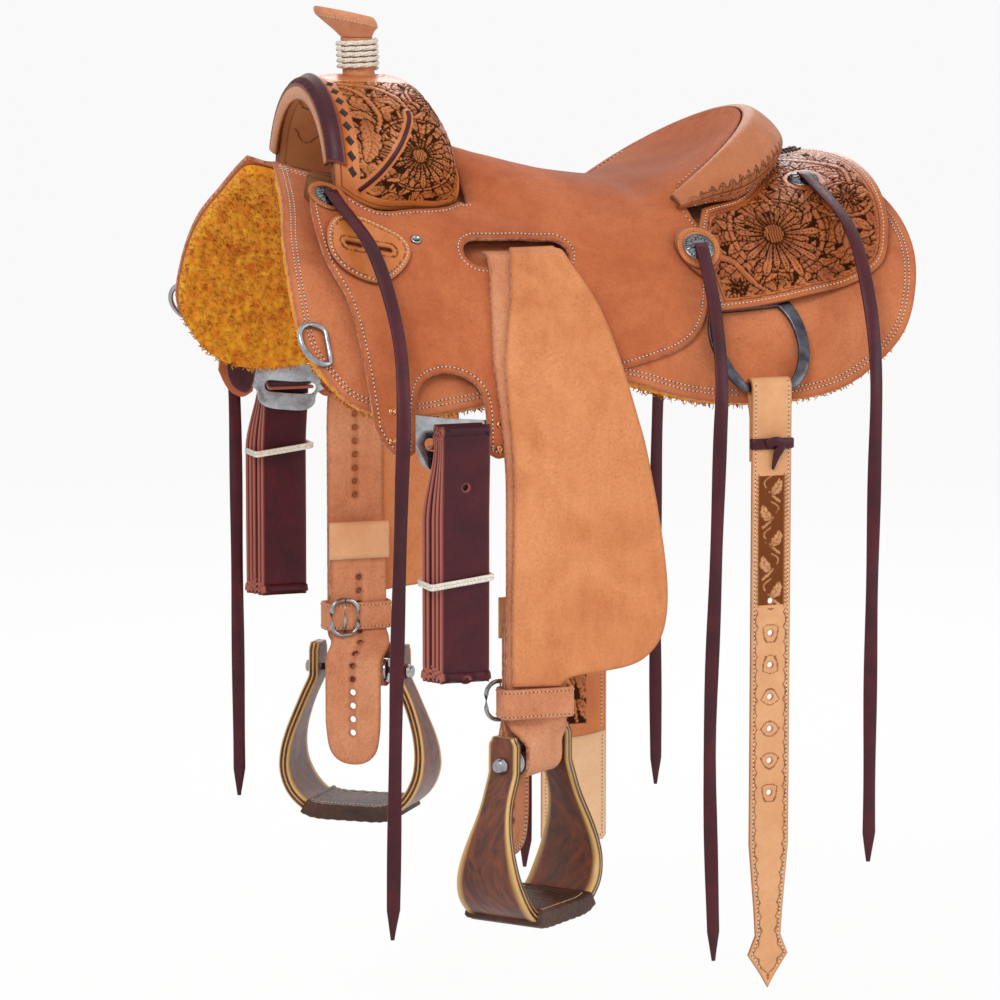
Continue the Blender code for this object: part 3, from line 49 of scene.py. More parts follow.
BACK_LOW_X = 0.120          # lowest point of the back line
BACK_LOW_Z = 0.065
BACK_RISE = 0.45            # how fast the back line climbs away from there, per metre
FRONT_X = -0.280            # where the withers shape is full
FLAT_X = 0.120              # where the loin shape is full
WITHERS_ANGLE = math.radians(20.0)
WITHERS_CURVE = 2.45        # turn of the side per metre of girth, at the front
LOIN_CURVE = 3.66           # and at the back
FIT = 0.0006                # clearance between leathers that lie on each other
TOUCH = 0.0004              # clearance at a metal or wooden seat
SKIRT_T = 0.0050
LAP = 0.0014                # where a leather crosses the step at the edge of a bar
FLEECE_T = 0.0180
FLEECE_GAP = 0.0009
FLEECE_INSET = 0.004
SEAT_T = 0.0050
JOCKEY_T = 0.0048
BACKING_T = 0.0040
PLATE_T = 0.0026
PATCH_T = 0.0050
FENDER_T = 0.0042
STRAP_T = 0.0040
LINING_T = 0.0032
COVER_T = 0.0042
LIP_T = 0.0055
ROLL_T = 0.0045
ROSETTE_T = 0.0030
BAR_T = 0.0140
BAR_OUT = 0.150             # girth from the centreline to the bar's outer edge
BAR_GAP = 0.0014            # under fork and cantle
FORK_BACK_X = -0.083
LIP_END = 0.84              # how far round the fork the gullet lip comes, 1 at the bars
HORN_X = -0.1545
HORN_TOP_X = -0.1570
HORN_TOP_Z = 0.2382
NECK_R = 0.0165
NECK_FLARE_R = 0.0182
CAP_R = 0.0333
CAP_TILT = math.radians(12.0)
CAP_RINGS = (               # centre x, centre z, share of the cap radius, share of the tilt
    (-0.1570, 0.2387, 0.49, 0.0),
    (-0.1605, 0.2455, 0.66, 0.4),
    (-0.1655, 0.2525, 0.90, 0.9),
    (-0.1675, 0.2552, 0.98, 1.0),
    (-0.1690, 0.2592, 1.00, 1.0),
    (-0.1702, 0.2630, 0.97, 1.0),
    (-0.1708, 0.2648, 0.90, 1.0),
)
WRAP_R = 0.0026
WRAP_TURNS = 5
WRAP_GAP = 0.0006
WRAP_BOTTOM_Z = 0.2061
DISH_X = 0.110              # centre of the dish
DISH_LONG = 0.152
DISH_HALF_W = 0.128
RIM_Z_SIDE = 0.052
RIM_Z_BACK = 0.158
RIM_SWEEP = 0.9             # how the rim falls away round the side
ROLL_W = 0.046
ROLL_GAP = 0.0006           # under the roll's lower edge
SLOT_X = -0.044
SLOT_S = 0.172
SLOT_HALF_L = 0.056
SLOT_HALF_W = 0.017
FENDER_SLOT_S = 0.166       # girth at which fender and stirrup leather start
LEAVE_S = 0.365             # girth at which they leave the saddle's side
HANG_BEND = 0.060           # length in which they turn to hang straight down
SLOT_SINK = 0.010
PLATE_SLOT_S = 0.378
DEE_R = 0.0200
DEE_WIRE = 0.0028
DEE_X = -0.262
DEE_S = 0.297
RING_X = 0.190
RING_T = 0.0050
RING_BAR_S = 0.334          # the bar that carries billet or cinch
CONCHO_R = 0.0165
CONCHO_DOME = 0.0045
ROSETTE_R = 0.0230
BILLET_W = 0.043
BILLET_END_Z = -0.727
CINCH_W = 0.078
CINCH_END_Z = -0.686
BILLET_LOOP_R = 0.0058
LATIGO_W = 0.050
LATIGO_T = 0.0035
LATIGO_TOP_Z = -0.146
LATIGO_DROP = 0.222
LATIGO_TURNS = 3
LATIGO_PITCH = 0.0052
LATIGO_X = -0.146
LATIGO_OUT = 0.0046
LATIGO_MID = 0.018
LEATHER_W = 0.064
LEATHER_X = -0.066
TAIL_TOP_Z = -0.335         # where the stirrup leather is folded back
TAIL_END_Z = -0.573
TAIL_GAP = 0.0015
UP_GAP = 0.0020
TAIL_HOLE_PITCH = 0.0150
TAIL_HOLE_R = 0.0036
STRING_W = 0.0140
STRING_T = 0.0030
BOLT_Z = -0.471
BOLT_R = 0.0040
ROLLER_OVER = 0.0020        # how far the bolt's roller reaches past the leather
NUT_R = 0.0080
NUT_L = 0.0070
LOOP_R = 0.0140             # inside radius of the stirrup leather's loop round the bolt
STIRRUP_TURN = math.radians(38.0)
TURN_TOP_Z = -0.428         # where the leather starts to turn
TURN_DROP = 0.029
STIRRUP_DROP = 0.155
STIRRUP_BOW = (             # half width, height from the bolt
    (0.0490, 0.0280), (0.0495, 0.0000), (0.0502, -0.0100), (0.0597, -0.0306), (0.0682, -0.0518), (0.0751, -0.0729),
    (0.0786, -0.0940), (0.0769, -0.1150), (0.0666, -0.1360), (0.0490, -0.1510), (0.0300, -0.1550),
)
WOOD_T = 0.0105
ARM_DEPTH = 0.033
TREAD_DEPTH = 0.080
TREAD_T = 0.0032
TREAD_HALF_L = 0.055
HOBBLE_Z = -0.412
HOBBLE_W = 0.030
HOBBLE_T = 0.0035
BUCKLE_W = 0.0310
BUCKLE_H = 0.0390
BUCKLE_WIRE = 0.0023
SIDES = (("near", -1.0), ("off", 1.0))


def smooth(value):
    value = min(max(value, 0.0), 1.0)
    return value * value * (3.0 - 2.0 * value)


def mix(a, b, t):
    return a + (b - a) * t


def spline_points(points, count):
    """Evenly parametrised Catmull-Rom curve through the points, count steps per span."""
    ends = [points[0]] + list(points) + [points[-1]]
    out = []
    for i in range(1, len(ends) - 2):
        for j in range(count):
            t = j / count
            out.append(tuple(catmull(ends[i - 1][c], ends[i][c], ends[i + 1][c], ends[i + 2][c], t)
                             for c in range(len(points[0]))))
    out.append(tuple(points[-1]))
    return out


def catmull(a, b, c, d, t):
    return 0.5 * (2 * b + (c - a) * t + (2 * a - 5 * b + 4 * c - d) * t * t
                  + (3 * b - a - 3 * c + d) * t ** 3)


def table(stations, value):
    """Smooth value between stations, given as (position, value) pairs."""
    if value <= stations[0][0]:
        return stations[0][1]
    for i in range(len(stations) - 1):
        if value <= stations[i + 1][0]:
            low = stations[max(i - 1, 0)][1]
            high = stations[min(i + 2, len(stations) - 1)][1]
            t = (value - stations[i][0]) / (stations[i + 1][0] - stations[i][0])
            return catmull(low, stations[i][1], stations[i + 1][1], high, t)
    return stations[-1][1]


def flow(runs, count=4):
    """Closed outline of smooth runs, each a curve through its points, with corners between them."""
    out = []
    for run in runs:
        out += spline_points(run, count if len(run) > 2 else 1)[:-1]
    return out


def ring_outline(x, y, radius, count):
    return [(x + radius * math.cos(math.tau * i / count), y + radius * math.sin(math.tau * i / count))
            for i in range(count)]


def slot_outline(x, y, half_length, half_width, count=4):
    out = []
    for end, start in ((1.0, -0.5), (-1.0, 0.5)):
        for i in range(count + 1):
            angle = math.pi * (start + i / count)
            out.append((x + end * (half_length - half_width) + half_width * math.cos(angle),
                        y + half_width * math.sin(angle)))
    return out


def inset(outline, distance):
    """The outline moved inwards by a distance."""
    area = sum(a[0] * b[1] - b[0] * a[1] for a, b in zip(outline, outline[1:] + outline[:1]))
    turn = 1.0 if area > 0 else -1.0
    out = []
    for i, point in enumerate(outline):
        before = Vector(outline[i - 1])
        after = Vector(outline[(i + 1) % len(outline)])
        along = (after - before).normalized()
        out.append((point[0] - turn * along.y * distance, point[1] + turn * along.x * distance))
    return out


def back_z(x):
    return BACK_LOW_Z + BACK_RISE * (x - BACK_LOW_X) ** 2


def side_shape(x):
    q = smooth((x - FRONT_X) / (FLAT_X - FRONT_X))
    return WITHERS_ANGLE * (1.0 - q), mix(WITHERS_CURVE, LOIN_CURVE, q)


def side_point(x, s, d, side):
    start, curve = side_shape(x)
    angle = start + curve * s
    y = (math.sin(angle) - math.sin(start)) / curve + d * math.sin(angle)
    z = back_z(x) - (math.cos(start) - math.cos(angle)) / curve + d * math.cos(angle)
    return Vector((x, side * y, z))


def side_normal(x, s, side):
    start, curve = side_shape(x)
    angle = start + curve * s
    return Vector((0.0, side * math.sin(angle), math.cos(angle)))


def side_height(x, y, d):
    """Height of the layer surface d above the point (x, y)."""
    start, curve = side_shape(x)
    sine = (abs(y) + math.sin(start) / curve) / (1.0 / curve + d)
    angle = math.asin(min(sine, 1.0))
    return back_z(x) - (math.cos(start) - math.cos(angle)) / curve + d * math.cos(angle)


def girth_at(x, y, d=0.0):
    """Girth at which the layer surface d stands over the plan point (x, y)."""
    start, curve = side_shape(x)
    sine = (abs(y) + math.sin(start) / curve) / (1.0 / curve + d)
    return (math.asin(min(sine, 1.0)) - start) / curve


SKIRT_TOP = SKIRT_T
BAR_BASE = SKIRT_TOP + FIT + 0.5 * TOUCH
BACKING_BASE = SKIRT_TOP + FIT
PLATE_BASE = BACKING_BASE + BACKING_T + TOUCH
LEG_BASE = PLATE_BASE + PLATE_T + 2.0 * TOUCH


def bar_cover(s):
    """1 over the bar, falling to 0 past its outer edge."""
    return 1.0 - smooth((s - BAR_OUT + 0.020) / 0.100)


def seat_base(x, s):
    """Underside of the seat leather over skirt, bar and rigging."""
    rigging = 1.0 - smooth((x + 0.045) / 0.070)
    lift = (LEG_BASE - SKIRT_TOP - FIT) * rigging
    bar = (BAR_T + FIT) * bar_cover(s)
    return SKIRT_TOP + FIT + max(bar, lift * smooth((s - 0.020) / 0.060) + bar * 0.6)


def jockey_base(x, s):
    """Underside of the rear jockey: on skirt, bar and rear ring, over the seat leather in front."""
    over_seat = 1.0 - smooth((x - 0.175) / 0.050)
    over_ring = (RING_T + FIT + TOUCH) * smooth((s - 0.180) / 0.030) * (1.0 - smooth((abs(x - RING_X) - 0.060) / 0.050))
    lift = max((SEAT_T + LAP) * over_seat, over_ring)
    return SKIRT_TOP + FIT + (BAR_T + FIT + 2.0 * TOUCH) * bar_cover(s) + lift


def bar_floor(x, y):
    """Height at which a piece clears the top of the bars."""
    return side_height(x, y, BAR_BASE + BAR_T + BAR_GAP)


SEAT_LINE = ((-0.120, 0.139), (-0.082, 0.131), (-0.040, 0.119), (0.020, 0.104),
             (0.070, 0.094), (0.110, 0.090), (0.160, 0.090))


def rim_height(angle):
    return mix(RIM_Z_SIDE, RIM_Z_BACK, max(math.cos(angle), 0.0) ** RIM_SWEEP)


def dish_height(x, y):
    along = (x - DISH_X) / DISH_LONG
    across = y / DISH_HALF_W
    angle = math.atan2(abs(across), along)
    bottom = table(SEAT_LINE, DISH_X)
    return bottom + (rim_height(angle) - bottom) * min(math.hypot(along, across), 1.0) ** 2.2


def seat_point(x, girth, w):
    """Point of the seat leather; girth is positive on the near side, w runs from 0 below to 1 on top."""
    side = -1.0 if girth > 0 else 1.0
    s = abs(girth)
    base = seat_base(x, s)
    point = side_point(x, s, base + SEAT_T * w, side)
    middle = side_point(x, s, base + SEAT_T / 2, side)
    to_dish = smooth((x - 0.080) / 0.060)
    spread = mix(0.078, 0.120, smooth((x - FORK_BACK_X) / 0.060))
    weight = mix(1.0 - smooth((s - 0.020) / spread), 1.0 - smooth((s - 0.108) / 0.034), to_dish)
    centre = mix(table(SEAT_LINE, x), dish_height(x, middle.y), to_dish) - SEAT_T * (1.0 - w)
    point.y = mix(point.y, middle.y, weight)
    floor = side_height(x, point.y, BAR_BASE + (BAR_T + FIT) * bar_cover(s)) + SEAT_T * w
    point.z = mix(point.z, max(centre, floor), weight)
    return point


def seat_middle(x, s):
    return seat_base(x, s) + SEAT_T / 2


def rim_point(angle, grow=0.0):
    """Plan position of the dish rim, grown outwards."""
    return (DISH_X + (DISH_LONG + grow) * math.cos(angle), -(DISH_HALF_W + grow) * math.sin(angle))


SKIRT = (
    ((-0.262, 0.046), (-0.272, 0.119), (-0.285, 0.181), (-0.290, 0.250), (-0.287, 0.300),
     (-0.266, 0.331), (-0.240, 0.350), (-0.190, 0.352), (-0.120, 0.336), (0.000, 0.312),
     (0.050, 0.318), (0.110, 0.338), (0.190, 0.347), (0.270, 0.345), (0.320, 0.325),
     (0.352, 0.300), (0.372, 0.262), (0.384, 0.215), (0.384, 0.160), (0.372, 0.091),
     (0.350, 0.046)),
    ((0.350, 0.046), (0.120, 0.056)),
    ((0.120, 0.056), (-0.262, 0.046)),
)

ARCH = (                    # x, half width, crown height
    (-0.214, 0.088, 0.180),
    (-0.150, 0.086, 0.168),
    (FORK_BACK_X, 0.074, 0.118),
)
SWELL = (                   # x, half width, centre height, height above the centre
    (-0.214, 0.102, 0.088, 0.104),
    (-0.198, 0.116, 0.098, 0.101),
    (-0.170, 0.138, 0.113, 0.088),
    (-0.140, 0.148, 0.120, 0.080),
    (-0.115, 0.146, 0.118, 0.078),
    (-0.096, 0.130, 0.108, 0.064),
    (FORK_BACK_X, 0.108, 0.092, 0.042),
)
FORK_FRONT = SWELL[0][0]
LIP = (                     # x and offset from the fork's surface, from the top round into the gullet
    (-0.2055, 0.0020), (-0.2140, 0.0012), (-0.2158, -0.0006), (-0.2162, -0.0060), (-0.2158, -0.0115),
    (-0.2146, -0.0135),
)


def column(rows, index):
    return tuple((row[0], row[index]) for row in rows)


def arch_point(x, t, grow):
    half = table(column(ARCH, 1), x)
    foot = bar_floor(x, half)
    angle = math.pi / 2 * t
    rise = table(column(ARCH, 2), x) + grow - foot
    return Vector((x, -(half + grow) * math.sin(angle), foot + rise * math.cos(angle)))


def foot_angle(x):
    """Angle round the fork at which the underside of its cover comes down to the bars."""
    half = table(column(SWELL, 1), x) - COVER_T - 2.0 * FIT
    centre = table(column(SWELL, 2), x)
    height = table(column(SWELL, 3), x) - COVER_T - 2.0 * FIT
    low = math.radians(60.0)
    high = math.radians(150.0)
    for _ in range(20):
        angle = (low + high) / 2
        if centre + height * math.cos(angle) > bar_floor(x, half * math.sin(angle)):
            low = angle
        else:
            high = angle
    return low


def swell_point(x, t, grow):
    half = table(column(SWELL, 1), x) + grow
    height = table(column(SWELL, 3), x) + grow
    angle = foot_angle(x) * t
    return Vector((x, -half * math.sin(angle), table(column(SWELL, 2), x) + height * math.cos(angle)))


SEAT_SIDE = (
    ((0.163, 0.147), (0.161, 0.180), (0.148, 0.232), (0.131, 0.267), (0.105, 0.287),
     (0.060, 0.300), (0.000, 0.312), (-0.055, 0.330), (-0.087, 0.372)),
    ((-0.087, 0.372), (-0.092, 0.384), (-0.103, 0.388), (-0.114, 0.382)),
    ((-0.114, 0.382), (-0.111, 0.334), (-0.122, 0.313), (-0.146, 0.306), (-0.170, 0.316),
     (-0.182, 0.340), (-0.188, 0.388)),
    ((-0.188, 0.388), (-0.200, 0.396), (-0.216, 0.390), (-0.228, 0.372)),
    ((-0.228, 0.372), (-0.231, 0.290), (-0.236, 0.240), (-0.250, 0.200), (-0.253, 0.154),
     (-0.247, 0.122), (-0.236, 0.112)),
)
SEAT_FRONT_X = (-0.236, -0.214, -0.180, -0.140, -0.105, -0.084)
SEAT_FRONT_GAP = 0.0085     # from the fork cover's foot


def rim_outline(low, high, count, layer, grow=0.0):
    """Points on the rim as pattern points, from angle low to angle high."""
    out = []
    for i in range(count + 1):
        x, y = rim_point(mix(low, high, i / count), grow)
        s = girth_at(x, y, layer(x, girth_at(x, y)))
        out.append((x, math.copysign(s, -y)))
    return out


def fork_edge(x):
    """The seat leather's edge along the foot of the fork cover."""
    y = swell_point(max(x, FORK_FRONT), 1.0, 0.0).y
    return (x, girth_at(x, y, seat_middle(x, girth_at(x, y))) + SEAT_FRONT_GAP)


def roll_path(angle):
    """Profile of the cantle roll at an angle round the rim, as (outward, height) points."""
    wide = ROLL_W * (0.35 + 0.65 * math.cos(angle))
    x, y = rim_point(angle, wide * 0.7)
    girth = girth_at(x, y, jockey_top(x, girth_at(x, y)))
    floor = side_height(x, y, jockey_top(x, girth)) + ROLL_GAP
    top = rim_height(abs(angle))
    drop = top - floor
    return spline_points([(0.0016, top), (wide * 0.30, top + 0.002), (wide * 0.72, top - 0.20 * drop),
                          (wide, top - 0.52 * drop), (wide * 0.92, top - 0.80 * drop),
                          (wide * 0.70, floor)], 2)


JOCKEY = (
    ((0.156, 0.158), (0.136, 0.156), (0.125, 0.175), (0.134, 0.198), (0.150, 0.215)),
    ((0.150, 0.215), (0.152, 0.252)),
    ((0.152, 0.252), (0.200, 0.250), (0.270, 0.244), (0.317, 0.236), (0.345, 0.222), (0.359, 0.194),
     (0.366, 0.159), (0.367, 0.112), (0.362, 0.070), (0.350, 0.030), (0.336, 0.003)),
    ((0.336, 0.003), (0.296, 0.003)),
)


def jockey_top(x, s):
    return jockey_base(x, s) + JOCKEY_T


RIGGING_LEAF = (
    ((-0.222, 0.280), (-0.226, 0.330), (-0.222, 0.368), (-0.212, 0.385), (-0.196, 0.388), (-0.190, 0.374)),
    ((-0.190, 0.374), (-0.186, 0.334), (-0.172, 0.310), (-0.146, 0.301), (-0.120, 0.308),
     (-0.108, 0.330), (-0.111, 0.374)),
    ((-0.111, 0.374), (-0.100, 0.382), (-0.091, 0.372), (-0.080, 0.345), (-0.066, 0.318), (-0.066, 0.260)),
    ((-0.066, 0.260), (-0.222, 0.280)),
)
PLATE_LEAF = (
    ((-0.216, 0.350), (-0.214, 0.372), (-0.204, 0.377)),
    ((-0.204, 0.377), (-0.186, 0.384), (-0.181, 0.397), (-0.170, 0.403), (-0.150, 0.404),
     (-0.128, 0.403), (-0.117, 0.396), (-0.114, 0.383), (-0.098, 0.376)),
    ((-0.098, 0.376), (-0.094, 0.358), (-0.100, 0.350)),
    ((-0.100, 0.350), (-0.216, 0.350)),
)


def seat_top(x, s):
    return seat_base(x, s) + SEAT_T


def on_seat(x, s, side):
    return seat_point(x, -side * s, 1.0)


def on_jockey(x, s, side):
    return side_point(x, s, jockey_top(x, s), side)


CONCHOS = (                 # label, x, girth, what it lies on
    ("front", -0.229, 0.121, on_seat),
    ("seat", 0.148, 0.182, on_jockey),
    ("back", 0.300, 0.094, on_jockey),
)
CONCHO_REACH = 0.010        # over which the surface below is averaged


def facing(surface, x, s, side):
    """Place and outward direction of a surface laid over the side."""
    def at(dx, ds):
        return surface(x + dx, s + ds, side)
    normal = (at(CONCHO_REACH, 0.0) - at(-CONCHO_REACH, 0.0)).cross(at(0.0, CONCHO_REACH) - at(0.0, -CONCHO_REACH))
    if normal.dot(side_normal(x, s, side)) < 0.0:
        normal = -normal
    return at(0.0, 0.0), normal.normalized()


RING_OUTER = (
    ((-0.040, 0.240), (-0.050, 0.262), (-0.053, 0.290), (-0.046, 0.318), (-0.033, 0.334), (-0.024, 0.338)),
    ((-0.024, 0.338), (0.024, 0.338)),
    ((0.024, 0.338), (0.033, 0.334), (0.046, 0.318), (0.053, 0.290), (0.050, 0.262), (0.040, 0.240)),
    ((0.040, 0.240), (-0.040, 0.240)),
)
RING_INNER = (
    ((-0.030, 0.250), (-0.038, 0.266), (-0.041, 0.290), (-0.036, 0.311), (-0.028, 0.325), (-0.024, 0.330)),
    ((-0.024, 0.330), (0.024, 0.330)),
    ((0.024, 0.330), (0.028, 0.325), (0.036, 0.311), (0.041, 0.290), (0.038, 0.266), (0.030, 0.250)),
    ((0.030, 0.250), (-0.030, 0.250)),
)


def ring_base(s):
    """The rear ring lies on the skirt above, and stands off it below, where the billet goes round."""
    low = SKIRT_TOP + FIT
    return low + (STRAP_T + BILLET_LOOP_R - RING_T / 2 + FIT) * smooth((s - 0.256) / 0.076)


def ring_bar(side):
    """Middle of the rear ring's lower bar."""
    return side_point(RING_X, RING_BAR_S, ring_base(RING_BAR_S) + RING_T / 2, side)


def strap_shape(path):
    """A strap's path through (out, z) points: place and direction at a length, and the lengths."""
    lengths = [0.0]
    for a, b in zip(path, path[1:]):
        lengths.append(lengths[-1] + math.hypot(b[0] - a[0], b[1] - a[1]))
    directions = []
    for i in range(len(path)):
        a = path[max(i - 1, 0)]
        b = path[min(i + 1, len(path) - 1)]
        size = math.hypot(b[0] - a[0], b[1] - a[1])
        directions.append(((b[0] - a[0]) / size, (b[1] - a[1]) / size))

    def at(v):
        i = 0
        while i < len(path) - 2 and v > lengths[i + 1]:
            i += 1
        t = (v - lengths[i]) / (lengths[i + 1] - lengths[i])
        dx = mix(directions[i][0], directions[i + 1][0], t)
        dz = mix(directions[i][1], directions[i + 1][1], t)
        size = math.hypot(dx, dz)
        return mix(path[i][0], path[i + 1][0], t), mix(path[i][1], path[i + 1][1], t), dx / size, dz / size
    return at, lengths


def leather_base(s):
    """Underside of the stirrup leather, over the seat leather where the rigging lies below it."""
    return seat_top(FORK_FRONT, s) + FIT


def fender_base(s):
    return leather_base(s) + STRAP_T + FIT


def hang_curve(x, length, base, side):
    """A leather that starts in the slot, lies on the side and hangs down: place and outward direction."""
    s = FENDER_SLOT_S + length
    run = s - LEAVE_S
    if run <= 0.0:
        sink = SLOT_SINK * (1.0 - smooth(length / 0.016))
        return side_point(x, s, base(s) - sink, side), side_normal(x, s, side)
    at = mix(x, LEATHER_X, smooth(run / HANG_BEND))
    start, curve = side_shape(at)
    angle = start + curve * LEAVE_S
    point = side_point(at, LEAVE_S, base(LEAVE_S), side)
    bend = min(run, HANG_BEND)
    turned_by = (math.pi / 2 - angle) * bend / HANG_BEND
    middle = angle + turned_by / 2
    point.x = x
    point.y += side * math.cos(middle) * bend
    point.z -= math.sin(middle) * bend + max(run - HANG_BEND, 0.0)
    angle += turned_by
    return point, Vector((0.0, side * math.sin(angle), math.cos(angle)))


STRAIGHT = 0.400            # a length at which the leathers hang straight down
HANG_POINT = hang_curve(LEATHER_X, STRAIGHT, leather_base, 1.0)[0]
HANG_Y = HANG_POINT.y
BOLT_Y = HANG_Y - LOOP_R


def turn_at(z):
    """How far the stirrup leather has turned at a height, towards the stirrup."""
    return STIRRUP_TURN * smooth((TURN_TOP_Z - z) / TURN_DROP)


def twisted(point, side):
    angle = side * -turn_at(point.z)
    centre = Vector((LEATHER_X, side * BOLT_Y, point.z))
    return centre + Matrix.Rotation(angle, 3, "Z") @ (point - centre)


FENDER = (                  # x and length below the slot, front edge then rear edge
    ((-0.050, 0.000), (-0.058, 0.025), (-0.066, 0.060), (-0.082, 0.110), (-0.090, 0.160), (-0.092, 0.300),
     (-0.094, 0.400), (-0.093, 0.452)),
    ((-0.093, 0.452), (-0.042, 0.454)),
    ((-0.042, 0.454), (-0.028, 0.445), (0.030, 0.438), (0.056, 0.424), (0.070, 0.398), (0.072, 0.350),
     (0.060, 0.270), (0.040, 0.180), (0.022, 0.080), (0.004, 0.026), (-0.004, 0.000)),
    ((-0.004, 0.000), (-0.050, 0.000)),
)
UP_BEND = ((0.0, -0.4630), (0.0040, -0.4550), (0.0200, -0.4370))    # from the loop's inner side
TAIL_BEND = ((0.0075, -0.4370), (-0.0085, -0.4550), (-0.0110, -0.4630), (-0.0110, -0.4780))


def leather_path():
    """The stirrup leather from where it hangs: down, round the bolt, up inside, folded and down to its tail."""
    path = [(HANG_Y, BOLT_Z + 0.012)]
    for i in range(9):
        angle = math.pi * i / 8
        path.append((BOLT_Y + LOOP_R * math.cos(angle), BOLT_Z - LOOP_R * math.sin(angle)))
    inner = HANG_Y - UP_GAP
    side_of_loop = BOLT_Y - LOOP_R
    path += [(side_of_loop + out, z) for out, z in UP_BEND] + [(inner, TURN_TOP_Z), (inner, TAIL_TOP_Z)]
    fold = STRAP_T + TAIL_GAP / 2
    for i in range(1, 7):
        angle = math.pi * i / 6
        path.append((inner - fold + fold * math.cos(angle), TAIL_TOP_Z + fold * math.sin(angle)))
    tail = inner - 2.0 * fold
    path += [(tail, TURN_TOP_Z)] + [(side_of_loop + out, z) for out, z in TAIL_BEND]
    return path + [(path[-1][0], TAIL_END_Z)]


def latigo_path(start):
    """A long strap out of the plate's slot, wound into a flat bundle."""
    inner = start[0] + LATIGO_OUT
    first = inner + LATIGO_MID - LATIGO_PITCH * LATIGO_TURNS
    path = [(start[0] - 0.005, start[1]), (start[0] + 0.0015, start[1]), (first, start[1] + 0.004)]
    for i in range(LATIGO_TURNS):
        gap = LATIGO_PITCH * (LATIGO_TURNS - i)
        for k in range(7):
            angle = math.pi * (1.0 - k / 6.0)
            path.append((inner + LATIGO_MID + gap * math.cos(angle), LATIGO_TOP_Z + gap * math.sin(angle)))
        lower = gap - LATIGO_PITCH / 2
        for k in range(7):
            angle = -math.pi * k / 6.0
            path.append((inner + LATIGO_MID + LATIGO_PITCH / 2 + lower * math.cos(angle),
                         LATIGO_TOP_Z - LATIGO_DROP + lower * math.sin(angle)))
    return path


STRING_TOPS = {             # out of the concho and over its edge, as on both sides
    "front": ((-0.2274, 0.1273, 0.0918), (-0.2236, 0.1395, 0.0814)),
    "seat": ((0.1478, 0.1917, 0.0325), (0.1476, 0.2023, 0.0199)),
    "back": ((0.2990, 0.1031, 0.0942), (0.3010, 0.1180, 0.0885)),
}
STRINGS = (                 # side, place, and the way down from there
    ("near", "front", ((-0.206, 0.200, 0.035), (-0.200, 0.255, -0.040), (-0.206, 0.290, -0.110),
                       (-0.212, 0.300, -0.200), (-0.218, 0.300, -0.400), (-0.222, 0.300, -0.640))),
    ("near", "seat", ((0.142, 0.245, -0.030), (0.134, 0.283, -0.095), (0.128, 0.294, -0.160),
                      (0.123, 0.296, -0.300), (0.118, 0.296, -0.480), (0.124, 0.296, -0.690))),
    ("near", "back", ((0.308, 0.200, 0.048), (0.306, 0.252, -0.010), (0.302, 0.286, -0.090),
                      (0.298, 0.294, -0.200), (0.296, 0.294, -0.380), (0.296, 0.294, -0.600))),
    ("off", "front", ((-0.216, 0.200, 0.035), (-0.210, 0.255, -0.040), (-0.204, 0.290, -0.110),
                      (-0.199, 0.300, -0.200), (-0.198, 0.300, -0.400), (-0.197, 0.300, -0.610))),
    ("off", "seat", ((0.144, 0.245, -0.030), (0.142, 0.283, -0.095), (0.141, 0.294, -0.160),
                     (0.140, 0.296, -0.300), (0.140, 0.296, -0.480), (0.138, 0.296, -0.715))),
    ("off", "back", ((0.310, 0.200, 0.048), (0.306, 0.252, -0.010), (0.300, 0.286, -0.090),
                     (0.296, 0.294, -0.200), (0.294, 0.294, -0.380), (0.296, 0.294, -0.630))),
)


# Mesh tools

def new_mesh(name, verts, faces, mat, body, smooth=True, attributes=None):
    mesh = bpy.data.meshes.new(name)
    mesh.from_pydata([tuple(v) for v in verts], [], [tuple(f) for f in faces])
    if smooth:
        mesh.shade_smooth()
    for key, values in dict({"edge": [0.01] * len(verts)}, **(attributes or {})).items():
        layer = mesh.attributes.new(key, "FLOAT", "POINT")
        layer.data.foreach_set("value", np.asarray(values, dtype=np.float32))
    mesh.materials.append(mat)
    obj = bpy.data.objects.new(name, mesh)
    bpy.context.scene.collection.objects.link(obj)
    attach(obj, body)
    return obj


FINE = 0.003                # between the points of a finely drawn outline


def resample(loop, step):
    out = []
    for a, b in zip(loop, loop[1:] + loop[:1]):
        n = max(1, int(round(math.dist(a, b) / step)))
        out += [(mix(a[0], b[0], i / n), mix(a[1], b[1], i / n)) for i in range(n)]
    return out


def inside(points, loops):
    hit = np.zeros(len(points), bool)
    for loop in loops:
        a = np.asarray(loop)
        b = np.roll(a, -1, 0)
        for (ax, ay), (bx, by) in zip(a, b):
            if ay == by:
                continue
            cross = (ay > points[:, 1]) != (by > points[:, 1])
            hit ^= cross & (points[:, 0] < (bx - ax) * (points[:, 1] - ay) / (by - ay) + ax)
    return hit


def line_distance(points, path, closed=True):
    """Distance from each point to a path, and how far along the path that is, from 0 to 1."""
    path = np.asarray(path, float)
    ends = np.roll(path, -1, 0) if closed else path[1:]
    starts = path if closed else path[:-1]
    best = np.full(len(points), 1e9)
    along = np.zeros(len(points))
    side = np.zeros(len(points))
    for i, (a, b) in enumerate(zip(starts, ends)):
        ab = b - a
        rel = points - a
        size = max(float(ab @ ab), 1e-14)
        t = np.clip(rel @ ab / size, 0.0, 1.0)
        off = rel - t[:, None] * ab
        d = np.hypot(off[:, 0], off[:, 1])
        near = d < best
        best = np.where(near, d, best)
        along = np.where(near, (i + t) / len(starts), along)
        side = np.where(near, np.sign(ab[0] * off[:, 1] - ab[1] * off[:, 0]), side)
    return best, along, side


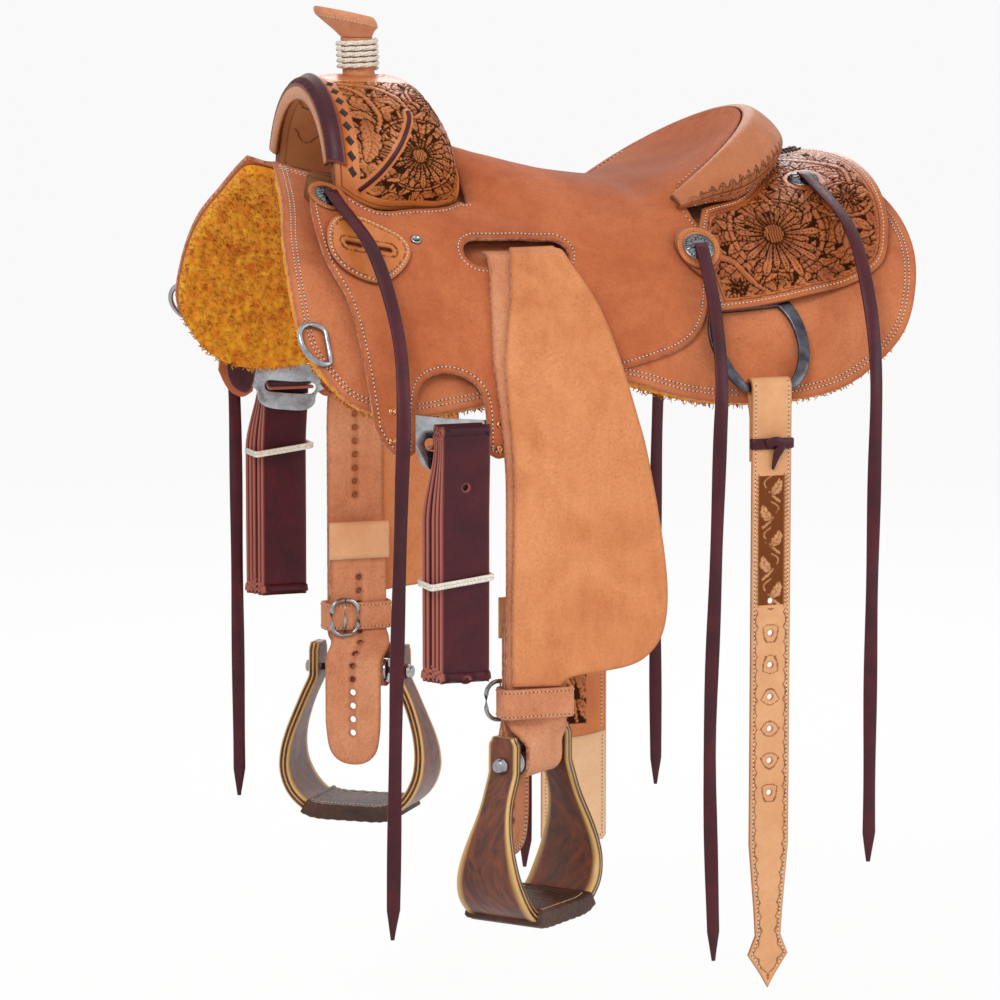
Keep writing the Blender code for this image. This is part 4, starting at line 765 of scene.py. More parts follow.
def panel(name, outline, shape, thick, mat, body, step=0.006, rim=0.003, holes=(), bevel=0.0011,
          relief=None, node=None, slot=None, under=0.014, flip=False):
    """A leather: dense on top, rounded at its edges, with relief(points, edge distance) -> height, dark."""
    loops = [resample(list(outline), rim)] + [resample(list(h), rim) for h in holes]
    verts, faces, dark, edge = [], [], [], []

    def ring(loop, index, amount):
        return inset(loop, amount if index == 0 else -amount)

    def sheet(w, spacing, top):
        rings = [ring(loop, i, bevel) for i, loop in enumerate(loops)]
        low = np.min(loops[0], axis=0)
        high = np.max(loops[0], axis=0)
        xs = np.arange(low[0] + spacing / 3, high[0], spacing)
        ys = np.arange(low[1] + spacing / 3, high[1], spacing * 0.87)
        gx, gy = np.meshgrid(xs, ys)
        gx[1::2] += spacing / 2
        grid = np.stack([gx.ravel(), gy.ravel()], 1)
        grid = grid[inside(grid, rings)]
        far = np.full(len(grid), 1e9)
        for r in rings:
            far = np.minimum(far, line_distance(grid, r)[0])
        grid = grid[far > spacing * 0.5]
        points = [Vector(p) for r in rings for p in r]
        links = []
        start = 0
        for r in rings:
            links += [(start + i, start + (i + 1) % len(r)) for i in range(len(r))]
            start += len(r)
        points += [Vector(p) for p in grid]
        vs, _, tris, origin, _, _ = delaunay_2d_cdt(points, links, [], 1, 1e-7)
        flat = np.array([tuple(v) for v in vs])
        mids = np.array([flat[list(t)].mean(0) for t in tris])
        keep = inside(mids, rings)
        where = {}
        for i, sources in enumerate(origin):
            for s in sources:
                where[s] = i
        depth = np.full(len(flat), 1e9)
        for loop in loops:
            depth = np.minimum(depth, line_distance(flat, loop)[0])
        height = np.zeros(len(flat))
        tone = np.zeros(len(flat))
        if top and relief:
            height, tone = relief(flat, depth)
        first = len(verts)
        for p, h in zip(flat, height):
            verts.append(shape(p[0], p[1], w + h / thick))
        dark.extend(tone)
        edge.extend(depth)
        for t, ok in zip(tris, keep):
            if ok:
                a, b, c = (first + i for i in t)
                faces.append((a, b, c) if top != flip else (c, b, a))
        out = []
        start = 0
        for r in rings:
            out.append([first + where[start + i] for i in range(len(r))])
            start += len(r)
        return out

    above = sheet(1.0, step, True)
    below = sheet(0.0, max(under, step), False)
    k = bevel / thick
    for i, loop in enumerate(loops):
        levels = [above[i]]
        for amount, w, e in ((0.35, 1.0 - 0.25 * k, 0.0), (0.0, 1.0 - 0.9 * k, -0.3), (0.0, 0.9 * k, -0.3),
                             (0.35, 0.25 * k, 0.0)):
            first = len(verts)
            for p in ring(loop, i, bevel * amount):
                verts.append(shape(p[0], p[1], w))
                dark.append(0.0)
                edge.append(e)
            levels.append(list(range(first, first + len(loop))))
        levels.append(below[i])
        n = len(loop)
        area = sum(a[0] * b[1] - b[0] * a[1] for a, b in zip(loop, loop[1:] + loop[:1]))
        turn = (area > 0) == (i == 0)
        if i > 0:
            turn = area < 0
        for upper, lower in zip(levels, levels[1:]):
            for j in range(n):
                q = (upper[j], lower[j], lower[(j + 1) % n], upper[(j + 1) % n])
                faces.append(q if turn != flip else q[::-1])
    obj = new_mesh(name, verts, faces, mat, body, True, {"dark": dark, "edge": edge})
    if node:
        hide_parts(*([node] if isinstance(node, str) else node))
    return obj


def lengths_of(points):
    out = [0.0]
    for a, b in zip(points, points[1:]):
        out.append(out[-1] + math.dist(a, b))
    return out


def pace(points, pitch, closed=False):
    """Places every pitch along a flat path, with the direction there."""
    points = list(points) + ([points[0]] if closed else [])
    run = lengths_of(points)
    count = max(1, int(run[-1] / pitch))
    out = []
    i = 0
    for k in range(count):
        v = (k + 0.5) * run[-1] / count
        while i < len(points) - 2 and run[i + 1] < v:
            i += 1
        t = (v - run[i]) / max(run[i + 1] - run[i], 1e-9)
        a, b = points[i], points[i + 1]
        size = max(math.dist(a, b), 1e-9)
        out.append(((mix(a[0], b[0], t), mix(a[1], b[1], t)), ((b[0] - a[0]) / size, (b[1] - a[1]) / size)))
    return out


STITCH_PITCH = 0.0042
STITCH_L = 0.0029
THREAD_R = 0.00062
HOLE_R = 0.00072


def stitched(name, rows, body, mat=None):
    """Thread seen as short raised stitches, with a dark disc of painted shade for the hole between them; rows are (flat
    path, shape, closed).
    """
    verts, faces = [], []
    spots, rings = [], []
    for path, shape, closed in rows:
        for (x, s), (dx, ds) in pace(path, STITCH_PITCH, closed):
            mid = shape(x, s, 1.0)
            up = (mid - shape(x, s, 0.0)).normalized()
            along = shape(x + dx * 0.001, s + ds * 0.001, 1.0) - mid
            along = (along - up * along.dot(up)).normalized()
            across = up.cross(along)
            gap = mid + along * STITCH_PITCH / 2
            spots += [p + up * 0.00008 for p in circle(gap, along, across, HOLE_R, 6)]
            rings.append(tuple(range(len(spots) - 6, len(spots))))
            first = len(verts)
            verts.append(mid - along * STITCH_L / 2 - up * THREAD_R * 0.3)
            for place in (-0.28, 0.28):
                verts += [p + up * THREAD_R * 0.35
                          for p in circle(mid + along * STITCH_L * place, across, up, THREAD_R, 5)]
            verts.append(mid + along * STITCH_L / 2 - up * THREAD_R * 0.3)
            for j in range(5):
                k = (j + 1) % 5
                faces.append((first, first + 1 + k, first + 1 + j))
                faces.append((first + 1 + j, first + 1 + k, first + 6 + k, first + 6 + j))
                faces.append((first + 6 + j, first + 6 + k, first + 11))
    obj = new_mesh(name, verts, faces, mat or WHITE_THREAD, body)
    pricks = new_mesh(name + "_holes", spots, rings, HOLE_SHADE_LOOK, body, False)


def seam(outline, depth, shape, seen):
    """Rows of stitches at a depth inside an outline, where seen(point) is true."""
    return [(run, shape, False) for run in split([p for p in inset(resample(outline, FINE), depth) if seen(p)])]


def circle(centre, across, up, radius, sides):
    return [centre + (across * math.cos(math.tau * j / sides) + up * math.sin(math.tau * j / sides)) * radius
            for j in range(sides)]


def tube_faces(base, n, count, closed=False, first=True, last=True):
    """Faces over count rings of n points, the first point at index base, with a cap at either end."""
    faces = []
    for i in range(count if closed else count - 1):
        a, b = base + i * n, base + (i + 1) % count * n
        faces += [(a + j, a + (j + 1) % n, b + (j + 1) % n, b + j) for j in range(n)]
    if first and not closed:
        faces.append(tuple(range(base, base + n))[::-1])
    if last and not closed:
        faces.append(tuple(range(base + (count - 1) * n, base + count * n)))
    return faces


def sweep(name, rings, mat, body, closed=False):
    """Skin over rings of points, each ring as long as the next."""
    verts = [p for ring in rings for p in ring]
    obj = new_mesh(name, verts, tube_faces(0, len(rings[0]), len(rings), closed), mat, body)
    return obj


def frames(points, up=Vector((0.0, 0.0, 1.0))):
    """Direction, across and up at each point of a path in space."""
    out = []
    for i in range(len(points)):
        d = (points[min(i + 1, len(points) - 1)] - points[max(i - 1, 0)]).normalized()
        across = d.cross(up)
        if across.length < 1e-4:
            across = d.cross(Vector((1.0, 0.0, 0.0)))
        across.normalize()
        out.append((d, across, across.cross(d)))
    return out


def rope(name, points, radius, mat, body, sides=8, closed=False):
    points = [Vector(p) for p in points]
    rings = []
    count = len(points)
    for i, (p, (d, across, up)) in enumerate(zip(points, frames(points))):
        if closed:
            d = (points[(i + 1) % count] - points[i - 1]).normalized()
            across = d.cross(Vector((0.0, 0.0, 1.0))).normalized()
            up = across.cross(d)
        rings.append(circle(p, across, up, radius, sides))
    return sweep(name, rings, mat, body, closed)


# Carving: each motif gives, for flat points, how far inside it they are, its relief and its tone

CUT = 0.00072               # half width of a knife cut
CUT_DEPTH = 0.0009
CUT_TONE = 0.95
GROUND_DEPTH = 0.0010       # of the background that is beaten down round the leaves
GROUND_TONE = 0.96


class Carving:
    def __init__(self, points, ground):
        self.p = points
        self.ground = ground
        self.height = -GROUND_DEPTH * ground
        self.tone = GROUND_TONE * ground

    def near(self, path, reach):
        low = np.min(path, axis=0) - reach
        high = np.max(path, axis=0) + reach
        hit = (self.p[:, 0] > low[0]) & (self.p[:, 0] < high[0]) & (self.p[:, 1] > low[1]) & (self.p[:, 1] < high[1])
        return np.nonzero(hit & (self.ground > 0.5))[0]

    def lay(self, at, s, relief, tone):
        on = s > 0
        self.height[at] = np.where(on, relief, self.height[at])
        self.tone[at] = np.where(on, tone, self.tone[at])
        cut = np.abs(s) < CUT
        self.height[at] = np.where(cut, -CUT_DEPTH, self.height[at])
        self.tone[at] = np.where(cut, CUT_TONE, self.tone[at])

    def petals(self, centre, radius, turn, count, toward=None):
        at = self.near([centre], radius * 1.05)
        d = self.p[at] - np.array(centre)
        r = np.hypot(d[:, 0], d[:, 1])
        step = math.tau / count
        angle = np.arctan2(d[:, 1], d[:, 0]) - turn
        k = np.round(angle / step)
        off = angle - k * step
        length = radius * (0.84 + 0.16 * np.cos(k * 2.4))
        if toward is not None:
            length = length * (0.79 + 0.21 * np.cos(k * step + turn - toward))
        wide = np.minimum(r * math.sin(step / 2) * 0.90, radius * 0.085)
        round_end = np.sqrt(np.clip((length - r) / (0.16 * radius), 0.0, 1.0))
        across = np.abs(r * np.sin(off))
        s = np.minimum(wide * round_end - across, r - radius * 0.19)
        dots = (across < 0.0008) & (np.mod(r, 0.0034) < 0.0018) & (r > radius * 0.32)
        dome = 0.0006 * np.clip((wide - across) / 0.002, 0.0, 1.0) - 0.0002
        shade = 0.06 + 0.55 * np.clip(1.0 - (r - 0.19 * radius) / (0.30 * radius), 0.0, 1.0)
        self.lay(at, s, np.where(dots, -0.0005, dome), np.where(dots, 0.80, shade))
        seeds = np.sin(d[:, 0] * 2300) * np.sin(d[:, 1] * 2300) > 0.0
        self.lay(at, radius * 0.19 - r, np.where(seeds, 0.0007, -0.0003), np.where(seeds, 0.12, 0.85))

    def leaf(self, path, width, lobes=4):
        path = spline_points(path, 4)
        at = self.near(path, width * 1.1)
        if len(at) == 0:
            return
        d, t, side = line_distance(self.p[at], path, False)
        half = width * np.sin(np.pi * np.clip(t, 0.0, 1.0) ** 0.8) ** 0.7
        half = half * (0.78 + 0.22 * np.abs(np.cos(lobes * np.pi * t + 0.7 * side)))
        s = np.where((t > 0.001) & (t < 0.999), half - d, -d)
        veins = (np.mod(t * lobes * 1.7 - 1.6 * d / width + 0.1, 1.0) < 0.15) & (d < half * 0.8)
        low = veins | (d < 0.00045)
        bowl = 0.0004 - 0.0006 * np.clip(1.0 - d / np.maximum(half * 0.7, 1e-6), 0.0, 1.0)
        self.lay(at, s, np.where(low, -0.0005, bowl), np.where(low, 0.62, 0.05 + 0.50 * (1.0 - t) ** 2.5))

    def stem(self, path, width, taper=0.4):
        path = spline_points(path, 4)
        at = self.near(path, width * 1.2)
        d, t, _ = line_distance(self.p[at], path, False)
        half = width * (1.0 - taper * t)
        line = np.abs(d - half * 0.45) < 0.00035
        self.lay(at, half - d, np.where(line, -0.0003, 0.0003), np.where(line, 0.55, 0.06))


def foliage(c, low, high, flowers, seed, size=0.016, gap=0.42, tries=2600):
    """Fills the field with curled leaves that turn round the flowers."""
    pick = np.random.default_rng(seed)
    spots = []
    for _ in range(tries):
        x = float(pick.uniform(low[0], high[0]))
        y = float(pick.uniform(low[1], high[1]))
        if any(math.hypot(x - a, y - b) < r * 0.80 for (a, b), r in flowers):
            continue
        if any(math.hypot(x - a, y - b) < size * gap for a, b in spots):
            continue
        spots.append((x, y))
    for i, (x, y) in enumerate(spots):
        (cx, cy), r = min(flowers, key=lambda f: math.hypot(x - f[0][0], y - f[0][1]) - f[1])
        swirl = math.atan2(y - cy, x - cx) + 1.05 + 0.9 * math.sin(x * 70.0 + 2.0 * math.sin(y * 55.0))
        bend = 1.0 if i % 2 else -1.0
        length = size * float(pick.uniform(0.85, 1.25))
        base = (x - math.cos(swirl) * length * 0.5, y - math.sin(swirl) * length * 0.5)
        mid = (x + math.cos(swirl + 1.57) * length * 0.14 * bend, y + math.sin(swirl + 1.57) * length * 0.14 * bend)
        tip = (base[0] + math.cos(swirl - 0.5 * bend) * length, base[1] + math.sin(swirl - 0.5 * bend) * length)
        c.leaf((base, mid, tip), size * float(pick.uniform(0.20, 0.28)), 3)


def around(centre, radius, start, end, count=9):
    """Points on an arc, angles in degrees, the radius from one value to another."""
    r0, r1 = radius if isinstance(radius, tuple) else (radius, radius)
    out = []
    for i in range(count):
        t = i / (count - 1)
        a = math.radians(mix(start, end, t))
        r = mix(r0, r1, t)
        out.append((centre[0] + r * math.cos(a), centre[1] + r * math.sin(a)))
    return out


# Materials

def rgb(r, g, b):
    """A screen colour, 0 to 255 in each channel, as linear values."""
    return tuple(c / 3294.6 if c < 11 else ((c / 255 + 0.055) / 1.055) ** 2.4 for c in (r, g, b)) + (1.0,)


class Look:
    """A node material, built up layer by layer."""

    def __init__(self, name, roughness=0.6, metallic=0.0, coat=0.0, sheen=0.0, specular=0.5):
        self.mat = bpy.data.materials.new(name)
        self.mat.use_nodes = True
        self.tree = self.mat.node_tree
        self.shader = self.tree.nodes["Principled BSDF"]
        for key, value in (("Roughness", roughness), ("Metallic", metallic), ("Coat Weight", coat),
                           ("Coat Roughness", 0.25), ("Sheen Weight", sheen), ("Sheen Roughness", 0.5),
                           ("Specular IOR Level", specular)):
            self.shader.inputs[key].default_value = value
        self.place = self.tree.nodes.new("ShaderNodeTexCoord").outputs["Object"]

    def join(self, value, socket):
        if isinstance(value, bpy.types.NodeSocket):
            self.tree.links.new(value, socket)
        else:
            socket.default_value = value

    def add(self, kind, values):
        node = self.tree.nodes.new("ShaderNode" + kind)
        for key, value in values.items():
            self.join(value, node.inputs[key])
        return node

    def noise(self, scale, detail=3.0, rough=0.55, stretch=None, warp=0.0):
        place = self.place
        if stretch:
            place = self.add("Mapping", {"Scale": stretch, "Vector": place}).outputs["Vector"]
        return self.add("TexNoise", {"Scale": scale, "Detail": detail, "Roughness": rough, "Distortion": warp,
                                     "Vector": place}).outputs["Fac"]

    def cells(self, scale):
        return self.add("TexVoronoi", {"Scale": scale, "Vector": self.place}).outputs["Distance"]

    def attribute(self, name):
        node = self.tree.nodes.new("ShaderNodeAttribute")
        node.attribute_name = name
        return node.outputs["Fac"]

    def spread(self, value, low, high, out_low=0.0, out_high=1.0):
        return self.add("MapRange", {"From Min": low, "From Max": high, "To Min": out_low, "To Max": out_high,
                                     "Value": value}).outputs["Result"]

    def blend(self, factor, a, b, kind="MIX"):
        node = self.tree.nodes.new("ShaderNodeMix")
        node.data_type = "RGBA"
        node.blend_type = kind
        node.clamp_factor = True
        self.join(factor, node.inputs[0])
        self.join(a, node.inputs[6])
        self.join(b, node.inputs[7])
        return node.outputs[2]

    def total(self, a, b, kind="ADD"):
        node = self.add("Math", {0: a, 1: b})
        node.operation = kind
        return node.outputs[0]

    def colour(self, value):
        self.join(value, self.shader.inputs["Base Color"])

    def rough(self, value):
        self.join(value, self.shader.inputs["Roughness"])

    def bump(self, height, distance, strength=0.6):
        node = self.add("Bump", {"Distance": distance, "Strength": strength, "Height": height})
        self.join(node.outputs["Normal"], self.shader.inputs["Normal"])
        return self.mat


def suede(name, light, dark, edge, shadow=None):
    """Roughout leather: a brushed nap with finger marks, darker where it is cut."""
    k = Look(name, 0.92, sheen=0.10, specular=0.15)
    hand = k.spread(k.noise(11.0, 4.0, 0.6, warp=0.6), 0.32, 0.70)
    nap = k.spread(k.noise(300.0, 5.0, 0.75), 0.32, 0.70)
    specks = k.spread(k.noise(480.0, 2.0, 0.6), 0.58, 0.70)
    strokes = k.spread(k.noise(70.0, 3.0, 0.6, (1.0, 1.0, 0.28)), 0.35, 0.68)
    tone = k.blend(hand, dark, light)
    tone = k.blend(k.spread(nap, 0.0, 1.0, 0.0, 0.40), tone, edge, "MIX")
    tone = k.blend(k.total(specks, 0.45, "MULTIPLY"), tone, edge)
    tone = k.blend(k.spread(strokes, 0.0, 1.0, 0.0, 0.30), tone, light, "MIX")
    # Painted shade, in the shadow colour, where the 'dark' attribute is high
    if shadow:
        tone = k.blend(k.attribute("dark"), tone, shadow)
    rim = k.spread(k.attribute("edge"), 0.0, 0.0035, 0.45, 0.0)
    tone = k.blend(rim, tone, edge)
    cut = k.spread(k.attribute("edge"), -0.15, -0.05, 1.0, 0.0)
    side_tone = k.blend(k.spread(k.noise(240.0, 3.0), 0.35, 0.65), edge, rgb(226, 172, 142))
    tone = k.blend(k.total(cut, 0.75, "MULTIPLY"), tone, side_tone)
    k.colour(tone)
    k.rough(k.spread(nap, 0.0, 1.0, 0.80, 1.0))
    return k.bump(k.total(k.total(nap, 0.6, "MULTIPLY"), k.total(strokes, 0.4, "MULTIPLY")), 0.0005, 0.55)


def leather(name, light, dark, recess, edge, gloss=0.42, coat=0.12, marks=0.25, specular=0.4):
    """Grain leather: pores, stain, burnished edges, and a dark stain in what is carved away."""
    k = Look(name, gloss, coat=coat, specular=specular)
    stain = k.spread(k.noise(17.0, 5.0, 0.62, warp=0.4), 0.30, 0.70)
    pores = k.cells(620.0)
    grain = k.noise(230.0, 5.0, 0.68)
    tone = k.blend(stain, dark, light)
    tone = k.blend(k.spread(grain, 0.45, 0.75, 0.0, 0.45), tone, dark)
    scuff = k.spread(k.noise(46.0, 6.0, 0.75, (1.0, 3.5, 1.0)), 0.60, 0.74, 0.0, marks)
    tone = k.blend(scuff, tone, light)
    tone = k.blend(k.attribute("dark"), tone, recess)
    tone = k.blend(k.spread(k.attribute("edge"), 0.0, 0.0022, 0.50, 0.0), tone, edge)
    tone = k.blend(k.spread(k.attribute("edge"), -0.15, -0.05, 0.85, 0.0), tone, edge)
    k.colour(tone)
    k.join(k.spread(k.attribute("dark"), 0.1, 0.8, specular, 0.02), k.shader.inputs["Specular IOR Level"])
    k.join(k.spread(k.attribute("dark"), 0.1, 0.8, coat, 0.0), k.shader.inputs["Coat Weight"])
    k.rough(k.total(k.spread(grain, 0.3, 0.7, gloss - 0.10, gloss + 0.14),
                    k.spread(k.attribute("dark"), 0.0, 1.0, 0.0, 0.22)))
    return k.bump(k.total(k.total(pores, 0.5, "MULTIPLY"), k.total(grain, 0.8, "MULTIPLY")), 0.00035, 0.5)


def metal(name, light, dark, roughness, tarnish=0.0):
    k = Look(name, roughness, 1.0)
    cloud = k.spread(k.noise(60.0, 4.0, 0.6), 0.3, 0.7)
    scratch = k.noise(900.0, 2.0, 0.5, (0.08, 1.0, 1.0))
    tone = k.blend(cloud, dark, light)
    tone = k.blend(k.attribute("dark"), tone, rgb(14, 13, 14))
    k.colour(tone)
    k.rough(k.total(k.spread(scratch, 0.3, 0.7, roughness * 0.7, roughness * 1.35),
                    k.spread(cloud, 0.0, 1.0, 0.0, tarnish)))
    return k.bump(scratch, 0.00008, 0.35)


def wool():
    k = Look("fleece", 1.0, sheen=0.12, specular=0.05)
    clump = k.spread(k.noise(55.0, 4.0, 0.65, warp=1.2), 0.30, 0.68)
    fibre = k.noise(700.0, 4.0, 0.7)
    tone = k.blend(clump, rgb(226, 104, 4), rgb(255, 190, 44))
    # Painted shade: deeper orange where the 'dark' attribute marks the hollows between clumps and the roots of the
    # locks
    tone = k.blend(k.attribute("dark"), tone, rgb(176, 78, 6))
    tone = k.blend(k.spread(fibre, 0.40, 0.75, 0.0, 0.4), tone, rgb(255, 196, 96))
    k.colour(tone)
    return k.bump(k.total(clump, fibre), 0.0012, 0.8)


def timber(name, light, dark, gloss, coat):
    k = Look(name, gloss, coat=coat)
    rings = k.noise(26.0, 5.0, 0.6, (0.25, 3.0, 1.0), 1.4)
    pores = k.noise(420.0, 3.0, 0.6, (0.12, 1.0, 0.25))
    tone = k.blend(k.spread(rings, 0.32, 0.68), dark, light)
    tone = k.blend(k.spread(pores, 0.55, 0.75, 0.0, 0.6), tone, dark)
    tone = k.blend(k.attribute("dark"), tone, rgb(222, 178, 104))
    k.colour(tone)
    k.rough(k.spread(pores, 0.3, 0.8, gloss, gloss + 0.18))
    return k.bump(pores, 0.0002, 0.3)


def thread(name, light, dark, gloss=0.7):
    k = Look(name, gloss, sheen=0.1)
    twist = k.noise(900.0, 2.0, 0.5, (1.0, 1.0, 0.4))
    k.colour(k.blend(k.spread(twist, 0.35, 0.65), dark, light))
    k.rough(k.spread(twist, 0.3, 0.7, gloss - 0.12, gloss + 0.15))
    return k.bump(twist, 0.0003, 0.6)


ROUGHOUT = suede("roughout_look", rgb(220, 136, 92), rgb(190, 104, 64), rgb(148, 78, 46))
# The seat's fourth colour is painted shade, for the inside of the dish and the seam groove
SEAT_LOOK = suede("seat_look", rgb(210, 122, 78), rgb(180, 92, 54), rgb(146, 74, 44), rgb(138, 74, 50))
FENDER_LOOK = suede("fender_look", rgb(236, 160, 108), rgb(208, 126, 78), rgb(158, 92, 56))
TOOLED = leather("tooled_look", rgb(222, 138, 72), rgb(188, 100, 46), rgb(30, 14, 8), rgb(130, 66, 34), 0.34, 0.22)
JOCKEY_LOOK = leather("jockey_look", rgb(204, 112, 46), rgb(158, 74, 28), rgb(30, 13, 8), rgb(120, 60, 34), 0.32, 0.25)
BURGUNDY = leather("burgundy_look", rgb(84, 20, 32), rgb(52, 10, 20), rgb(20, 4, 8), rgb(176, 98, 82),
                   0.40, 0.06, 0.08, 0.28)
BILLET_LOOK = leather("billet_look", rgb(232, 174, 124), rgb(212, 148, 100), rgb(110, 56, 26), rgb(172, 104, 62), 0.46)
CINCH_LOOK = leather("cinch_look", rgb(244, 202, 160), rgb(226, 176, 130), rgb(130, 74, 40), rgb(186, 120, 76), 0.5)
STRAP_LOOK = suede("strap_look", rgb(232, 164, 124), rgb(204, 128, 88), rgb(138, 74, 46))
TREAD_LOOK = leather("tread_look", rgb(84, 48, 32), rgb(44, 24, 16), rgb(18, 10, 8), rgb(150, 92, 50), 0.55, 0.05, 0.5)
LINING_LOOK = leather("lining_look", rgb(206, 140, 94), rgb(184, 116, 72), rgb(92, 46, 24), rgb(128, 70, 40))
FLEECE_LOOK = wool()
TREE_LOOK = timber("tree_look", rgb(150, 98, 58), rgb(104, 62, 34), 0.5, 0.1)
WALNUT = timber("walnut_look", rgb(128, 62, 32), rgb(60, 26, 14), 0.34, 0.12)
BRIGHT = metal("bright_steel_look", rgb(186, 187, 190), rgb(128, 129, 134), 0.20)
DARK_STEEL = metal("dark_steel_look", rgb(104, 104, 112), rgb(54, 52, 60), 0.22, 0.1)
SILVER = metal("engraved_look", rgb(150, 150, 152), rgb(84, 84, 88), 0.26)
COPPER = metal("copper_look", rgb(226, 158, 104), rgb(176, 104, 62), 0.22, 0.06)
WHITE_THREAD = thread("white_thread_look", rgb(240, 234, 220), rgb(200, 190, 170))
PALE_THREAD = thread("pale_thread_look", rgb(232, 200, 168), rgb(196, 156, 122))
DARK_THREAD = thread("dark_thread_look", rgb(60, 38, 28), rgb(28, 18, 14))
ROPE_LOOK = thread("rope_look", rgb(246, 242, 232), rgb(206, 198, 182), 0.8)
# A darker copy of the tan leather: part of its darkening is painted shade for the roll's shaded side
CANTLE_SHADED_LOOK = leather("cantle_shaded_look", rgb(200, 124, 78), rgb(170, 96, 56), rgb(72, 34, 18), rgb(124, 66, 36), 0.5, 0.08)
KEEPER_LOOK = leather("keeper_look", rgb(232, 178, 132), rgb(214, 152, 104), rgb(110, 60, 30), rgb(160, 100, 62), 0.42)
# Painted shade: the dark colour of the flat discs that stand for the stitch holes
HOLE_SHADE_LOOK = thread("hole_shade_look", rgb(58, 30, 20), rgb(34, 18, 12), 0.9)


# Light, camera and floor

VIEW_TURN = math.radians(20.0)
VIEW_UP = math.radians(8.1)
VIEW_FAR = 5.2
VIEW_MIDDLE = Vector((0.0, 0.0, -0.25))
FOCAL_MM = 177.84
SENSOR_MM = 36.0
LAMP_AIM = Vector((0.0, 0.0, -0.2))


WORLD_LIGHT = 0.62
FLOOR_Z = -0.90
FLOOR_HALF = 30.0
FLOOR_GLOW = 0.86           # how much of the floor's white doesn't depend on the lamps
LAMPS = (
    ("key", (-2.2, -2.6, 2.4), (1.6, 1.6), 62.0),
    ("fill", (2.6, -2.4, 1.0), (2.2, 2.2), 26.0),
    ("rim", (1.2, 2.8, 2.2), (2.0, 2.0), 40.0),
)


def make_stage():
    back = Vector((-math.sin(VIEW_TURN) * math.cos(VIEW_UP), -math.cos(VIEW_TURN) * math.cos(VIEW_UP),
                   math.sin(VIEW_UP)))
    right = Vector((math.cos(VIEW_TURN), -math.sin(VIEW_TURN), 0.0))
    up = back.cross(right)
    data = bpy.data.cameras.new("view")
    data.lens = FOCAL_MM
    data.sensor_width = SENSOR_MM
    data.clip_end = 100.0
    camera = bpy.data.objects.new("view", data)
    bpy.context.scene.collection.objects.link(camera)
    turn = Matrix((right, up, back)).transposed().to_4x4()
    camera.matrix_world = Matrix.Translation(back * VIEW_FAR + VIEW_MIDDLE) @ turn
    bpy.context.scene.camera = camera
    bpy.context.scene.view_settings.view_transform = "Standard"

    world = bpy.data.worlds.new("studio")
    bpy.context.scene.world = world
    world.use_nodes = True
    tree = world.node_tree
    tree.nodes.clear()
    out = tree.nodes.new("ShaderNodeOutputWorld")
    seen = tree.nodes.new("ShaderNodeBackground")
    seen.inputs["Color"].default_value = (1.0, 1.0, 1.0, 1.0)
    seen.inputs["Strength"].default_value = 1.0
    lit = tree.nodes.new("ShaderNodeBackground")
    lit.inputs["Color"].default_value = (1.0, 0.99, 0.97, 1.0)
    lit.inputs["Strength"].default_value = WORLD_LIGHT
    rays = tree.nodes.new("ShaderNodeLightPath")
    one = tree.nodes.new("ShaderNodeMath")
    one.operation = "ADD"
    one.use_clamp = True
    two = tree.nodes.new("ShaderNodeMath")
    two.operation = "ADD"
    two.use_clamp = True
    tree.links.new(rays.outputs["Is Camera Ray"], one.inputs[0])
    tree.links.new(rays.outputs["Is Glossy Ray"], one.inputs[1])
    tree.links.new(one.outputs[0], two.inputs[0])
    tree.links.new(rays.outputs["Is Transmission Ray"], two.inputs[1])
    pick = tree.nodes.new("ShaderNodeMixShader")
    tree.links.new(two.outputs[0], pick.inputs[0])
    tree.links.new(lit.outputs[0], pick.inputs[1])
    tree.links.new(seen.outputs[0], pick.inputs[2])
    tree.links.new(pick.outputs[0], out.inputs["Surface"])

    for name, place, size, power in LAMPS:
        lamp = bpy.data.lights.new(name, "AREA")
        lamp.shape = "RECTANGLE"
        lamp.size, lamp.size_y = size
        lamp.energy = power
        obj = bpy.data.objects.new(name, lamp)
        obj.location = place
        obj.rotation_euler = (Vector(place) - LAMP_AIM).to_track_quat("Z", "Y").to_euler()
        bpy.context.scene.collection.objects.link(obj)

    floor = Look("floor_look", 0.9)
    floor.colour(floor.blend(floor.noise(3.0), rgb(250, 250, 250), rgb(252, 252, 252)))
    tree = floor.tree
    rays = tree.nodes.new("ShaderNodeLightPath")
    seen = floor.total(floor.total(rays.outputs["Is Camera Ray"], rays.outputs["Is Glossy Ray"]),
                       rays.outputs["Is Transmission Ray"])
    glow = tree.nodes.new("ShaderNodeEmission")
    glow.inputs["Color"].default_value = (1.0, 1.0, 1.0, 1.0)
    glow.inputs["Strength"].default_value = 1.0
    pick = tree.nodes.new("ShaderNodeMixShader")
    tree.links.new(floor.total(seen, FLOOR_GLOW, "MULTIPLY"), pick.inputs[0])
    tree.links.new(floor.shader.outputs[0], pick.inputs[1])
    tree.links.new(glow.outputs[0], pick.inputs[2])
    tree.links.new(pick.outputs[0], tree.nodes["Material Output"].inputs["Surface"])
    verts = [(x * FLOOR_HALF, y * FLOOR_HALF, FLOOR_Z) for x, y in ((-1, -1), (1, -1), (1, 1), (-1, 1))]
    mesh = bpy.data.meshes.new("floor")
    mesh.from_pydata(verts, [], [(0, 1, 2, 3)])
    mesh.materials.append(floor.mat)
    obj = bpy.data.objects.new("floor", mesh)
    bpy.context.scene.collection.objects.link(obj)


# Saddle strings

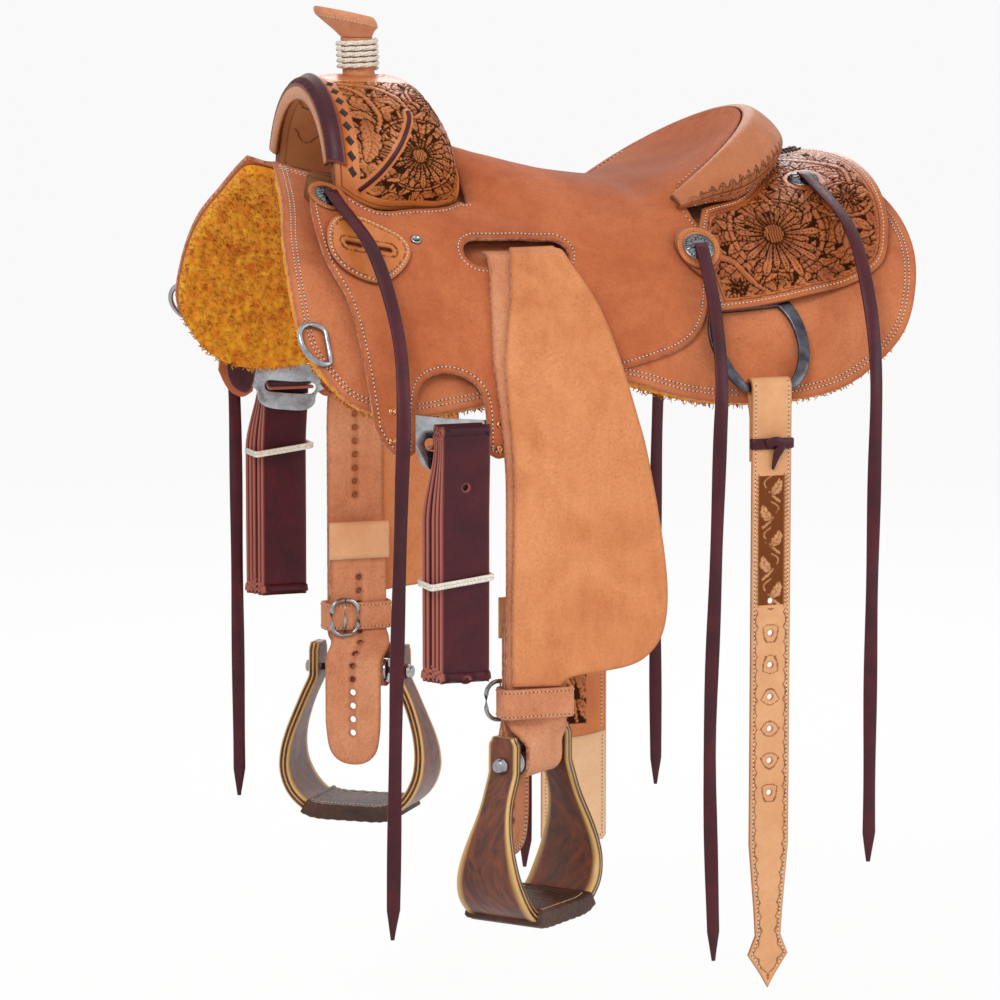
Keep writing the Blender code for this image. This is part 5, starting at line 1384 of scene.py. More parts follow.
def string_frame(route, side):
    points = [Vector(p) for p in spline_points(route, 6)]
    lengths = lengths_of(points)
    at_x = [p.x for p in points]

    def shape(u, v, w, lift=0.0):
        v = min(max(v, 0.0), lengths[-1])
        i = int(np.searchsorted(lengths, v)) - 1
        i = min(max(i, 0), len(points) - 2)
        t = (v - lengths[i]) / (lengths[i + 1] - lengths[i])
        place = points[i].lerp(points[i + 1], t)
        ahead = points[min(i + 2, len(points) - 1)] - points[max(i - 1, 0)]
        outward = Vector((1.0, 0.0, 0.0)).cross(ahead.normalized())
        if outward.y < 0:
            outward = -outward
        curl = 0.0011 * math.sin(v * 31.0 + at_x[0] * 90.0) * smooth(v / 0.2)
        place = place + Vector((u, 0.0, 0.0)) + outward * (STRING_T * (w - 0.5) + lift + curl * (u / (STRING_W / 2)))
        return Vector((place.x, side * place.y, place.z))
    return shape, lengths[-1], points


def flat_rings(shape, total, half, step=0.006, tip=0.030):
    """Rounded cross-sections of a flat lace from end to end, cut slantwise at its tip."""
    rings = []
    section = [(-1.0, 0.3), (-1.0, 0.7), (-0.86, 1.0), (0.0, 1.0), (0.86, 1.0), (1.0, 0.7),
               (1.0, 0.3), (0.86, 0.0), (0.0, 0.0), (-0.86, 0.0)]
    count = int(total / step)
    for i in range(count + 1):
        v = total * i / count
        cut = max(v - (total - tip), 0.0) / tip
        ring = []
        for u, w in section:
            narrow = 1.0 - 0.85 * cut * (1.0 if u > 0 else 0.75)
            ring.append(shape(u * half * narrow, v, w))
        rings.append(ring)
    return rings


def make_strings():
    for label, place, down in STRINGS:
        name = label + "_" + place + "_string"
        side = dict(SIDES)[label]
        shape, total, points = string_frame(STRING_TOPS[place] + down, side)
        obj = sweep(name + "_lace", flat_rings(shape, total, STRING_W / 2), BURGUNDY, "saddle")
        edge = obj.data.attributes.new("edge", "FLOAT", "POINT")
        ring = [0.0, 0.0, 0.002, 0.01, 0.002, 0.0, 0.0, 0.002, 0.01, 0.002]
        edge.data.foreach_set("value", np.tile(ring, len(obj.data.vertices) // 10).astype(np.float32))
        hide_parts(name)
        path = [(p.x, side * p.y, p.z) for p in points]
        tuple(path[0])


# Skirts and wool

SKIRT_SEAMS = (0.0080, 0.0125)          # from the edge
WOOL_SHEET = 0.66           # share of the fleece that the locks stand on


def make_skirts():
    outline = flow(SKIRT, 5)
    for label, side in SIDES:
        def shape(x, s, w):
            return side_point(x, s, SKIRT_T * w, side)

        def nap(p, depth):
            groove = np.zeros(len(p))
            for row in SKIRT_SEAMS:
                groove -= 0.0005 * np.exp(-((depth - row) / 0.0012) ** 2)
            return groove, -2.0 * groove * 100.0
        flip = side < 0
        panel(label + "_skirt_leather", outline, shape, SKIRT_T, ROUGHOUT, "saddle", 0.0055, 0.0035,
              relief=nap, node=label + "_skirt", slot="roughout", flip=flip)
        bar = ring_bar(side)

        def clear(p):
            """Away from the ring's bar, where the strap turns."""
            return (shape(p[0], p[1], 1.0) - bar).length > 0.030
        rows = seam(outline, SKIRT_SEAMS[0], shape, clear) + seam(outline, SKIRT_SEAMS[1], shape, clear)
        stitched(label + "_skirt_stitching", rows, "saddle")
        wool_outline = rounder(resample(outline, 0.005))

        def wool_shape(x, s, w):
            return side_point(x, s, -FLEECE_GAP - FLEECE_T * WOOL_SHEET * w, side)

        def clumps(p, depth):
            x, y = p[:, 0], p[:, 1]
            a = np.sin(x * 410 + 2.0 * np.sin(y * 230)) * np.sin(y * 370 + 1.7 * np.sin(x * 190))
            b = np.sin(x * 930 + 4.0) * np.sin(y * 870 + 1.0)
            h = 0.0022 * a + 0.0011 * b
            # The second value is painted shade, higher where the clumps dip
            return h, np.clip(0.18 - 0.30 * a, 0.0, 1.0)
        panel(label + "_wool", inset(wool_outline, 0.0005), wool_shape, FLEECE_T * WOOL_SHEET, FLEECE_LOOK,
              "saddle", 0.0042, 0.0040, bevel=0.0030, relief=clumps, node=label + "_fleece", slot="fleece",
              flip=not flip)
        tufts(label, side, wool_outline)


def rounder(loop, times=14):
    """The outline with its corners rounded off."""
    for _ in range(times):
        loop = [(0.25 * a[0] + 0.5 * b[0] + 0.25 * c[0], 0.25 * a[1] + 0.5 * b[1] + 0.25 * c[1])
                for a, b, c in zip(loop[-1:] + loop[:-1], loop, loop[1:] + loop[:1])]
    return loop


def tufts(label, side, outline):
    """Short curled locks over the wool's inner face, and a fringe round its edge."""
    pick = np.random.default_rng(11 if side < 0 else 12)
    low = np.min(outline, axis=0)
    high = np.max(outline, axis=0)
    verts, faces, dark = [], [], []
    inner = inset(resample(outline, 0.006), FLEECE_INSET + 0.003)
    spots = pick.uniform(low, high, (7600, 2))
    spots = spots[inside(spots, [inner])]
    places = [(x, s, 0.0, 0.0) for x, s in spots]
    area = sum(a[0] * b[1] - b[0] * a[1] for a, b in zip(outline, outline[1:] + outline[:1]))
    turn = 1.0 if area > 0 else -1.0
    for (x, s), (dx, ds) in pace(resample(outline, 0.006), 0.0016, True):
        places.append((x, s, turn * ds, -turn * dx))
    for x, s, ox, os_ in places:
        edge = ox != 0.0 or os_ != 0.0
        if edge:
            depth = -FLEECE_GAP - FLEECE_T * float(pick.uniform(0.25, 0.85))
            x, s = x - ox * 0.003, s - os_ * 0.003
            grow = float(pick.uniform(0.0025, 0.0055))
        else:
            depth = -FLEECE_GAP - FLEECE_T * 0.60
            grow = float(pick.uniform(0.0035, 0.0065))
        a0 = float(pick.uniform(0.0, math.tau))
        wide = float(pick.uniform(0.0007, 0.0013))
        spin = float(pick.uniform(0.7, 1.5)) * (1.0 if pick.uniform() > 0.5 else -1.0)
        first = len(verts)
        count = 5
        for i in range(count):
            t = i / (count - 1)
            curl = 0.0022 * t
            u = x + ox * grow * t + curl * math.cos(a0 + 4.0 * spin * t)
            v = s + os_ * grow * t + curl * math.sin(a0 + 4.0 * spin * t)
            d = depth - (grow * t if not edge else 0.25 * grow * math.sin(a0) * t)
            thin = wide * (1.0 - 0.55 * t)
            for j in range(3):
                q = a0 + math.tau * j / 3
                verts.append(side_point(u + thin * math.cos(q), v + thin * math.sin(q),
                                        max(d, -FLEECE_GAP - FLEECE_T * 0.97), side))
                # Painted shade, darker towards the root of each lock
                dark.append(0.55 * (1.0 - t))
        faces += tube_faces(first, 3, count, first=False)
    obj = new_mesh(label + "_wool_locks", verts, faces, FLEECE_LOOK, "saddle", True, {"dark": dark})


# Fork, gullet and horn

SPAN = 0.200                # girth given to half the fork in its pattern
LIP_RIM = 0.0135            # along the lip's profile, where the rim ends and the facing starts
WELT_LINE = ((-0.1420, 0.0820), (-0.1444, 0.0936), (-0.1560, 0.1200), (-0.1760, 0.1560), (-0.1941, 0.1860))


def make_fork():
    half = [(x, SPAN) for x in np.linspace(FORK_BACK_X, FORK_FRONT, 14)]
    outline = half + [(FORK_FRONT, v) for v in np.linspace(SPAN, -SPAN, 60)[1:]]
    outline += [(x, -SPAN) for x in np.linspace(FORK_FRONT, FORK_BACK_X, 14)[1:]]
    outline += [(FORK_BACK_X, v) for v in np.linspace(-SPAN, SPAN, 60)[1:-1]]
    outline = [(float(a), float(b)) for a, b in outline]
    hole_r = NECK_FLARE_R + 0.0015
    girth = table(column(SWELL, 1), HORN_X) * foot_angle(HORN_X)
    hole = [(HORN_X + x, y / girth * SPAN) for x, y in ring_outline(0.0, 0.0, hole_r, 32)]
    feet = {}

    def cover(x, v, w):
        x = min(max(x, FORK_FRONT), FORK_BACK_X)
        return swell_fast(x, v / SPAN, COVER_T * (w - 1.0), feet)

    def carving(p, depth):
        mirror = np.stack([p[:, 0], np.abs(p[:, 1])], 1)
        welt = line_distance(mirror, WELT_LINE, False)
        field = np.ones(len(p))
        field[(mirror[:, 1] < 0.034)] = 0.0
        field[mirror[:, 1] > 0.186] = 0.0
        field[(mirror[:, 0] < -0.1935)] = 0.0
        field[welt[0] < 0.0045] = 0.0
        field[mirror[:, 0] > -0.0875] = 0.0
        c = Carving(mirror, field)
        flowers = [((-0.139, 0.132), 0.034), ((-0.112, 0.060), 0.018)]
        foliage(c, (-0.200, 0.030), (-0.085, 0.190), flowers, 5, 0.026, 0.36)
        for f in flowers:
            c.stem(around(f[0], f[1] * 1.16, -60.0, 120.0), 0.0032, 0.5)
            c.stem(around(f[0], f[1] * 1.20, 140.0, 290.0), 0.0030, 0.5)
        c.petals((-0.112, 0.060), 0.019, 0.4, 13)
        c.petals((-0.139, 0.132), 0.041, 0.2, 26, 0.9)
        c.leaf(((-0.1830, 0.098), (-0.1810, 0.124), (-0.1880, 0.152)), 0.0088, 6)
        c.stem(((-0.1920, 0.044), (-0.1780, 0.060), (-0.1700, 0.090), (-0.1750, 0.110)), 0.0040)
        c.stem(((-0.1900, 0.040), (-0.1650, 0.046), (-0.1480, 0.060), (-0.1400, 0.080)), 0.0045)
        plain = welt[0] < 0.0030
        rise = 0.0011 * np.sqrt(np.clip(1.0 - (welt[0] / 0.0030) ** 2, 0.0, 1.0))
        c.height = np.where(plain, rise, c.height)
        line = (np.abs(depth - 0.006) < 0.0006) & (field < 0.5)
        c.tone = np.where(line, 0.7, c.tone)
        return c.height, c.tone
    panel("fork_cover_leather", outline, cover, COVER_T, TOOLED, "saddle", 0.00125, 0.0030, (hole,),
          relief=carving, node="fork_cover", slot="tan_leather", under=0.012)
    for label, sign in (("off", -1.0), ("near", 1.0)):
        line = [cover(x, sign * v, 1.0) + (cover(x, sign * v, 1.0) - cover(x, sign * v, 0.0)).normalized() * 0.0006
                for x, v in spline_points(WELT_LINE, 8)]
        rope(label + "_fork_welt", line, 0.0024, BURGUNDY, "saddle", 8)

    # Buckstitches: dark laced diamonds behind the gullet lip
    verts, faces = [], []
    for sign in (-1.0, 1.0):
        for (x, v), _ in pace([(-0.1988, 0.030), (-0.1988, 0.100), (-0.1995, 0.178)], 0.0165):
            base = len(verts)
            for a, b in ((0.0, 0.0068), (0.0036, 0.0), (0.0, -0.0068), (-0.0036, 0.0)):
                verts.append(cover(x + a, sign * (v + b), 1.10))
            verts.append(cover(x, sign * v, 1.45))
            for j in range(4):
                k = (j + 1) % 4
                faces.append((base + j, base + k, base + 4) if sign < 0 else (base + k, base + j, base + 4))
    lace = new_mesh("fork_buckstitches", verts, faces, DARK_THREAD, "saddle", False)

    # Gullet lining, seen from below and in front
    def lining(x, v, w):
        x = min(max(x, FORK_FRONT), FORK_BACK_X)
        return arch_point(x, v / SPAN, LINING_T * (1.0 - w))

    def scrolls(p, depth):
        c = Carving(p, np.zeros(len(p)))
        mirror = np.stack([p[:, 0], np.abs(p[:, 1])], 1)
        for path in (((-0.205, 0.02), (-0.180, 0.045), (-0.195, 0.080), (-0.205, 0.060)),
                     ((-0.195, 0.080), (-0.165, 0.110), (-0.185, 0.150), (-0.200, 0.125)),
                     ((-0.180, 0.045), (-0.150, 0.030), (-0.140, 0.060), (-0.155, 0.075))):
            d, _, _ = line_distance(mirror, spline_points(path, 8), False)
            on = d < 0.0010
            c.height = np.where(on, -0.0006, c.height)
            c.tone = np.where(on, 0.8, c.tone)
        border = np.abs(depth - 0.007) < 0.0006
        return np.where(border, -0.0005, c.height), np.where(border, 0.7, c.tone)
    panel("gullet_lining_leather", outline, lining, LINING_T, LINING_LOOK, "saddle", 0.0022, 0.0035,
          relief=scrolls, node="gullet_lining", slot="tan_leather", flip=True)

    # The lip round the front of the fork
    at, lengths = strap_shape(spline_points(LIP, 4))

    def lip(v, u, w):
        x, offset, dx, dr = at(min(max(v, 0.0), lengths[-1]))
        x += dr * LIP_T * w
        offset -= dx * LIP_T * w
        point = swell_fast(max(x, FORK_FRONT), u / SPAN, offset, feet)
        point.x = x
        return point
    ends = LIP_END * SPAN
    for name, low, high, look, slot in (("gullet_lip_rim", 0.0, LIP_RIM, BURGUNDY, "burgundy_latigo"),
                                        ("gullet_lip_facing", LIP_RIM, lengths[-1], LINING_LOOK, "tan_leather")):
        edge = [(low, float(u)) for u in np.linspace(-ends, ends, 60)]
        edge += [(high, float(u)) for u in np.linspace(ends, -ends, 60)]
        panel(name, edge[::-1], lip, LIP_T, look, "saddle", 0.0028, 0.0030, bevel=0.0012,
              node="gullet_lip", slot=slot, under=0.004, flip=True)


SWELL_GRID = 0.001          # between the places where the fork's section is worked out


def swell_fast(x, t, grow, rows):
    """A point of the fork's outside, between sections that are kept once worked out."""
    i = math.floor(x / SWELL_GRID)
    for k in (i, i + 1):
        if k not in rows:
            at = min(max(k * SWELL_GRID, FORK_FRONT), FORK_BACK_X)
            rows[k] = (foot_angle(at), table(column(SWELL, 1), at), table(column(SWELL, 2), at),
                       table(column(SWELL, 3), at))
    part = x / SWELL_GRID - i
    foot, half, centre, height = (mix(a, b, part) for a, b in zip(rows[i], rows[i + 1]))
    return Vector((x, -(half + grow) * math.sin(foot * t), centre + (height + grow) * math.cos(foot * t)))


def round_rings(rings, count):
    """Dense circles through (centre, radius, tilt) rows."""
    out = []
    for centre, radius, tilt in rings:
        turn = Matrix.Rotation(tilt, 3, "Y")
        out.append([Vector(centre) + turn @ Vector((x, y, 0.0)) for x, y in ring_outline(0.0, 0.0, radius, count)])
    return out


STRANDS = 3                 # laid into the cord round the neck
STRAND_R = 0.00145
STRAND_OFF = 0.00115        # of a strand's middle from the cord's
WRAP_STEPS = 40             # in one turn of the cord


def make_horn():
    reach = (-NECK_FLARE_R, 0.0, NECK_FLARE_R)
    foot = max(swell_point(HORN_X + x, 0.0, -COVER_T - 2.0 * FIT).z for x in reach) + TOUCH
    lean = (HORN_TOP_X - HORN_X) / (HORN_TOP_Z - foot)

    def on_axis(z):
        return (HORN_X + lean * (z - foot), 0.0, z)
    rows = [(on_axis(foot), NECK_FLARE_R * 0.94, 0.0), (on_axis(foot + 0.0010), NECK_FLARE_R, 0.0),
            (on_axis(foot + 0.0030), mix(NECK_R, NECK_FLARE_R, 0.35), 0.0), (on_axis(foot + 0.0050), NECK_R, 0.0),
            (on_axis(mix(foot, HORN_TOP_Z, 0.5)), NECK_R, 0.0), (on_axis(HORN_TOP_Z), NECK_R, 0.0)]
    neck = sweep("horn_neck_leather", round_rings(rows, 40), STRAP_LOOK, "saddle")
    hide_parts("horn_neck")

    cap = [(row[0], row[1], row[2] * CAP_R, row[3] * CAP_TILT) for row in CAP_RINGS]
    dense = spline_points(cap, 5)
    rows = [((x, 0.0, z), r - 0.0002, tilt) for x, z, r, tilt in dense]
    x, z, r, tilt = cap[-1]
    for share in (0.97, 0.90, 0.6, 0.3, 0.02):
        rise = 0.0006 * (1.0 - share * share)
        rows.append(((x + math.sin(tilt) * rise, 0.0, z + math.cos(tilt) * rise), (r - 0.0002) * share, tilt))
    top = sweep("horn_cap_leather", round_rings(rows, 72), STRAP_LOOK, "saddle")
    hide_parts("horn_cap")
    rim = cap[3]
    turn = Matrix.Rotation(rim[3], 3, "Y")
    centre = Vector((rim[0], 0.0, rim[1]))
    verts, faces = [], []
    for i in range(54):
        a = math.tau * i / 54
        out = turn @ Vector((math.cos(a), math.sin(a), 0.0))
        along = turn @ Vector((-math.sin(a), math.cos(a), 0.0))
        up = turn @ Vector((0.0, 0.0, 1.0))
        mid = centre + out * (rim[2] + 0.0001)
        base = len(verts)
        for p, q in ((-1, 0), (0, 0.5), (1, 0), (0, -0.5)):
            verts.append(mid + along * p * 0.0012 + up * q * 0.0009)
        verts.append(mid + out * 0.0005)
        for j in range(4):
            faces.append((base + (j + 1) % 4, base + j, base + 4))
    new_mesh("horn_cap_stitching", verts, faces, WHITE_THREAD, "saddle")

    # White cord wound round the neck: three strands laid into one
    radius = NECK_R + TOUCH + WRAP_R + 0.0004
    pitch = 2.0 * WRAP_R + WRAP_GAP
    verts, faces = [], []
    for k in range(STRANDS):
        line = []
        for i in range(WRAP_STEPS * WRAP_TURNS + 1):
            a = math.tau * i / WRAP_STEPS
            lay = math.tau * (k / STRANDS + i / 11.0)
            out = Vector((math.cos(a), math.sin(a), 0.0))
            point = Vector(on_axis(WRAP_BOTTOM_Z + pitch * i / WRAP_STEPS))
            point += out * (radius + STRAND_OFF * math.cos(lay))
            line.append(point + Vector((0.0, 0.0, STRAND_OFF * math.sin(lay))))
        faces += tube_faces(len(verts), 7, len(line))
        for p, (_, across, up) in zip(line, frames(line)):
            verts += circle(p, across, up, STRAND_R, 7)
    wrap = new_mesh("horn_wrap_cord", verts, faces, ROPE_LOOK, "saddle")
    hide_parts("horn_wrap")


# Seat, cantle roll and rear jockeys

SEAT_SEAM = 0.0055          # from the edge
FERRULE = (-0.1475, 0.1613)             # x and girth
FERRULE_PROFILE = ((0.0058, 0.0), (0.0058, 0.0012), (0.0050, 0.0021), (0.0038, 0.0022), (0.0034, 0.0012),
                   (0.0, 0.0012))


def make_seat():
    behind = FORK_BACK_X + SEAT_FRONT_GAP
    front = [fork_edge(x) for x in SEAT_FRONT_X] + [(behind, 0.095), (behind + 0.002, 0.0)]
    half = rim_outline(0.0, math.radians(78.0), 28, seat_middle)[:-1] + flow(SEAT_SIDE + (front,), 4)
    outline = half + [front[-1]] + [(x, -s) for x, s in reversed(half[1:])]
    slots = [[(x, sign * s) for x, s in slot_outline(SLOT_X, SLOT_S, SLOT_HALF_L, SLOT_HALF_W, 12)]
             for sign in (1.0, -1.0)]

    def relief(p, depth):
        girth = np.abs(p[:, 1])
        groove = -0.0005 * np.exp(-((depth - 0.0055) / 0.0011) ** 2)
        along = (p[:, 0] - DISH_X) / DISH_LONG
        across = girth / (DISH_HALF_W * 1.04)
        reach = np.hypot(along, across)
        bowl = np.clip((1.0 - reach) / 0.55, 0.0, 1.0) * (p[:, 0] > 0.0)
        # Painted shade: darker inside the dish towards its back, and in the seam groove
        dish_shade = np.clip((p[:, 0] - 0.0) / 0.05, 0.0, 1.0) * 0.55 * bowl
        return groove, dish_shade + 0.35 * (groove < -0.00025)
    panel("seat_leather_hide", outline, seat_point, SEAT_T, SEAT_LOOK, "saddle", 0.0050, 0.0032, slots,
          relief=relief, node="seat_leather", slot="roughout", flip=True)
    rows = []
    for sign in (1.0, -1.0):
        rows.append(([p for p in inset(outline, SEAT_SEAM) if p[1] * sign > 0.100], seat_point, False))
        around_slot = slot_outline(SLOT_X, SLOT_S, SLOT_HALF_L + SEAT_SEAM, SLOT_HALF_W + SEAT_SEAM, 12)
        rows.append(([(x, sign * s) for x, s in around_slot], seat_point, True))
    stitched("seat_stitching", rows, "saddle")
    for label, sign in (("off", -1.0), ("near", 1.0)):
        spot = seat_point(FERRULE[0], sign * FERRULE[1], 1.0)
        out = (spot - seat_point(FERRULE[0], sign * FERRULE[1], 0.0)).normalized()
        disc(label + "_seat_ferrule", spot, out, FERRULE_PROFILE, BRIGHT, "saddle")


def disc(name, spot, out, profile, mat, body, count=28, wave=None):
    """A small turned or stamped piece standing on a surface: profile of (radius, height) from the rim in."""
    across = out.orthogonal().normalized()
    other = out.cross(across)
    verts, dark = [], []
    for r, h in profile:
        for j in range(count):
            a = math.tau * j / count
            extra, tone = wave(r, a) if wave else (0.0, 0.0)
            verts.append(spot + (across * math.cos(a) + other * math.sin(a)) * r + out * (h + extra))
            dark.append(tone)
    faces = tube_faces(0, count, len(profile), last=False)
    obj = new_mesh(name, verts, faces, mat, body, True, {"dark": dark})
    return obj


ROLL_SCALE = 0.0026         # metres of rim per degree in the roll's pattern
ROLL_ACROSS = 0.062
ROLL_SEEN = 79.0            # the roll's leather is drawn out to the jockey's corner
ROLL_CELL = 0.0105          # one arch of the carved border
TACK_UP = 0.0045            # from the roll's lower edge


def make_cantle():
    paths = {}

    def profile(angle):
        if angle not in paths:
            paths[angle] = strap_shape(spline_points(roll_path(math.radians(angle)), 3))
        return paths[angle]

    def roll(u, v, w):
        angle = u / ROLL_SCALE
        i = math.floor(angle)
        part = angle - i
        ends = []
        for k in (i, i + 1):
            at, lengths = profile(float(k))
            ends.append(at(min(max(v / ROLL_ACROSS, 0.0), 1.0) * lengths[-1]))
        out, height, dx, dz = (mix(a, b, part) for a, b in zip(*ends))
        depth = ROLL_T * (1.0 - w)
        x, y = rim_point(math.radians(angle), out + dz * depth)
        return Vector((x, y, height - dx * depth))
    end = ROLL_SEEN * ROLL_SCALE
    outline = [(float(u), 0.0) for u in np.linspace(-end, end, 70)]
    outline += [(float(u), ROLL_ACROSS) for u in np.linspace(end, -end, 70)]

    def border(p, depth):
        height = np.zeros(len(p))
        tone = np.zeros(len(p))
        from_low = ROLL_ACROSS - p[:, 1]
        fade = np.clip((end - np.abs(p[:, 0])) / 0.02, 0.0, 1.0)
        phase = np.mod(p[:, 0], ROLL_CELL) / ROLL_CELL - 0.5
        arch = 0.0175 + 0.0085 * (1.0 - np.abs(phase) * 2.0) ** 0.6
        rim = np.abs(from_low - arch)
        line = (rim < 0.0007)
        inner = (np.abs(from_low - (arch - 0.0032)) < 0.0006) & (np.abs(phase) < 0.36)
        stem = (np.abs(phase) < 0.045) & (from_low > 0.0125) & (from_low < arch - 0.004)
        dots = (np.hypot(phase * ROLL_CELL, from_low - 0.0095) < 0.0016)
        band = np.abs(from_low - 0.0130) < 0.0006
        deep = (line | inner | stem | band)
        height = np.where(deep, -0.0008, height)
        tone = np.where(deep, 0.85, tone)
        leafy = (from_low > 0.0135) & (from_low < arch)
        tone = np.where(leafy & ~deep, 0.22, tone)
        height = np.where(dots, -0.0006, height)
        tone = np.where(dots, 0.7, tone)
        return height * fade, tone * fade
    panel("cantle_roll_leather", outline, roll, ROLL_T, CANTLE_SHADED_LOOK, "saddle", 0.00135, 0.0028,
          relief=border, node="cantle_back", slot="tan_leather", under=0.010)
    for i in range(int(2 * end / ROLL_CELL)):
        u = -end + ROLL_CELL * (i + 0.5)
        if abs(u) > end - 0.012:
            continue
        spot = roll(u, ROLL_ACROSS - TACK_UP, 1.0)
        out = (spot - roll(u, ROLL_ACROSS - TACK_UP, 0.0)).normalized()
        disc("roll_tack_%02d" % i, spot, out, [(0.0016, 0.0), (0.0014, 0.0006), (0.0008, 0.0010), (0.0001, 0.0012)],
             BRIGHT, "saddle", 8)


def on_side(base, thick, side):
    def shape(x, s, w):
        return side_point(x, s, base(x, s) + thick * w, side)
    return shape


def make_rear_jockeys():
    behind = rim_outline(math.radians(3.0), math.radians(70.0), 24, jockey_base, 0.020)
    outline = flow(JOCKEY, 6) + behind

    def carving(p, depth):
        field = np.where(depth > 0.0135, 1.0, 0.0)
        for (_, x, s, _), bare in zip(CONCHOS[1:], (ROSETTE_R + 0.002, 0.021)):
            field[np.hypot(p[:, 0] - x, p[:, 1] - s) < bare] = 0.0
        c = Carving(p, field)
        flowers = [((0.238, 0.168), 0.038), ((0.330, 0.140), 0.020), ((0.180, 0.228), 0.012)]
        foliage(c, (0.13, 0.01), (0.36, 0.25), flowers, 9, 0.031, 0.34)
        for f in flowers[:2]:
            c.stem(around(f[0], f[1] * 1.25, 150.0, 330.0), 0.0038, 0.5)
            c.stem(around(f[0], (f[1] * 1.45, f[1] * 1.15), -20.0, 130.0), 0.0040, 0.5)
        for k, f in enumerate(flowers[1:]):
            c.petals(f[0], f[1], 0.5 + k, 12)
        c.petals((0.238, 0.168), 0.060, 0.1, 26, 1.35)
        c.stem(((0.270, 0.020), (0.262, 0.060), (0.245, 0.100), (0.250, 0.130)), 0.0050)
        c.stem(((0.300, 0.030), (0.325, 0.060), (0.345, 0.090), (0.342, 0.120)), 0.0048)
        c.stem(((0.165, 0.190), (0.185, 0.200), (0.200, 0.225), (0.215, 0.238)), 0.0046)
        line = (np.abs(depth - 0.0095) < 0.0007) | (np.abs(depth - 0.0125) < 0.0005)
        c.height = np.where(line, -0.0006, c.height)
        c.tone = np.where(line, 0.65, c.tone)
        return c.height, c.tone
    for label, side in SIDES:
        shape = on_side(jockey_base, JOCKEY_T, side)
        panel(label + "_rear_jockey_leather", outline, shape, JOCKEY_T, JOCKEY_LOOK, "saddle", 0.0014, 0.0028,
              relief=carving, node=label + "_rear_jockey", slot="dark_tan_leather", under=0.010, flip=side < 0)
        stitched(label + "_rear_jockey_stitching", [(inset(resample(outline, FINE), 0.0055), shape, True)],
                 "saddle")
        # Dark lacing over the top edge
        verts, faces = [], []
        line = [(0.2960 + 0.0040 * i, 0.0050) for i in range(11)]
        for x, s in line:
            crossing = [shape(x + 0.0012, s - 0.0015, 1.0), shape(x + 0.0004, s + 0.0022, 1.32),
                        shape(x - 0.0014, s + 0.0065, 1.02)]
            faces += tube_faces(len(verts), 6, len(crossing))
            for p, (_, across, up) in zip(crossing, frames(crossing)):
                for j in range(6):
                    a = math.tau * j / 6
                    verts.append(p + across * 0.0016 * math.cos(a) + up * 0.0008 * math.sin(a))
        new_mesh(label + "_jockey_lacing", verts, faces, DARK_THREAD, "saddle")


# Rigging, patches, conchos, rings

PLATE_RIVETS = ((-0.2080, 0.372), (-0.1040, 0.370))         # x and girth
LEG_RIVETS = ((-0.2080, 0.352), (-0.2110, 0.381), (-0.0980, 0.356), (-0.1010, 0.379))


def make_rigging():
    slot = slot_outline(LATIGO_X, PLATE_SLOT_S, LATIGO_W / 2 + 0.0050, 0.0062, 8)
    for label, side in SIDES:
        backing = BURGUNDY if label == "off" else ROUGHOUT
        leaf = flow(RIGGING_LEAF, 5)
        shape = on_side(lambda x, s: BACKING_BASE, BACKING_T, side)
        panel(label + "_rigging_leaf", leaf, shape, BACKING_T, backing, "saddle", 0.0055, 0.0032,
              node=label + "_rigging_leather", slot="burgundy_latigo" if label == "off" else "roughout", flip=side < 0)
        stitched(label + "_rigging_stitching", [(inset(resample(leaf, FINE), 0.0045), shape, True)], "saddle")
        plate = on_side(lambda x, s: PLATE_BASE, PLATE_T, side)
        panel(label + "_rigging_steel", flow(PLATE_LEAF, 6), plate, PLATE_T, BRIGHT, "saddle", 0.0045, 0.0022,
              (slot,), bevel=0.0008, node=label + "_rigging_plate", slot="bright_steel", flip=side < 0)
        for i, (x, s) in enumerate(PLATE_RIVETS):
            spot = plate(x, s, 1.0)
            rivet(label + "_plate_rivet_%d" % i, spot, (spot - plate(x, s, 0.0)).normalized(), 0.0036)
        for i, (x, s) in enumerate(LEG_RIVETS):
            girth = -side * s
            spot = seat_point(x, girth, 1.0)
            rivet(label + "_leg_rivet_%d" % i, spot, (spot - seat_point(x, girth, 0.0)).normalized(), 0.0042)


def rivet(name, spot, out, radius):
    disc(name, spot - out * 0.0003, out, [(radius, 0.0), (radius * 0.96, 0.0007), (radius * 0.72, 0.0013),
                                          (radius * 0.30, 0.0016), (radius * 0.26, 0.0010), (0.0001, 0.0009)],
         COPPER, "saddle", 18)


PATCH_SLOTS = ((-0.2175, 0.181), (-0.1865, 0.181))


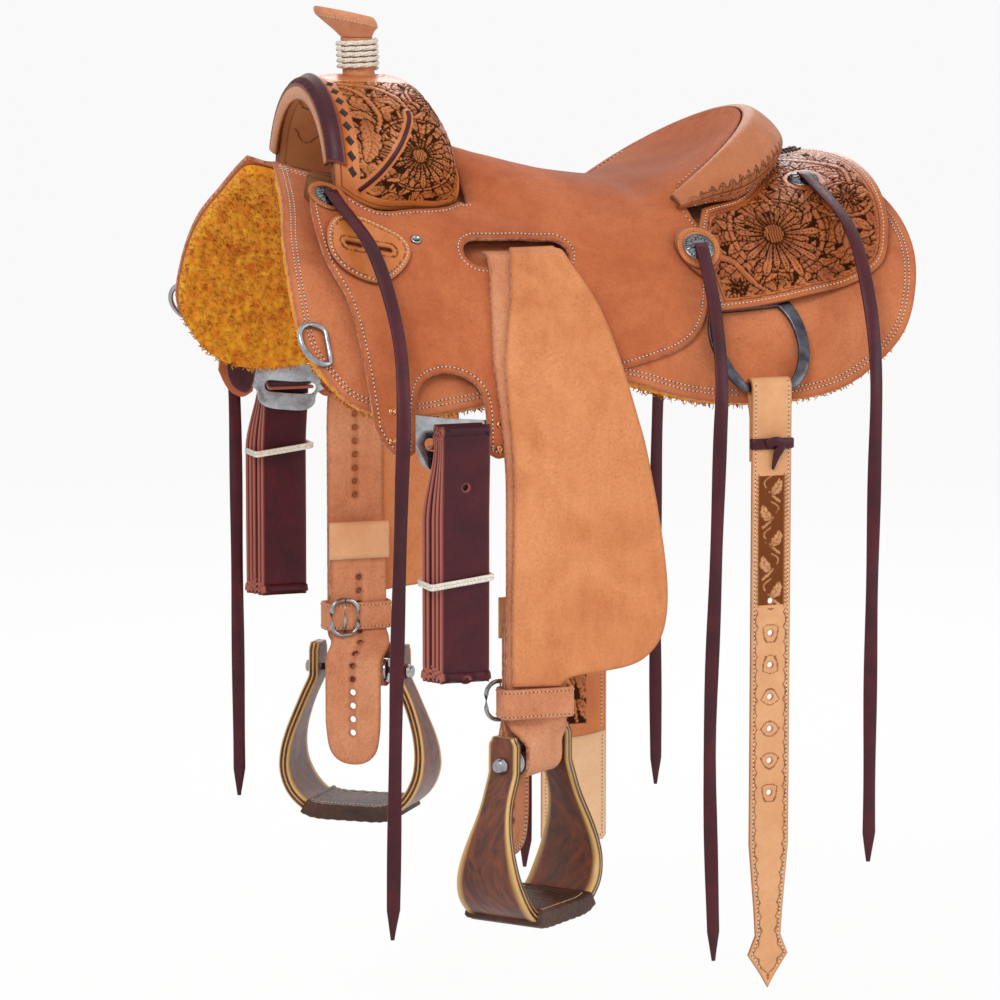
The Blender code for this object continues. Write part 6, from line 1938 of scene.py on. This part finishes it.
def make_patches():
    outline = flow((
        ((-0.200, 0.145), (-0.226, 0.149), (-0.243, 0.170), (-0.245, 0.196), (-0.230, 0.214), (-0.199, 0.220),
         (-0.172, 0.202), (-0.158, 0.180), (-0.163, 0.163), (-0.180, 0.153), (-0.200, 0.145)),
    ), 5)
    holes = [slot_outline(x, s, 0.0085, 0.0025, 8) for x, s in PATCH_SLOTS]

    def carve(p, depth):
        line = (np.abs(depth - 0.0058) < 0.0005)
        height = np.where(line, -0.0005, 0.0)
        tone = np.where(line, 0.7, 0.0)
        for x, s in PATCH_SLOTS:
            d = np.hypot(np.maximum(np.abs(p[:, 0] - x) - 0.006, 0.0), np.abs(p[:, 1] - s))
            scallop = 0.0068 + 0.0009 * np.abs(np.sin((p[:, 0] + 0.3 * p[:, 1]) * 900))
            ring = np.abs(d - scallop) < 0.0006
            height = np.where(ring, -0.0005, height)
            tone = np.where(ring, 0.75, tone)
        return height, tone
    for label, side in SIDES:
        shape = on_side(lambda x, s: seat_top(x, s) + FIT, PATCH_T, side)
        panel(label + "_keeper_leather", outline, shape, PATCH_T, TOOLED, "saddle", 0.0016, 0.0024, holes,
              relief=carve, node=label + "_keeper_patch", slot="tan_leather", under=0.006, flip=side < 0)
        dense = resample(outline, FINE)
        stitched(label + "_keeper_stitching", [(inset(dense, 0.0032), shape, True)], "saddle")
        ply = [shape(x, s, 0.5) for x, s in inset(dense, 0.0003)]
        rope(label + "_keeper_ply", ply, 0.00045, DARK_THREAD, "saddle", 6, closed=True)


def scallop(radius):
    def wave(r, a):
        share = r / radius
        petal = math.cos(8.0 * a)
        if share > 0.93:
            return 0.0, 0.0
        if share > 0.80:
            return 0.0002 * math.cos(32.0 * a), 0.5 + 0.5 * math.cos(32.0 * a)
        if share > 0.30:
            line = 1.0 if abs(math.cos(8.0 * a)) < 0.30 or abs(share - 0.52 - 0.10 * petal) < 0.035 else 0.0
            return 0.0003 * petal, 0.92 * line
        return 0.0004, 0.0
    return wave


def beaded(x, s):
    """A ring of beads, as the relief of a rosette round (x, s)."""
    def relief(p, depth):
        a = np.arctan2(p[:, 1] - s, p[:, 0] - x)
        r = np.hypot(p[:, 0] - x, p[:, 1] - s)
        beads = np.abs(r - 0.0190) < 0.0016
        ball = np.abs(np.sin(a * 20.0)) ** 0.5
        height = np.where(beads, 0.0006 * ball, -0.0003 * (r > 0.0168))
        return height, np.where(beads, 0.9 * (1.0 - ball), 0.45 * (np.abs(r - 0.0169) < 0.0006))
    return relief


def facing_shape(spot, normal, x, s):
    """A flat disc on a surface, laid out round (x, s)."""
    across = Vector((1.0, 0.0, 0.0))
    across = (across - normal * across.dot(normal)).normalized()
    other = normal.cross(across)

    def shape(u, v, w):
        return spot + across * (u - x) + other * (v - s) + normal * (0.0016 * w)
    return shape


def make_conchos():
    for place, x, s, surface in CONCHOS:
        for label, side in SIDES:
            spot, normal = facing(surface, x, s, side)
            lift = TOUCH
            if place == "seat":
                shape = on_side(lambda u, v: jockey_top(u, v) + FIT, ROSETTE_T, side)

                panel(label + "_rosette_leather", ring_outline(x, s, ROSETTE_R, 48), shape, ROSETTE_T, TOOLED,
                      "saddle", 0.0011, 0.0025, relief=beaded(x, s), node=label + "_seat_rosette", slot="tan_leather",
                      under=0.006, flip=side < 0)
                lift += ROSETTE_T + FIT
            if place == "front":
                ring_shape = facing_shape(spot, normal, x, s)
                panel(label + "_front_rosette", ring_outline(x, s, 0.0215, 48), ring_shape, 0.0016, TOOLED,
                      "saddle", 0.0011, 0.0022, (ring_outline(x, s, 0.0150, 40),), bevel=0.0005,
                      relief=beaded(x, s), slot="tan_leather", under=0.006, flip=True)
            profile = [(CONCHO_R, 0.0)]
            for i in range(24):
                r = CONCHO_R * (1.0 - i / 24.0)
                share = r / CONCHO_R
                profile.append((r * 0.995, CONCHO_DOME * (1.0 - share ** 2.2) * 0.92 + 0.0004))
            profile.append((0.0002, CONCHO_DOME * 0.94 + 0.0004))
            obj = disc(label + "_" + place + "_concho_silver", spot + normal * lift, normal, profile, SILVER,
                       "saddle", 96, scallop(CONCHO_R))
            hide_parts(label + "_" + place + "_concho")


def make_rings():
    def ring_shape(side):
        def shape(u, s, w):
            d = ring_base(s) + RING_T * w
            point = side_point(RING_X + u, s, d, side)
            level = side_point(RING_X, s, d, side)
            level.x = point.x
            return point.lerp(level, smooth((s - 0.262) / 0.050))
        return shape
    for label, side in SIDES:
        panel(label + "_rear_ring_steel", flow(RING_OUTER, 6), ring_shape(side), RING_T, DARK_STEEL, "saddle",
              0.0040, 0.0022, (flow(RING_INNER, 6),), bevel=0.0016, node=label + "_rear_ring", slot="dark_steel",
              flip=side < 0)
        height = SKIRT_TOP + 2.0 * TOUCH + DEE_WIRE
        loop = []
        for i in range(33):
            angle = math.pi * (-0.5 + i / 32)
            loop.append((-0.010 - DEE_R * math.cos(angle), DEE_R * math.sin(angle)))
        loop += [(-0.0045, DEE_R - 0.0008), (-0.001, DEE_R - 0.004), (-0.001, DEE_R * 0.4), (-0.001, 0.0),
                 (-0.001, -DEE_R * 0.4), (-0.001, 0.004 - DEE_R), (-0.0045, 0.0008 - DEE_R)]
        points = [side_point(DEE_X + x, DEE_S + s, height, side) for x, s in loop]
        dee = rope(label + "_front_dee_steel", points, DEE_WIRE, BRIGHT, label + "_front_dee", 14, True)
        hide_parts(label + "_front_dee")


# Fenders, stirrup leathers, hobbles

def make_fenders():
    for label, side in SIDES:
        def shape(x, length, w):
            point, outward = hang_curve(x, length, fender_base, side)
            return twisted(point + outward * FENDER_T * w, side)

        def nap(p, depth):
            groove = -0.0004 * np.exp(-((depth - 0.0060) / 0.0010) ** 2)
            return groove, -1.0 * groove * 600.0
        outline = flow(FENDER, 7)
        panel(label + "_fender_leather", outline, shape, FENDER_T, FENDER_LOOK, label + "_fender", 0.0050, 0.0032,
              relief=nap, node=label + "_fender", slot="roughout", flip=side > 0)


KEEPER_Z = (-0.3480, -0.3070)
KEEPER_SECTION = ((-0.0345, 0.0), (-0.0345, 0.0022), (-0.0330, 0.0034), (0.0, 0.0038), (0.0330, 0.0034),
                  (0.0345, 0.0022), (0.0345, 0.0), (0.0330, -0.0002), (0.0, 0.0008), (-0.0330, -0.0002))
TAIL_SEWN = 0.235           # length of the tail that has two seams
TAIL_SEAMS = (0.0042, 0.0075)


def make_leathers():
    path = leather_path()
    at, lengths = strap_shape(path)
    free = STRAIGHT + HANG_POINT.z - path[0][1]
    total = free + lengths[-1]
    half = LEATHER_W / 2
    front = flow((((-0.012, 0.0), (-0.014, 0.030), (-0.022, 0.070), (-half, 0.130)), ((-half, 0.130), (-half, free))),
                 5)
    end = flow((((-half, total - 0.045), (-0.027, total - 0.014), (-0.012, total), (0.012, total),
                 (0.027, total - 0.014), (half, total - 0.045)),), 5)
    outline = front + [(-half, total - 0.060)] + end + [(half, total - 0.060), (half, 0.0)]
    holes = [ring_outline(0.0, total - 0.034 - TAIL_HOLE_PITCH * i, TAIL_HOLE_R, 14) for i in range(13)]
    holes += [ring_outline(0.0, 0.215 + TAIL_HOLE_PITCH * i, TAIL_HOLE_R, 14) for i in range(9)]
    for label, side in SIDES:
        def shape(u, v, w):
            if v < free:
                point, outward = hang_curve(LEATHER_X + u, v, leather_base, side)
                return twisted(point + outward * STRAP_T * w, side)
            out, z, dx, dz = at(v - free)
            out -= dz * STRAP_T * w
            z += dx * STRAP_T * w
            return twisted(Vector((LEATHER_X + u, side * out, z)), side)
        panel(label + "_stirrup_strap", outline, shape, STRAP_T, STRAP_LOOK, label + "_fender", 0.0050, 0.0026, holes,
              bevel=0.0009, node=label + "_stirrup_leather", slot="tan_leather", under=0.0070, flip=side > 0)
        rows = []
        for depth in TAIL_SEAMS:
            rows += seam(outline, depth, shape, lambda p: p[1] > total - TAIL_SEWN)
        stitched(label + "_strap_stitching", rows, label + "_fender")

        # Keeper round the fold of the tail, inside the leg
        mid = HANG_Y - UP_GAP - 2.0 * STRAP_T - TAIL_GAP
        rows = []
        for z in np.linspace(KEEPER_Z[0], KEEPER_Z[1], 7):
            rows.append([Vector((LEATHER_X + x, side * (mid - 0.0005 - y), z)) for x, y in KEEPER_SECTION])
        sweep(label + "_strap_keeper", rows, KEEPER_LOOK, label + "_fender")


def split(points, gap=0.02):
    """Runs of a path between its jumps."""
    out = [[points[0]]]
    for a, b in zip(points, points[1:]):
        if math.dist(a, b) > gap:
            out.append([])
        out[-1].append(b)
    return [run for run in out if len(run) > 3]


def rounded_loop(half_w, half_h, radius, per_corner=7):
    out = []
    for corner, (across, up) in enumerate(((1, 1), (-1, 1), (-1, -1), (1, -1))):
        for i in range(per_corner):
            angle = math.pi / 2 * (corner + i / (per_corner - 1))
            out.append((across * (half_w - radius) + radius * math.cos(angle),
                        up * (half_h - radius) + radius * math.sin(angle)))
    return out


BUCKLE_X = {"near": -0.030, "off": -0.019}      # from the strap's middle


def make_hobbles():
    outer = HANG_Y + STRAP_T + FIT + FENDER_T + 0.0014
    inner = HANG_Y - UP_GAP - 2.0 * STRAP_T - TAIL_GAP - 0.0014
    middle = (outer + inner) / 2
    depth = (outer - inner) / 2
    half = LEATHER_W / 2 + 0.0030
    for label, side in SIDES:
        def place(x, y, z):
            point = Vector((LEATHER_X + x, side * (middle + y), HOBBLE_Z))
            return twisted(point, side) + Vector((0.0, 0.0, z))
        profile = [(0.0, -0.5), (0.85, -0.5), (1.0, -0.455), (1.0, 0.455), (0.85, 0.5), (0.0, 0.5)]
        rings = []
        loop_in = rounded_loop(half, depth, 0.0050, 8)
        loop_out = rounded_loop(half + HOBBLE_T, depth + HOBBLE_T, 0.0050 + HOBBLE_T, 8)
        for (ax, ay), (bx, by) in zip(loop_in, loop_out):
            rings.append([place(mix(ax, bx, t), mix(ay, by, t), z * HOBBLE_W) for t, z in profile])
        obj = sweep(label + "_hobble_leather", rings, STRAP_LOOK, label + "_fender", True)
        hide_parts(label + "_hobble_strap")
        path = loop_out + loop_out[:1]
        for k, z in enumerate((-HOBBLE_W / 2 + 0.0030, HOBBLE_W / 2 - 0.0030)):
            line = [(u, z) for u in np.arange(0.0, lengths_of(path)[-1], 0.003)]
            at = strap_shape(path)[0]

            def wrap(u, v, w, at=at):
                x, y, dx, dy = at(u)
                return place(x + dy * (w - 1.0) * 0.002, y - dx * (w - 1.0) * 0.002, v)
            stitched(label + "_hobble_stitching_%d" % k, [(line, wrap, False)], label + "_fender", PALE_THREAD)
        across = BUCKLE_X[label]
        away = -depth - HOBBLE_T - TOUCH - BUCKLE_WIRE
        loop = [place(across + x, away, z) for x, z in rounded_loop(BUCKLE_W / 2, BUCKLE_H / 2, 0.0130, 8)]
        buckle = rope(label + "_hobble_buckle_steel", loop, BUCKLE_WIRE, BRIGHT, label + "_fender", 12, True)
        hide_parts(label + "_hobble_buckle")
        rope(label + "_hobble_tongue", [place(across, away + 0.0015, -BUCKLE_H / 2), place(across, away - 0.0018, 0.0),
                                        place(across, away - 0.0014, BUCKLE_H / 2 + 0.001)],
             0.0014, BRIGHT, label + "_fender", 8)


# Stirrups

def hub_of(side):
    return Matrix.Translation((LEATHER_X, side * BOLT_Y, BOLT_Z)) @ Matrix.Rotation(-side * STIRRUP_TURN, 4, "Z")


LAMINATIONS = ((0.0, 1.0), (0.16, 1.0), (0.16, 0.0), (0.42, 0.0), (0.42, 1.0), (0.58, 1.0), (0.58, 0.0), (0.84, 0.0),
               (0.84, 1.0), (1.0, 1.0))     # place through the wood and tone, pale or dark
BOW_STEPS = 150


def rounded_off(w):
    """How far the wood's edge draws back near its two faces."""
    near = min(w, 1.0 - w)
    return 0.0012 * (1.0 - near / 0.16) if near < 0.16 else 0.0


def make_stirrups():
    half = list(STIRRUP_BOW)
    path = spline_points([(-x, z) for x, z in half] + [(0.0, -STIRRUP_DROP)]
                         + [(x, z) for x, z in reversed(half)], 8)
    path = [(x, max(z, -STIRRUP_DROP)) for x, z in path]
    at, lengths = strap_shape(path)
    total = lengths[-1]

    def depth_at(v):
        from_top = min(v, total - v)
        return mix(ARM_DEPTH, TREAD_DEPTH, smooth((from_top - 0.060) / 0.115)) / 2
    for label, side in SIDES:
        hub = hub_of(side)

        def bow(u, v, w):
            out, z, dx, dz = at(v)
            return hub @ Vector((out + dz * WOOD_T * (w - 0.5), u, z - dx * WOOD_T * (w - 0.5)))
        verts, dark = [], []
        for i in range(BOW_STEPS + 1):
            v = total * i / BOW_STEPS
            d = depth_at(v) - 0.004 * (1.0 - smooth(min(v, total - v) / 0.008))
            # each lamination has its own pair of rings, so that the strips show as bands
            row = [(d - rounded_off(w), w, tone) for w, tone in LAMINATIONS]
            row += [((d - 0.0014) * share, 1.0, 0.0) for share in (0.8, 0.4, 0.0, -0.4, -0.8)]
            row += [(-d + rounded_off(w), w, tone) for w, tone in reversed(LAMINATIONS)]
            row += [((d - 0.0014) * share, 0.0, 0.0) for share in (-0.8, -0.4, 0.0, 0.4, 0.8)]
            verts += [bow(u, v, w) for u, w, _ in row]
            dark += [tone for _, _, tone in row]
        faces = tube_faces(0, len(row), BOW_STEPS + 1)
        obj = new_mesh(label + "_stirrup_bow", verts, faces, WALNUT, label + "_stirrup", True, {"dark": dark})
        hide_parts(label + "_stirrup")

        # Tread cover: worn leather with a row of stitches along each edge
        rings = []
        ts = [v for v in lengths if abs(v - total / 2) < TREAD_HALF_L]
        for i, v in enumerate(ts):
            out, z, dx, dz = at(v)
            half_w = TREAD_DEPTH / 2 + 2 * TOUCH + TREAD_T
            half_h = WOOD_T / 2 + TOUCH + TREAD_T + 0.0004 * math.sin(i * 1.9)
            rings.append([hub @ Vector((out - dz * y, x, z + dx * y))
                          for x, y in rounded_loop(half_w, half_h, 0.0036, 6)])
        cover = sweep(label + "_tread_leather", rings, TREAD_LOOK, label + "_stirrup")
        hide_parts(label + "_tread_cover")
        rows = []
        for k in (-1.0, 1.0):
            line = [(float(v), k * (TREAD_DEPTH / 2 - 0.006)) for v in np.linspace(ts[1], ts[-2], 30)]

            def face(v, u, w):
                out, z, dx, dz = at(v)
                y = WOOD_T / 2 + TOUCH + TREAD_T - 0.003 * (1.0 - w)
                return hub @ Vector((out - dz * y, u, z + dx * y))
            rows.append((line, face, False))
        stitched(label + "_tread_stitching", rows, label + "_stirrup", PALE_THREAD)

        # Bolt: sleeve roller, washers and nuts
        arm = STIRRUP_BOW[2][0] + WOOD_T / 2 + TOUCH
        roller_r = LOOP_R * math.cos(math.pi / 16) - TOUCH
        roller = LEATHER_W / 2 + ROLLER_OVER
        profile = [(0.0004, arm + NUT_L), (NUT_R * 0.62, arm + NUT_L - 0.0002), (NUT_R * 0.80, arm + NUT_L - 0.0010),
                   (NUT_R * 0.86, arm + 0.0022), (NUT_R, arm + 0.0018), (NUT_R, arm), (BOLT_R, arm), (BOLT_R, roller),
                   (roller_r * 0.96, roller), (roller_r, roller - 0.0010), (roller_r, 0.0)]
        profile += [(r, -h) for r, h in reversed(profile[:-1])]
        rings = [[hub @ Vector((h, r * math.cos(math.tau * j / 36), r * math.sin(math.tau * j / 36)))
                  for j in range(36)] for r, h in profile]
        bolt = sweep(label + "_stirrup_bolt_steel", rings, BRIGHT, label + "_stirrup")
        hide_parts(label + "_stirrup_bolt")


# Flank billet, flank cinch, latigos

CINCH_KEEPER = (0.122, 0.210)           # along the cinch
BILLET_PANEL = (0.398, 0.530)           # along the billet
BILLET_HOLES = (0.204, 0.033, 7)        # first hole, pitch and how many, as the photograph shows them
LOOP_L = 0.090              # of the strap's last stretch, round the ring, which has no stitches


def billet_carving(p, depth):
    v0, v1 = BILLET_PANEL
    inner = (p[:, 1] > v0) & (p[:, 1] < v1) & (np.abs(p[:, 0]) < 0.0135)
    c = Carving(p, inner.astype(float))
    step = (v1 - v0) / 5.0
    for i in range(5):
        y = v0 + step * i
        way = 1.0 if i % 2 else -1.0
        c.stem(((-0.009 * way, y), (0.002 * way, y + step * 0.35), (0.008 * way, y + step * 0.75),
                (0.0, y + step)), 0.0022)
        c.leaf(((0.000, y + step * 0.30), (-0.007 * way, y + step * 0.55), (-0.009 * way, y + step * 0.90)),
               0.0060, 3)
        c.petals((0.006 * way, y + step * 0.42), 0.0062, 0.3, 7)
    frame_line = np.abs(np.abs(p[:, 0]) - 0.0142) < 0.0005
    frame_line &= (p[:, 1] > v0 - 0.002) & (p[:, 1] < v1 + 0.002)
    c.tone = np.where(frame_line, 0.7, c.tone)
    c.height = np.where(frame_line, -0.0004, c.height)
    scal = (np.abs(p[:, 0]) > 0.0146) & (np.abs(p[:, 0]) < 0.0168) & (p[:, 1] > v0) & (p[:, 1] < v1)
    scal &= np.mod(p[:, 1], 0.0042) < 0.0018
    c.tone = np.where(scal, 0.6, c.tone)
    bows = 0.0075 - 0.0028 * np.abs(np.sin(p[:, 1] * math.pi / 0.0150)) ** 0.7
    arcs = (np.abs(depth - bows) < 0.0007) & (p[:, 1] < v0 - 0.004)
    c.tone = np.where(arcs, 0.75, c.tone)
    c.height = np.where(arcs, -0.0004, c.height)
    return c.height, c.tone


def make_flank():
    for label, side in SIDES:
        bar = ring_bar(side)
        centre = (abs(bar.y), bar.z)
        near = label == "near"
        end = BILLET_END_Z if near else CINCH_END_Z
        path = [(centre[0] + BILLET_LOOP_R, z) for z in (end, mix(end, centre[1], 0.5), centre[1] - 0.010)]
        for i in range(25):
            angle = math.pi * i / 24
            path.append((centre[0] + BILLET_LOOP_R * math.cos(angle), centre[1] + BILLET_LOOP_R * math.sin(angle)))
        path += [(centre[0] - BILLET_LOOP_R + 0.0045, centre[1] - 0.010),
                 (centre[0] + BILLET_LOOP_R - 0.0012, centre[1] - 0.030),
                 (centre[0] + BILLET_LOOP_R - 0.0008, centre[1] - 0.075)]
        at, lengths = strap_shape(path)
        total = lengths[-1]
        half = BILLET_W / 2

        def shape(u, v, w):
            out, z, dx, dz = at(min(max(v, 0.0), total))
            return Vector((RING_X + u, side * (out + dz * STRAP_T * w), z - dx * STRAP_T * w))
        if near:
            edge = [(0.008, 0.014), (0.022, 0.035), (0.014, 0.055), (half - 0.006, 0.080), (half, 0.150),
                    (half, total)]
            outline = [(0.0, 0.0)] + edge + [(-x, v) for x, v in reversed(edge)]
            first, pitch, number = BILLET_HOLES
            holes = [ring_outline(0.0, first + pitch * i, 0.0030, 18) for i in range(number)]
            panel("near_billet_leather", outline, shape, STRAP_T, BILLET_LOOK, "near_flank_billet", 0.0012, 0.0026,
                  holes, bevel=0.0009, relief=billet_carving, node="near_flank_billet", slot="billet_leather",
                  under=0.0060)
            rows = seam(outline, 0.0035, shape, lambda p: 0.02 < p[1] < total - LOOP_L)
            stitched("near_billet_stitching", rows, "near_flank_billet")
            lace_keeper(shape, side)
        else:
            wide = CINCH_W / 2
            edge = [(wide - 0.004, 0.0), (wide, 0.006), (wide, 0.350), (half + 0.004, 0.372), (half, 0.382),
                    (half, total)]
            outline = edge + [(-x, v) for x, v in reversed(edge)]

            def groove(p, depth):
                line = np.exp(-((depth - 0.0058) / 0.0010) ** 2)
                return -0.0004 * line, 0.25 * line
            panel("off_cinch_leather", outline, shape, STRAP_T, CINCH_LOOK, "off_flank_cinch", 0.0045, 0.0028, (),
                  bevel=0.0009, relief=groove, node="off_flank_cinch", slot="billet_leather", under=0.0090, flip=True)
            rows = seam(outline, 0.0058, shape, lambda p: p[1] < total - LOOP_L)
            stitched("off_cinch_stitching", rows, "off_flank_cinch")

            def behind(u, v, w):
                return shape(u, v, 1.0 - w)
            low, high = CINCH_KEEPER
            rows = seam(outline, 0.0050, behind, lambda p: not low < p[1] < high and p[1] < total - LOOP_L)
            stitched("off_cinch_lining_stitching", rows, "off_flank_cinch")
            cinch_keeper(behind, wide)


KEEPER_SHARE = 0.75         # the keeper's thickness as a share of the strap's


def cinch_keeper(behind, wide):
    """The tooled loop on the inner face of the cinch, level with the hobble strap."""
    low, high = CINCH_KEEPER
    middle = (low + high) / 2
    half = wide - 0.0025
    left, right = (-half, low + 0.004), (half, low + 0.004)
    outline = flow(((left, (0.0, low - 0.0015), right), (right, (half, high)), ((half, high), (-half, high)),
                    ((-half, high), left)), 5)

    def on(u, v, w):
        return behind(u, v, 1.15 + KEEPER_SHARE * w)

    def carve(p, depth):
        inner = (np.abs(p[:, 0] + 0.002) < 0.0155) & (np.abs(p[:, 1] - middle) < 0.0300)
        c = Carving(p, inner.astype(float))
        for way in (-1.0, 1.0):
            c.leaf(((0.0, middle + 0.026), (0.011 * way, middle + 0.012), (0.008 * way, middle - 0.004)), 0.0085, 3)
            c.leaf(((0.0, middle - 0.004), (0.009 * way, middle - 0.012), (0.012 * way, middle - 0.026)), 0.0070, 3)
        c.stem(((-0.012, middle + 0.024), (-0.003, middle + 0.004), (0.002, middle - 0.028)), 0.0036)
        c.petals((-0.002, middle + 0.004), 0.0080, 0.3, 8)
        return c.height, c.tone
    panel("off_cinch_keeper", outline, on, STRAP_T * KEEPER_SHARE, TOOLED, "off_flank_cinch", 0.0016, 0.0026,
          relief=carve, slot="billet_leather")
    rows = [([(side * (half - 0.0050), low + 0.008), (side * (half - 0.0050), high - 0.003)], on, False)
            for side in (-1.0, 1.0)]
    stitched("off_cinch_keeper_stitching", rows, "off_flank_cinch")


def lace_keeper(shape, side):
    """A burgundy lace tied round the doubled billet."""
    def band(v0, wide):
        rings = []
        loop = [(-0.0235, 0.2), (-0.0235, 1.3), (-0.0180, 1.75), (0.0, 1.85), (0.0180, 1.75), (0.0235, 1.3),
                (0.0235, 0.2), (0.0180, -1.9), (0.0, -2.0), (-0.0180, -1.9)]
        for k in (-0.5, -0.4, 0.4, 0.5):
            shrink = 0.93 if abs(k) > 0.45 else 1.0
            rings.append([shape(u * shrink, v0 + wide * k, w * shrink) for u, w in loop])
        return rings
    place = BILLET_PANEL[1] + 0.0330
    sweep("near_billet_keeper", band(place, 0.0110), BURGUNDY, "near_flank_billet")
    knot = [shape(u, place + dv, w) for u, dv, w in (
        (-0.0080, 0.0000, 2.2), (0.0000, 0.0030, 3.0), (0.0080, 0.0000, 2.6), (0.0030, -0.0120, 2.2),
        (0.0000, -0.0260, 1.6))]
    points = [Vector(p) for p in spline_points([tuple(k) for k in knot], 6)]
    rings = []
    for i, (p, (_, across, up)) in enumerate(zip(points, frames(points, Vector((0.0, side, 0.0))))):
        wide = 0.0048 * (1.0 - 0.7 * smooth((i / len(points) - 0.6) / 0.4))
        rings.append([p + across * math.cos(math.tau * j / 8) * wide + up * math.sin(math.tau * j / 8) * 0.0012
                      for j in range(8)])
    sweep("near_billet_keeper_knot", rings, BURGUNDY, "near_flank_billet")


LATIGO_DEEP = 0.036         # from the bundle's first layer to its last
LATIGO_SPREAD = 0.45        # how far a layer lies aside, per metre of that depth
LATIGO_HOLES = (0.130, 0.330)
LATIGO_TIES = {"near": -0.285, "off": -0.225}


def make_latigos():
    for label, side in SIDES:
        seat = side_point(LATIGO_X, PLATE_SLOT_S, PLATE_BASE + PLATE_T / 2, side)
        start = (abs(seat.y), seat.z + LATIGO_T / 2)
        path = spline_points(latigo_path(start), 3)
        at, lengths = strap_shape(path)
        total = lengths[-1]
        half = LATIGO_W / 2

        def shape(u, v, w):
            out, z, dx, dz = at(min(max(v, 0.0), total))
            out += dz * LATIGO_T * w
            z -= dx * LATIGO_T * w
            reach = out - start[0] - LATIGO_OUT
            fan = (LATIGO_DEEP - reach) if side < 0 else reach
            shift = LATIGO_SPREAD * min(max(fan, 0.0), LATIGO_DEEP)
            return Vector((LATIGO_X + u - shift * smooth((LATIGO_TOP_Z - z) / 0.080), side * out, z))
        outline = [(-half, 0.0), (half, 0.0), (half, total), (-half, total)]
        holes = [ring_outline(0.0, v, 0.0034, 16) for v in LATIGO_HOLES]

        def groove(p, depth):
            line = np.exp(-((depth - 0.0042) / 0.0008) ** 2) * (p[:, 1] > 0.03)
            return -0.0003 * line, 0.5 * line
        panel(label + "_latigo_strap", outline, shape, LATIGO_T, BURGUNDY, label + "_latigo", 0.0055, 0.0028, holes,
              bevel=0.0008, relief=groove, node=label + "_latigo", slot="burgundy_latigo", under=0.0080,
              flip=side < 0)

        # A white cord ties the bundle
        mid = start[0] + LATIGO_OUT + LATIGO_MID
        deep = LATIGO_PITCH * LATIGO_TURNS + LATIGO_T + 0.0010
        tie_z = LATIGO_TIES[label]
        for k, dz in enumerate((0.0, 0.0032)):
            loop = []
            for x, y in rounded_loop(half + 0.0075, deep, 0.0040, 8):
                loop.append(Vector((LATIGO_X - 0.0060 + x, side * (mid + y), tie_z + dz + 0.12 * x)))
            rope(label + "_latigo_tie_%d" % k, loop, 0.0018, ROPE_LOOK, label + "_latigo", 8, True)


def make_tree():
    for node in ("near_tree_bar", "off_tree_bar", "tree_fork", "tree_cantle"):
        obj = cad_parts[node]
        for spot in obj.material_slots:
            spot.material = TREE_LOOK


make_stage()
make_strings()
make_tree()
make_skirts()
make_fork()
make_horn()
make_seat()
make_cantle()
make_rear_jockeys()
make_rigging()
make_patches()
make_conchos()
make_rings()
make_fenders()
make_leathers()
make_hobbles()
make_stirrups()
make_flank()
make_latigos()
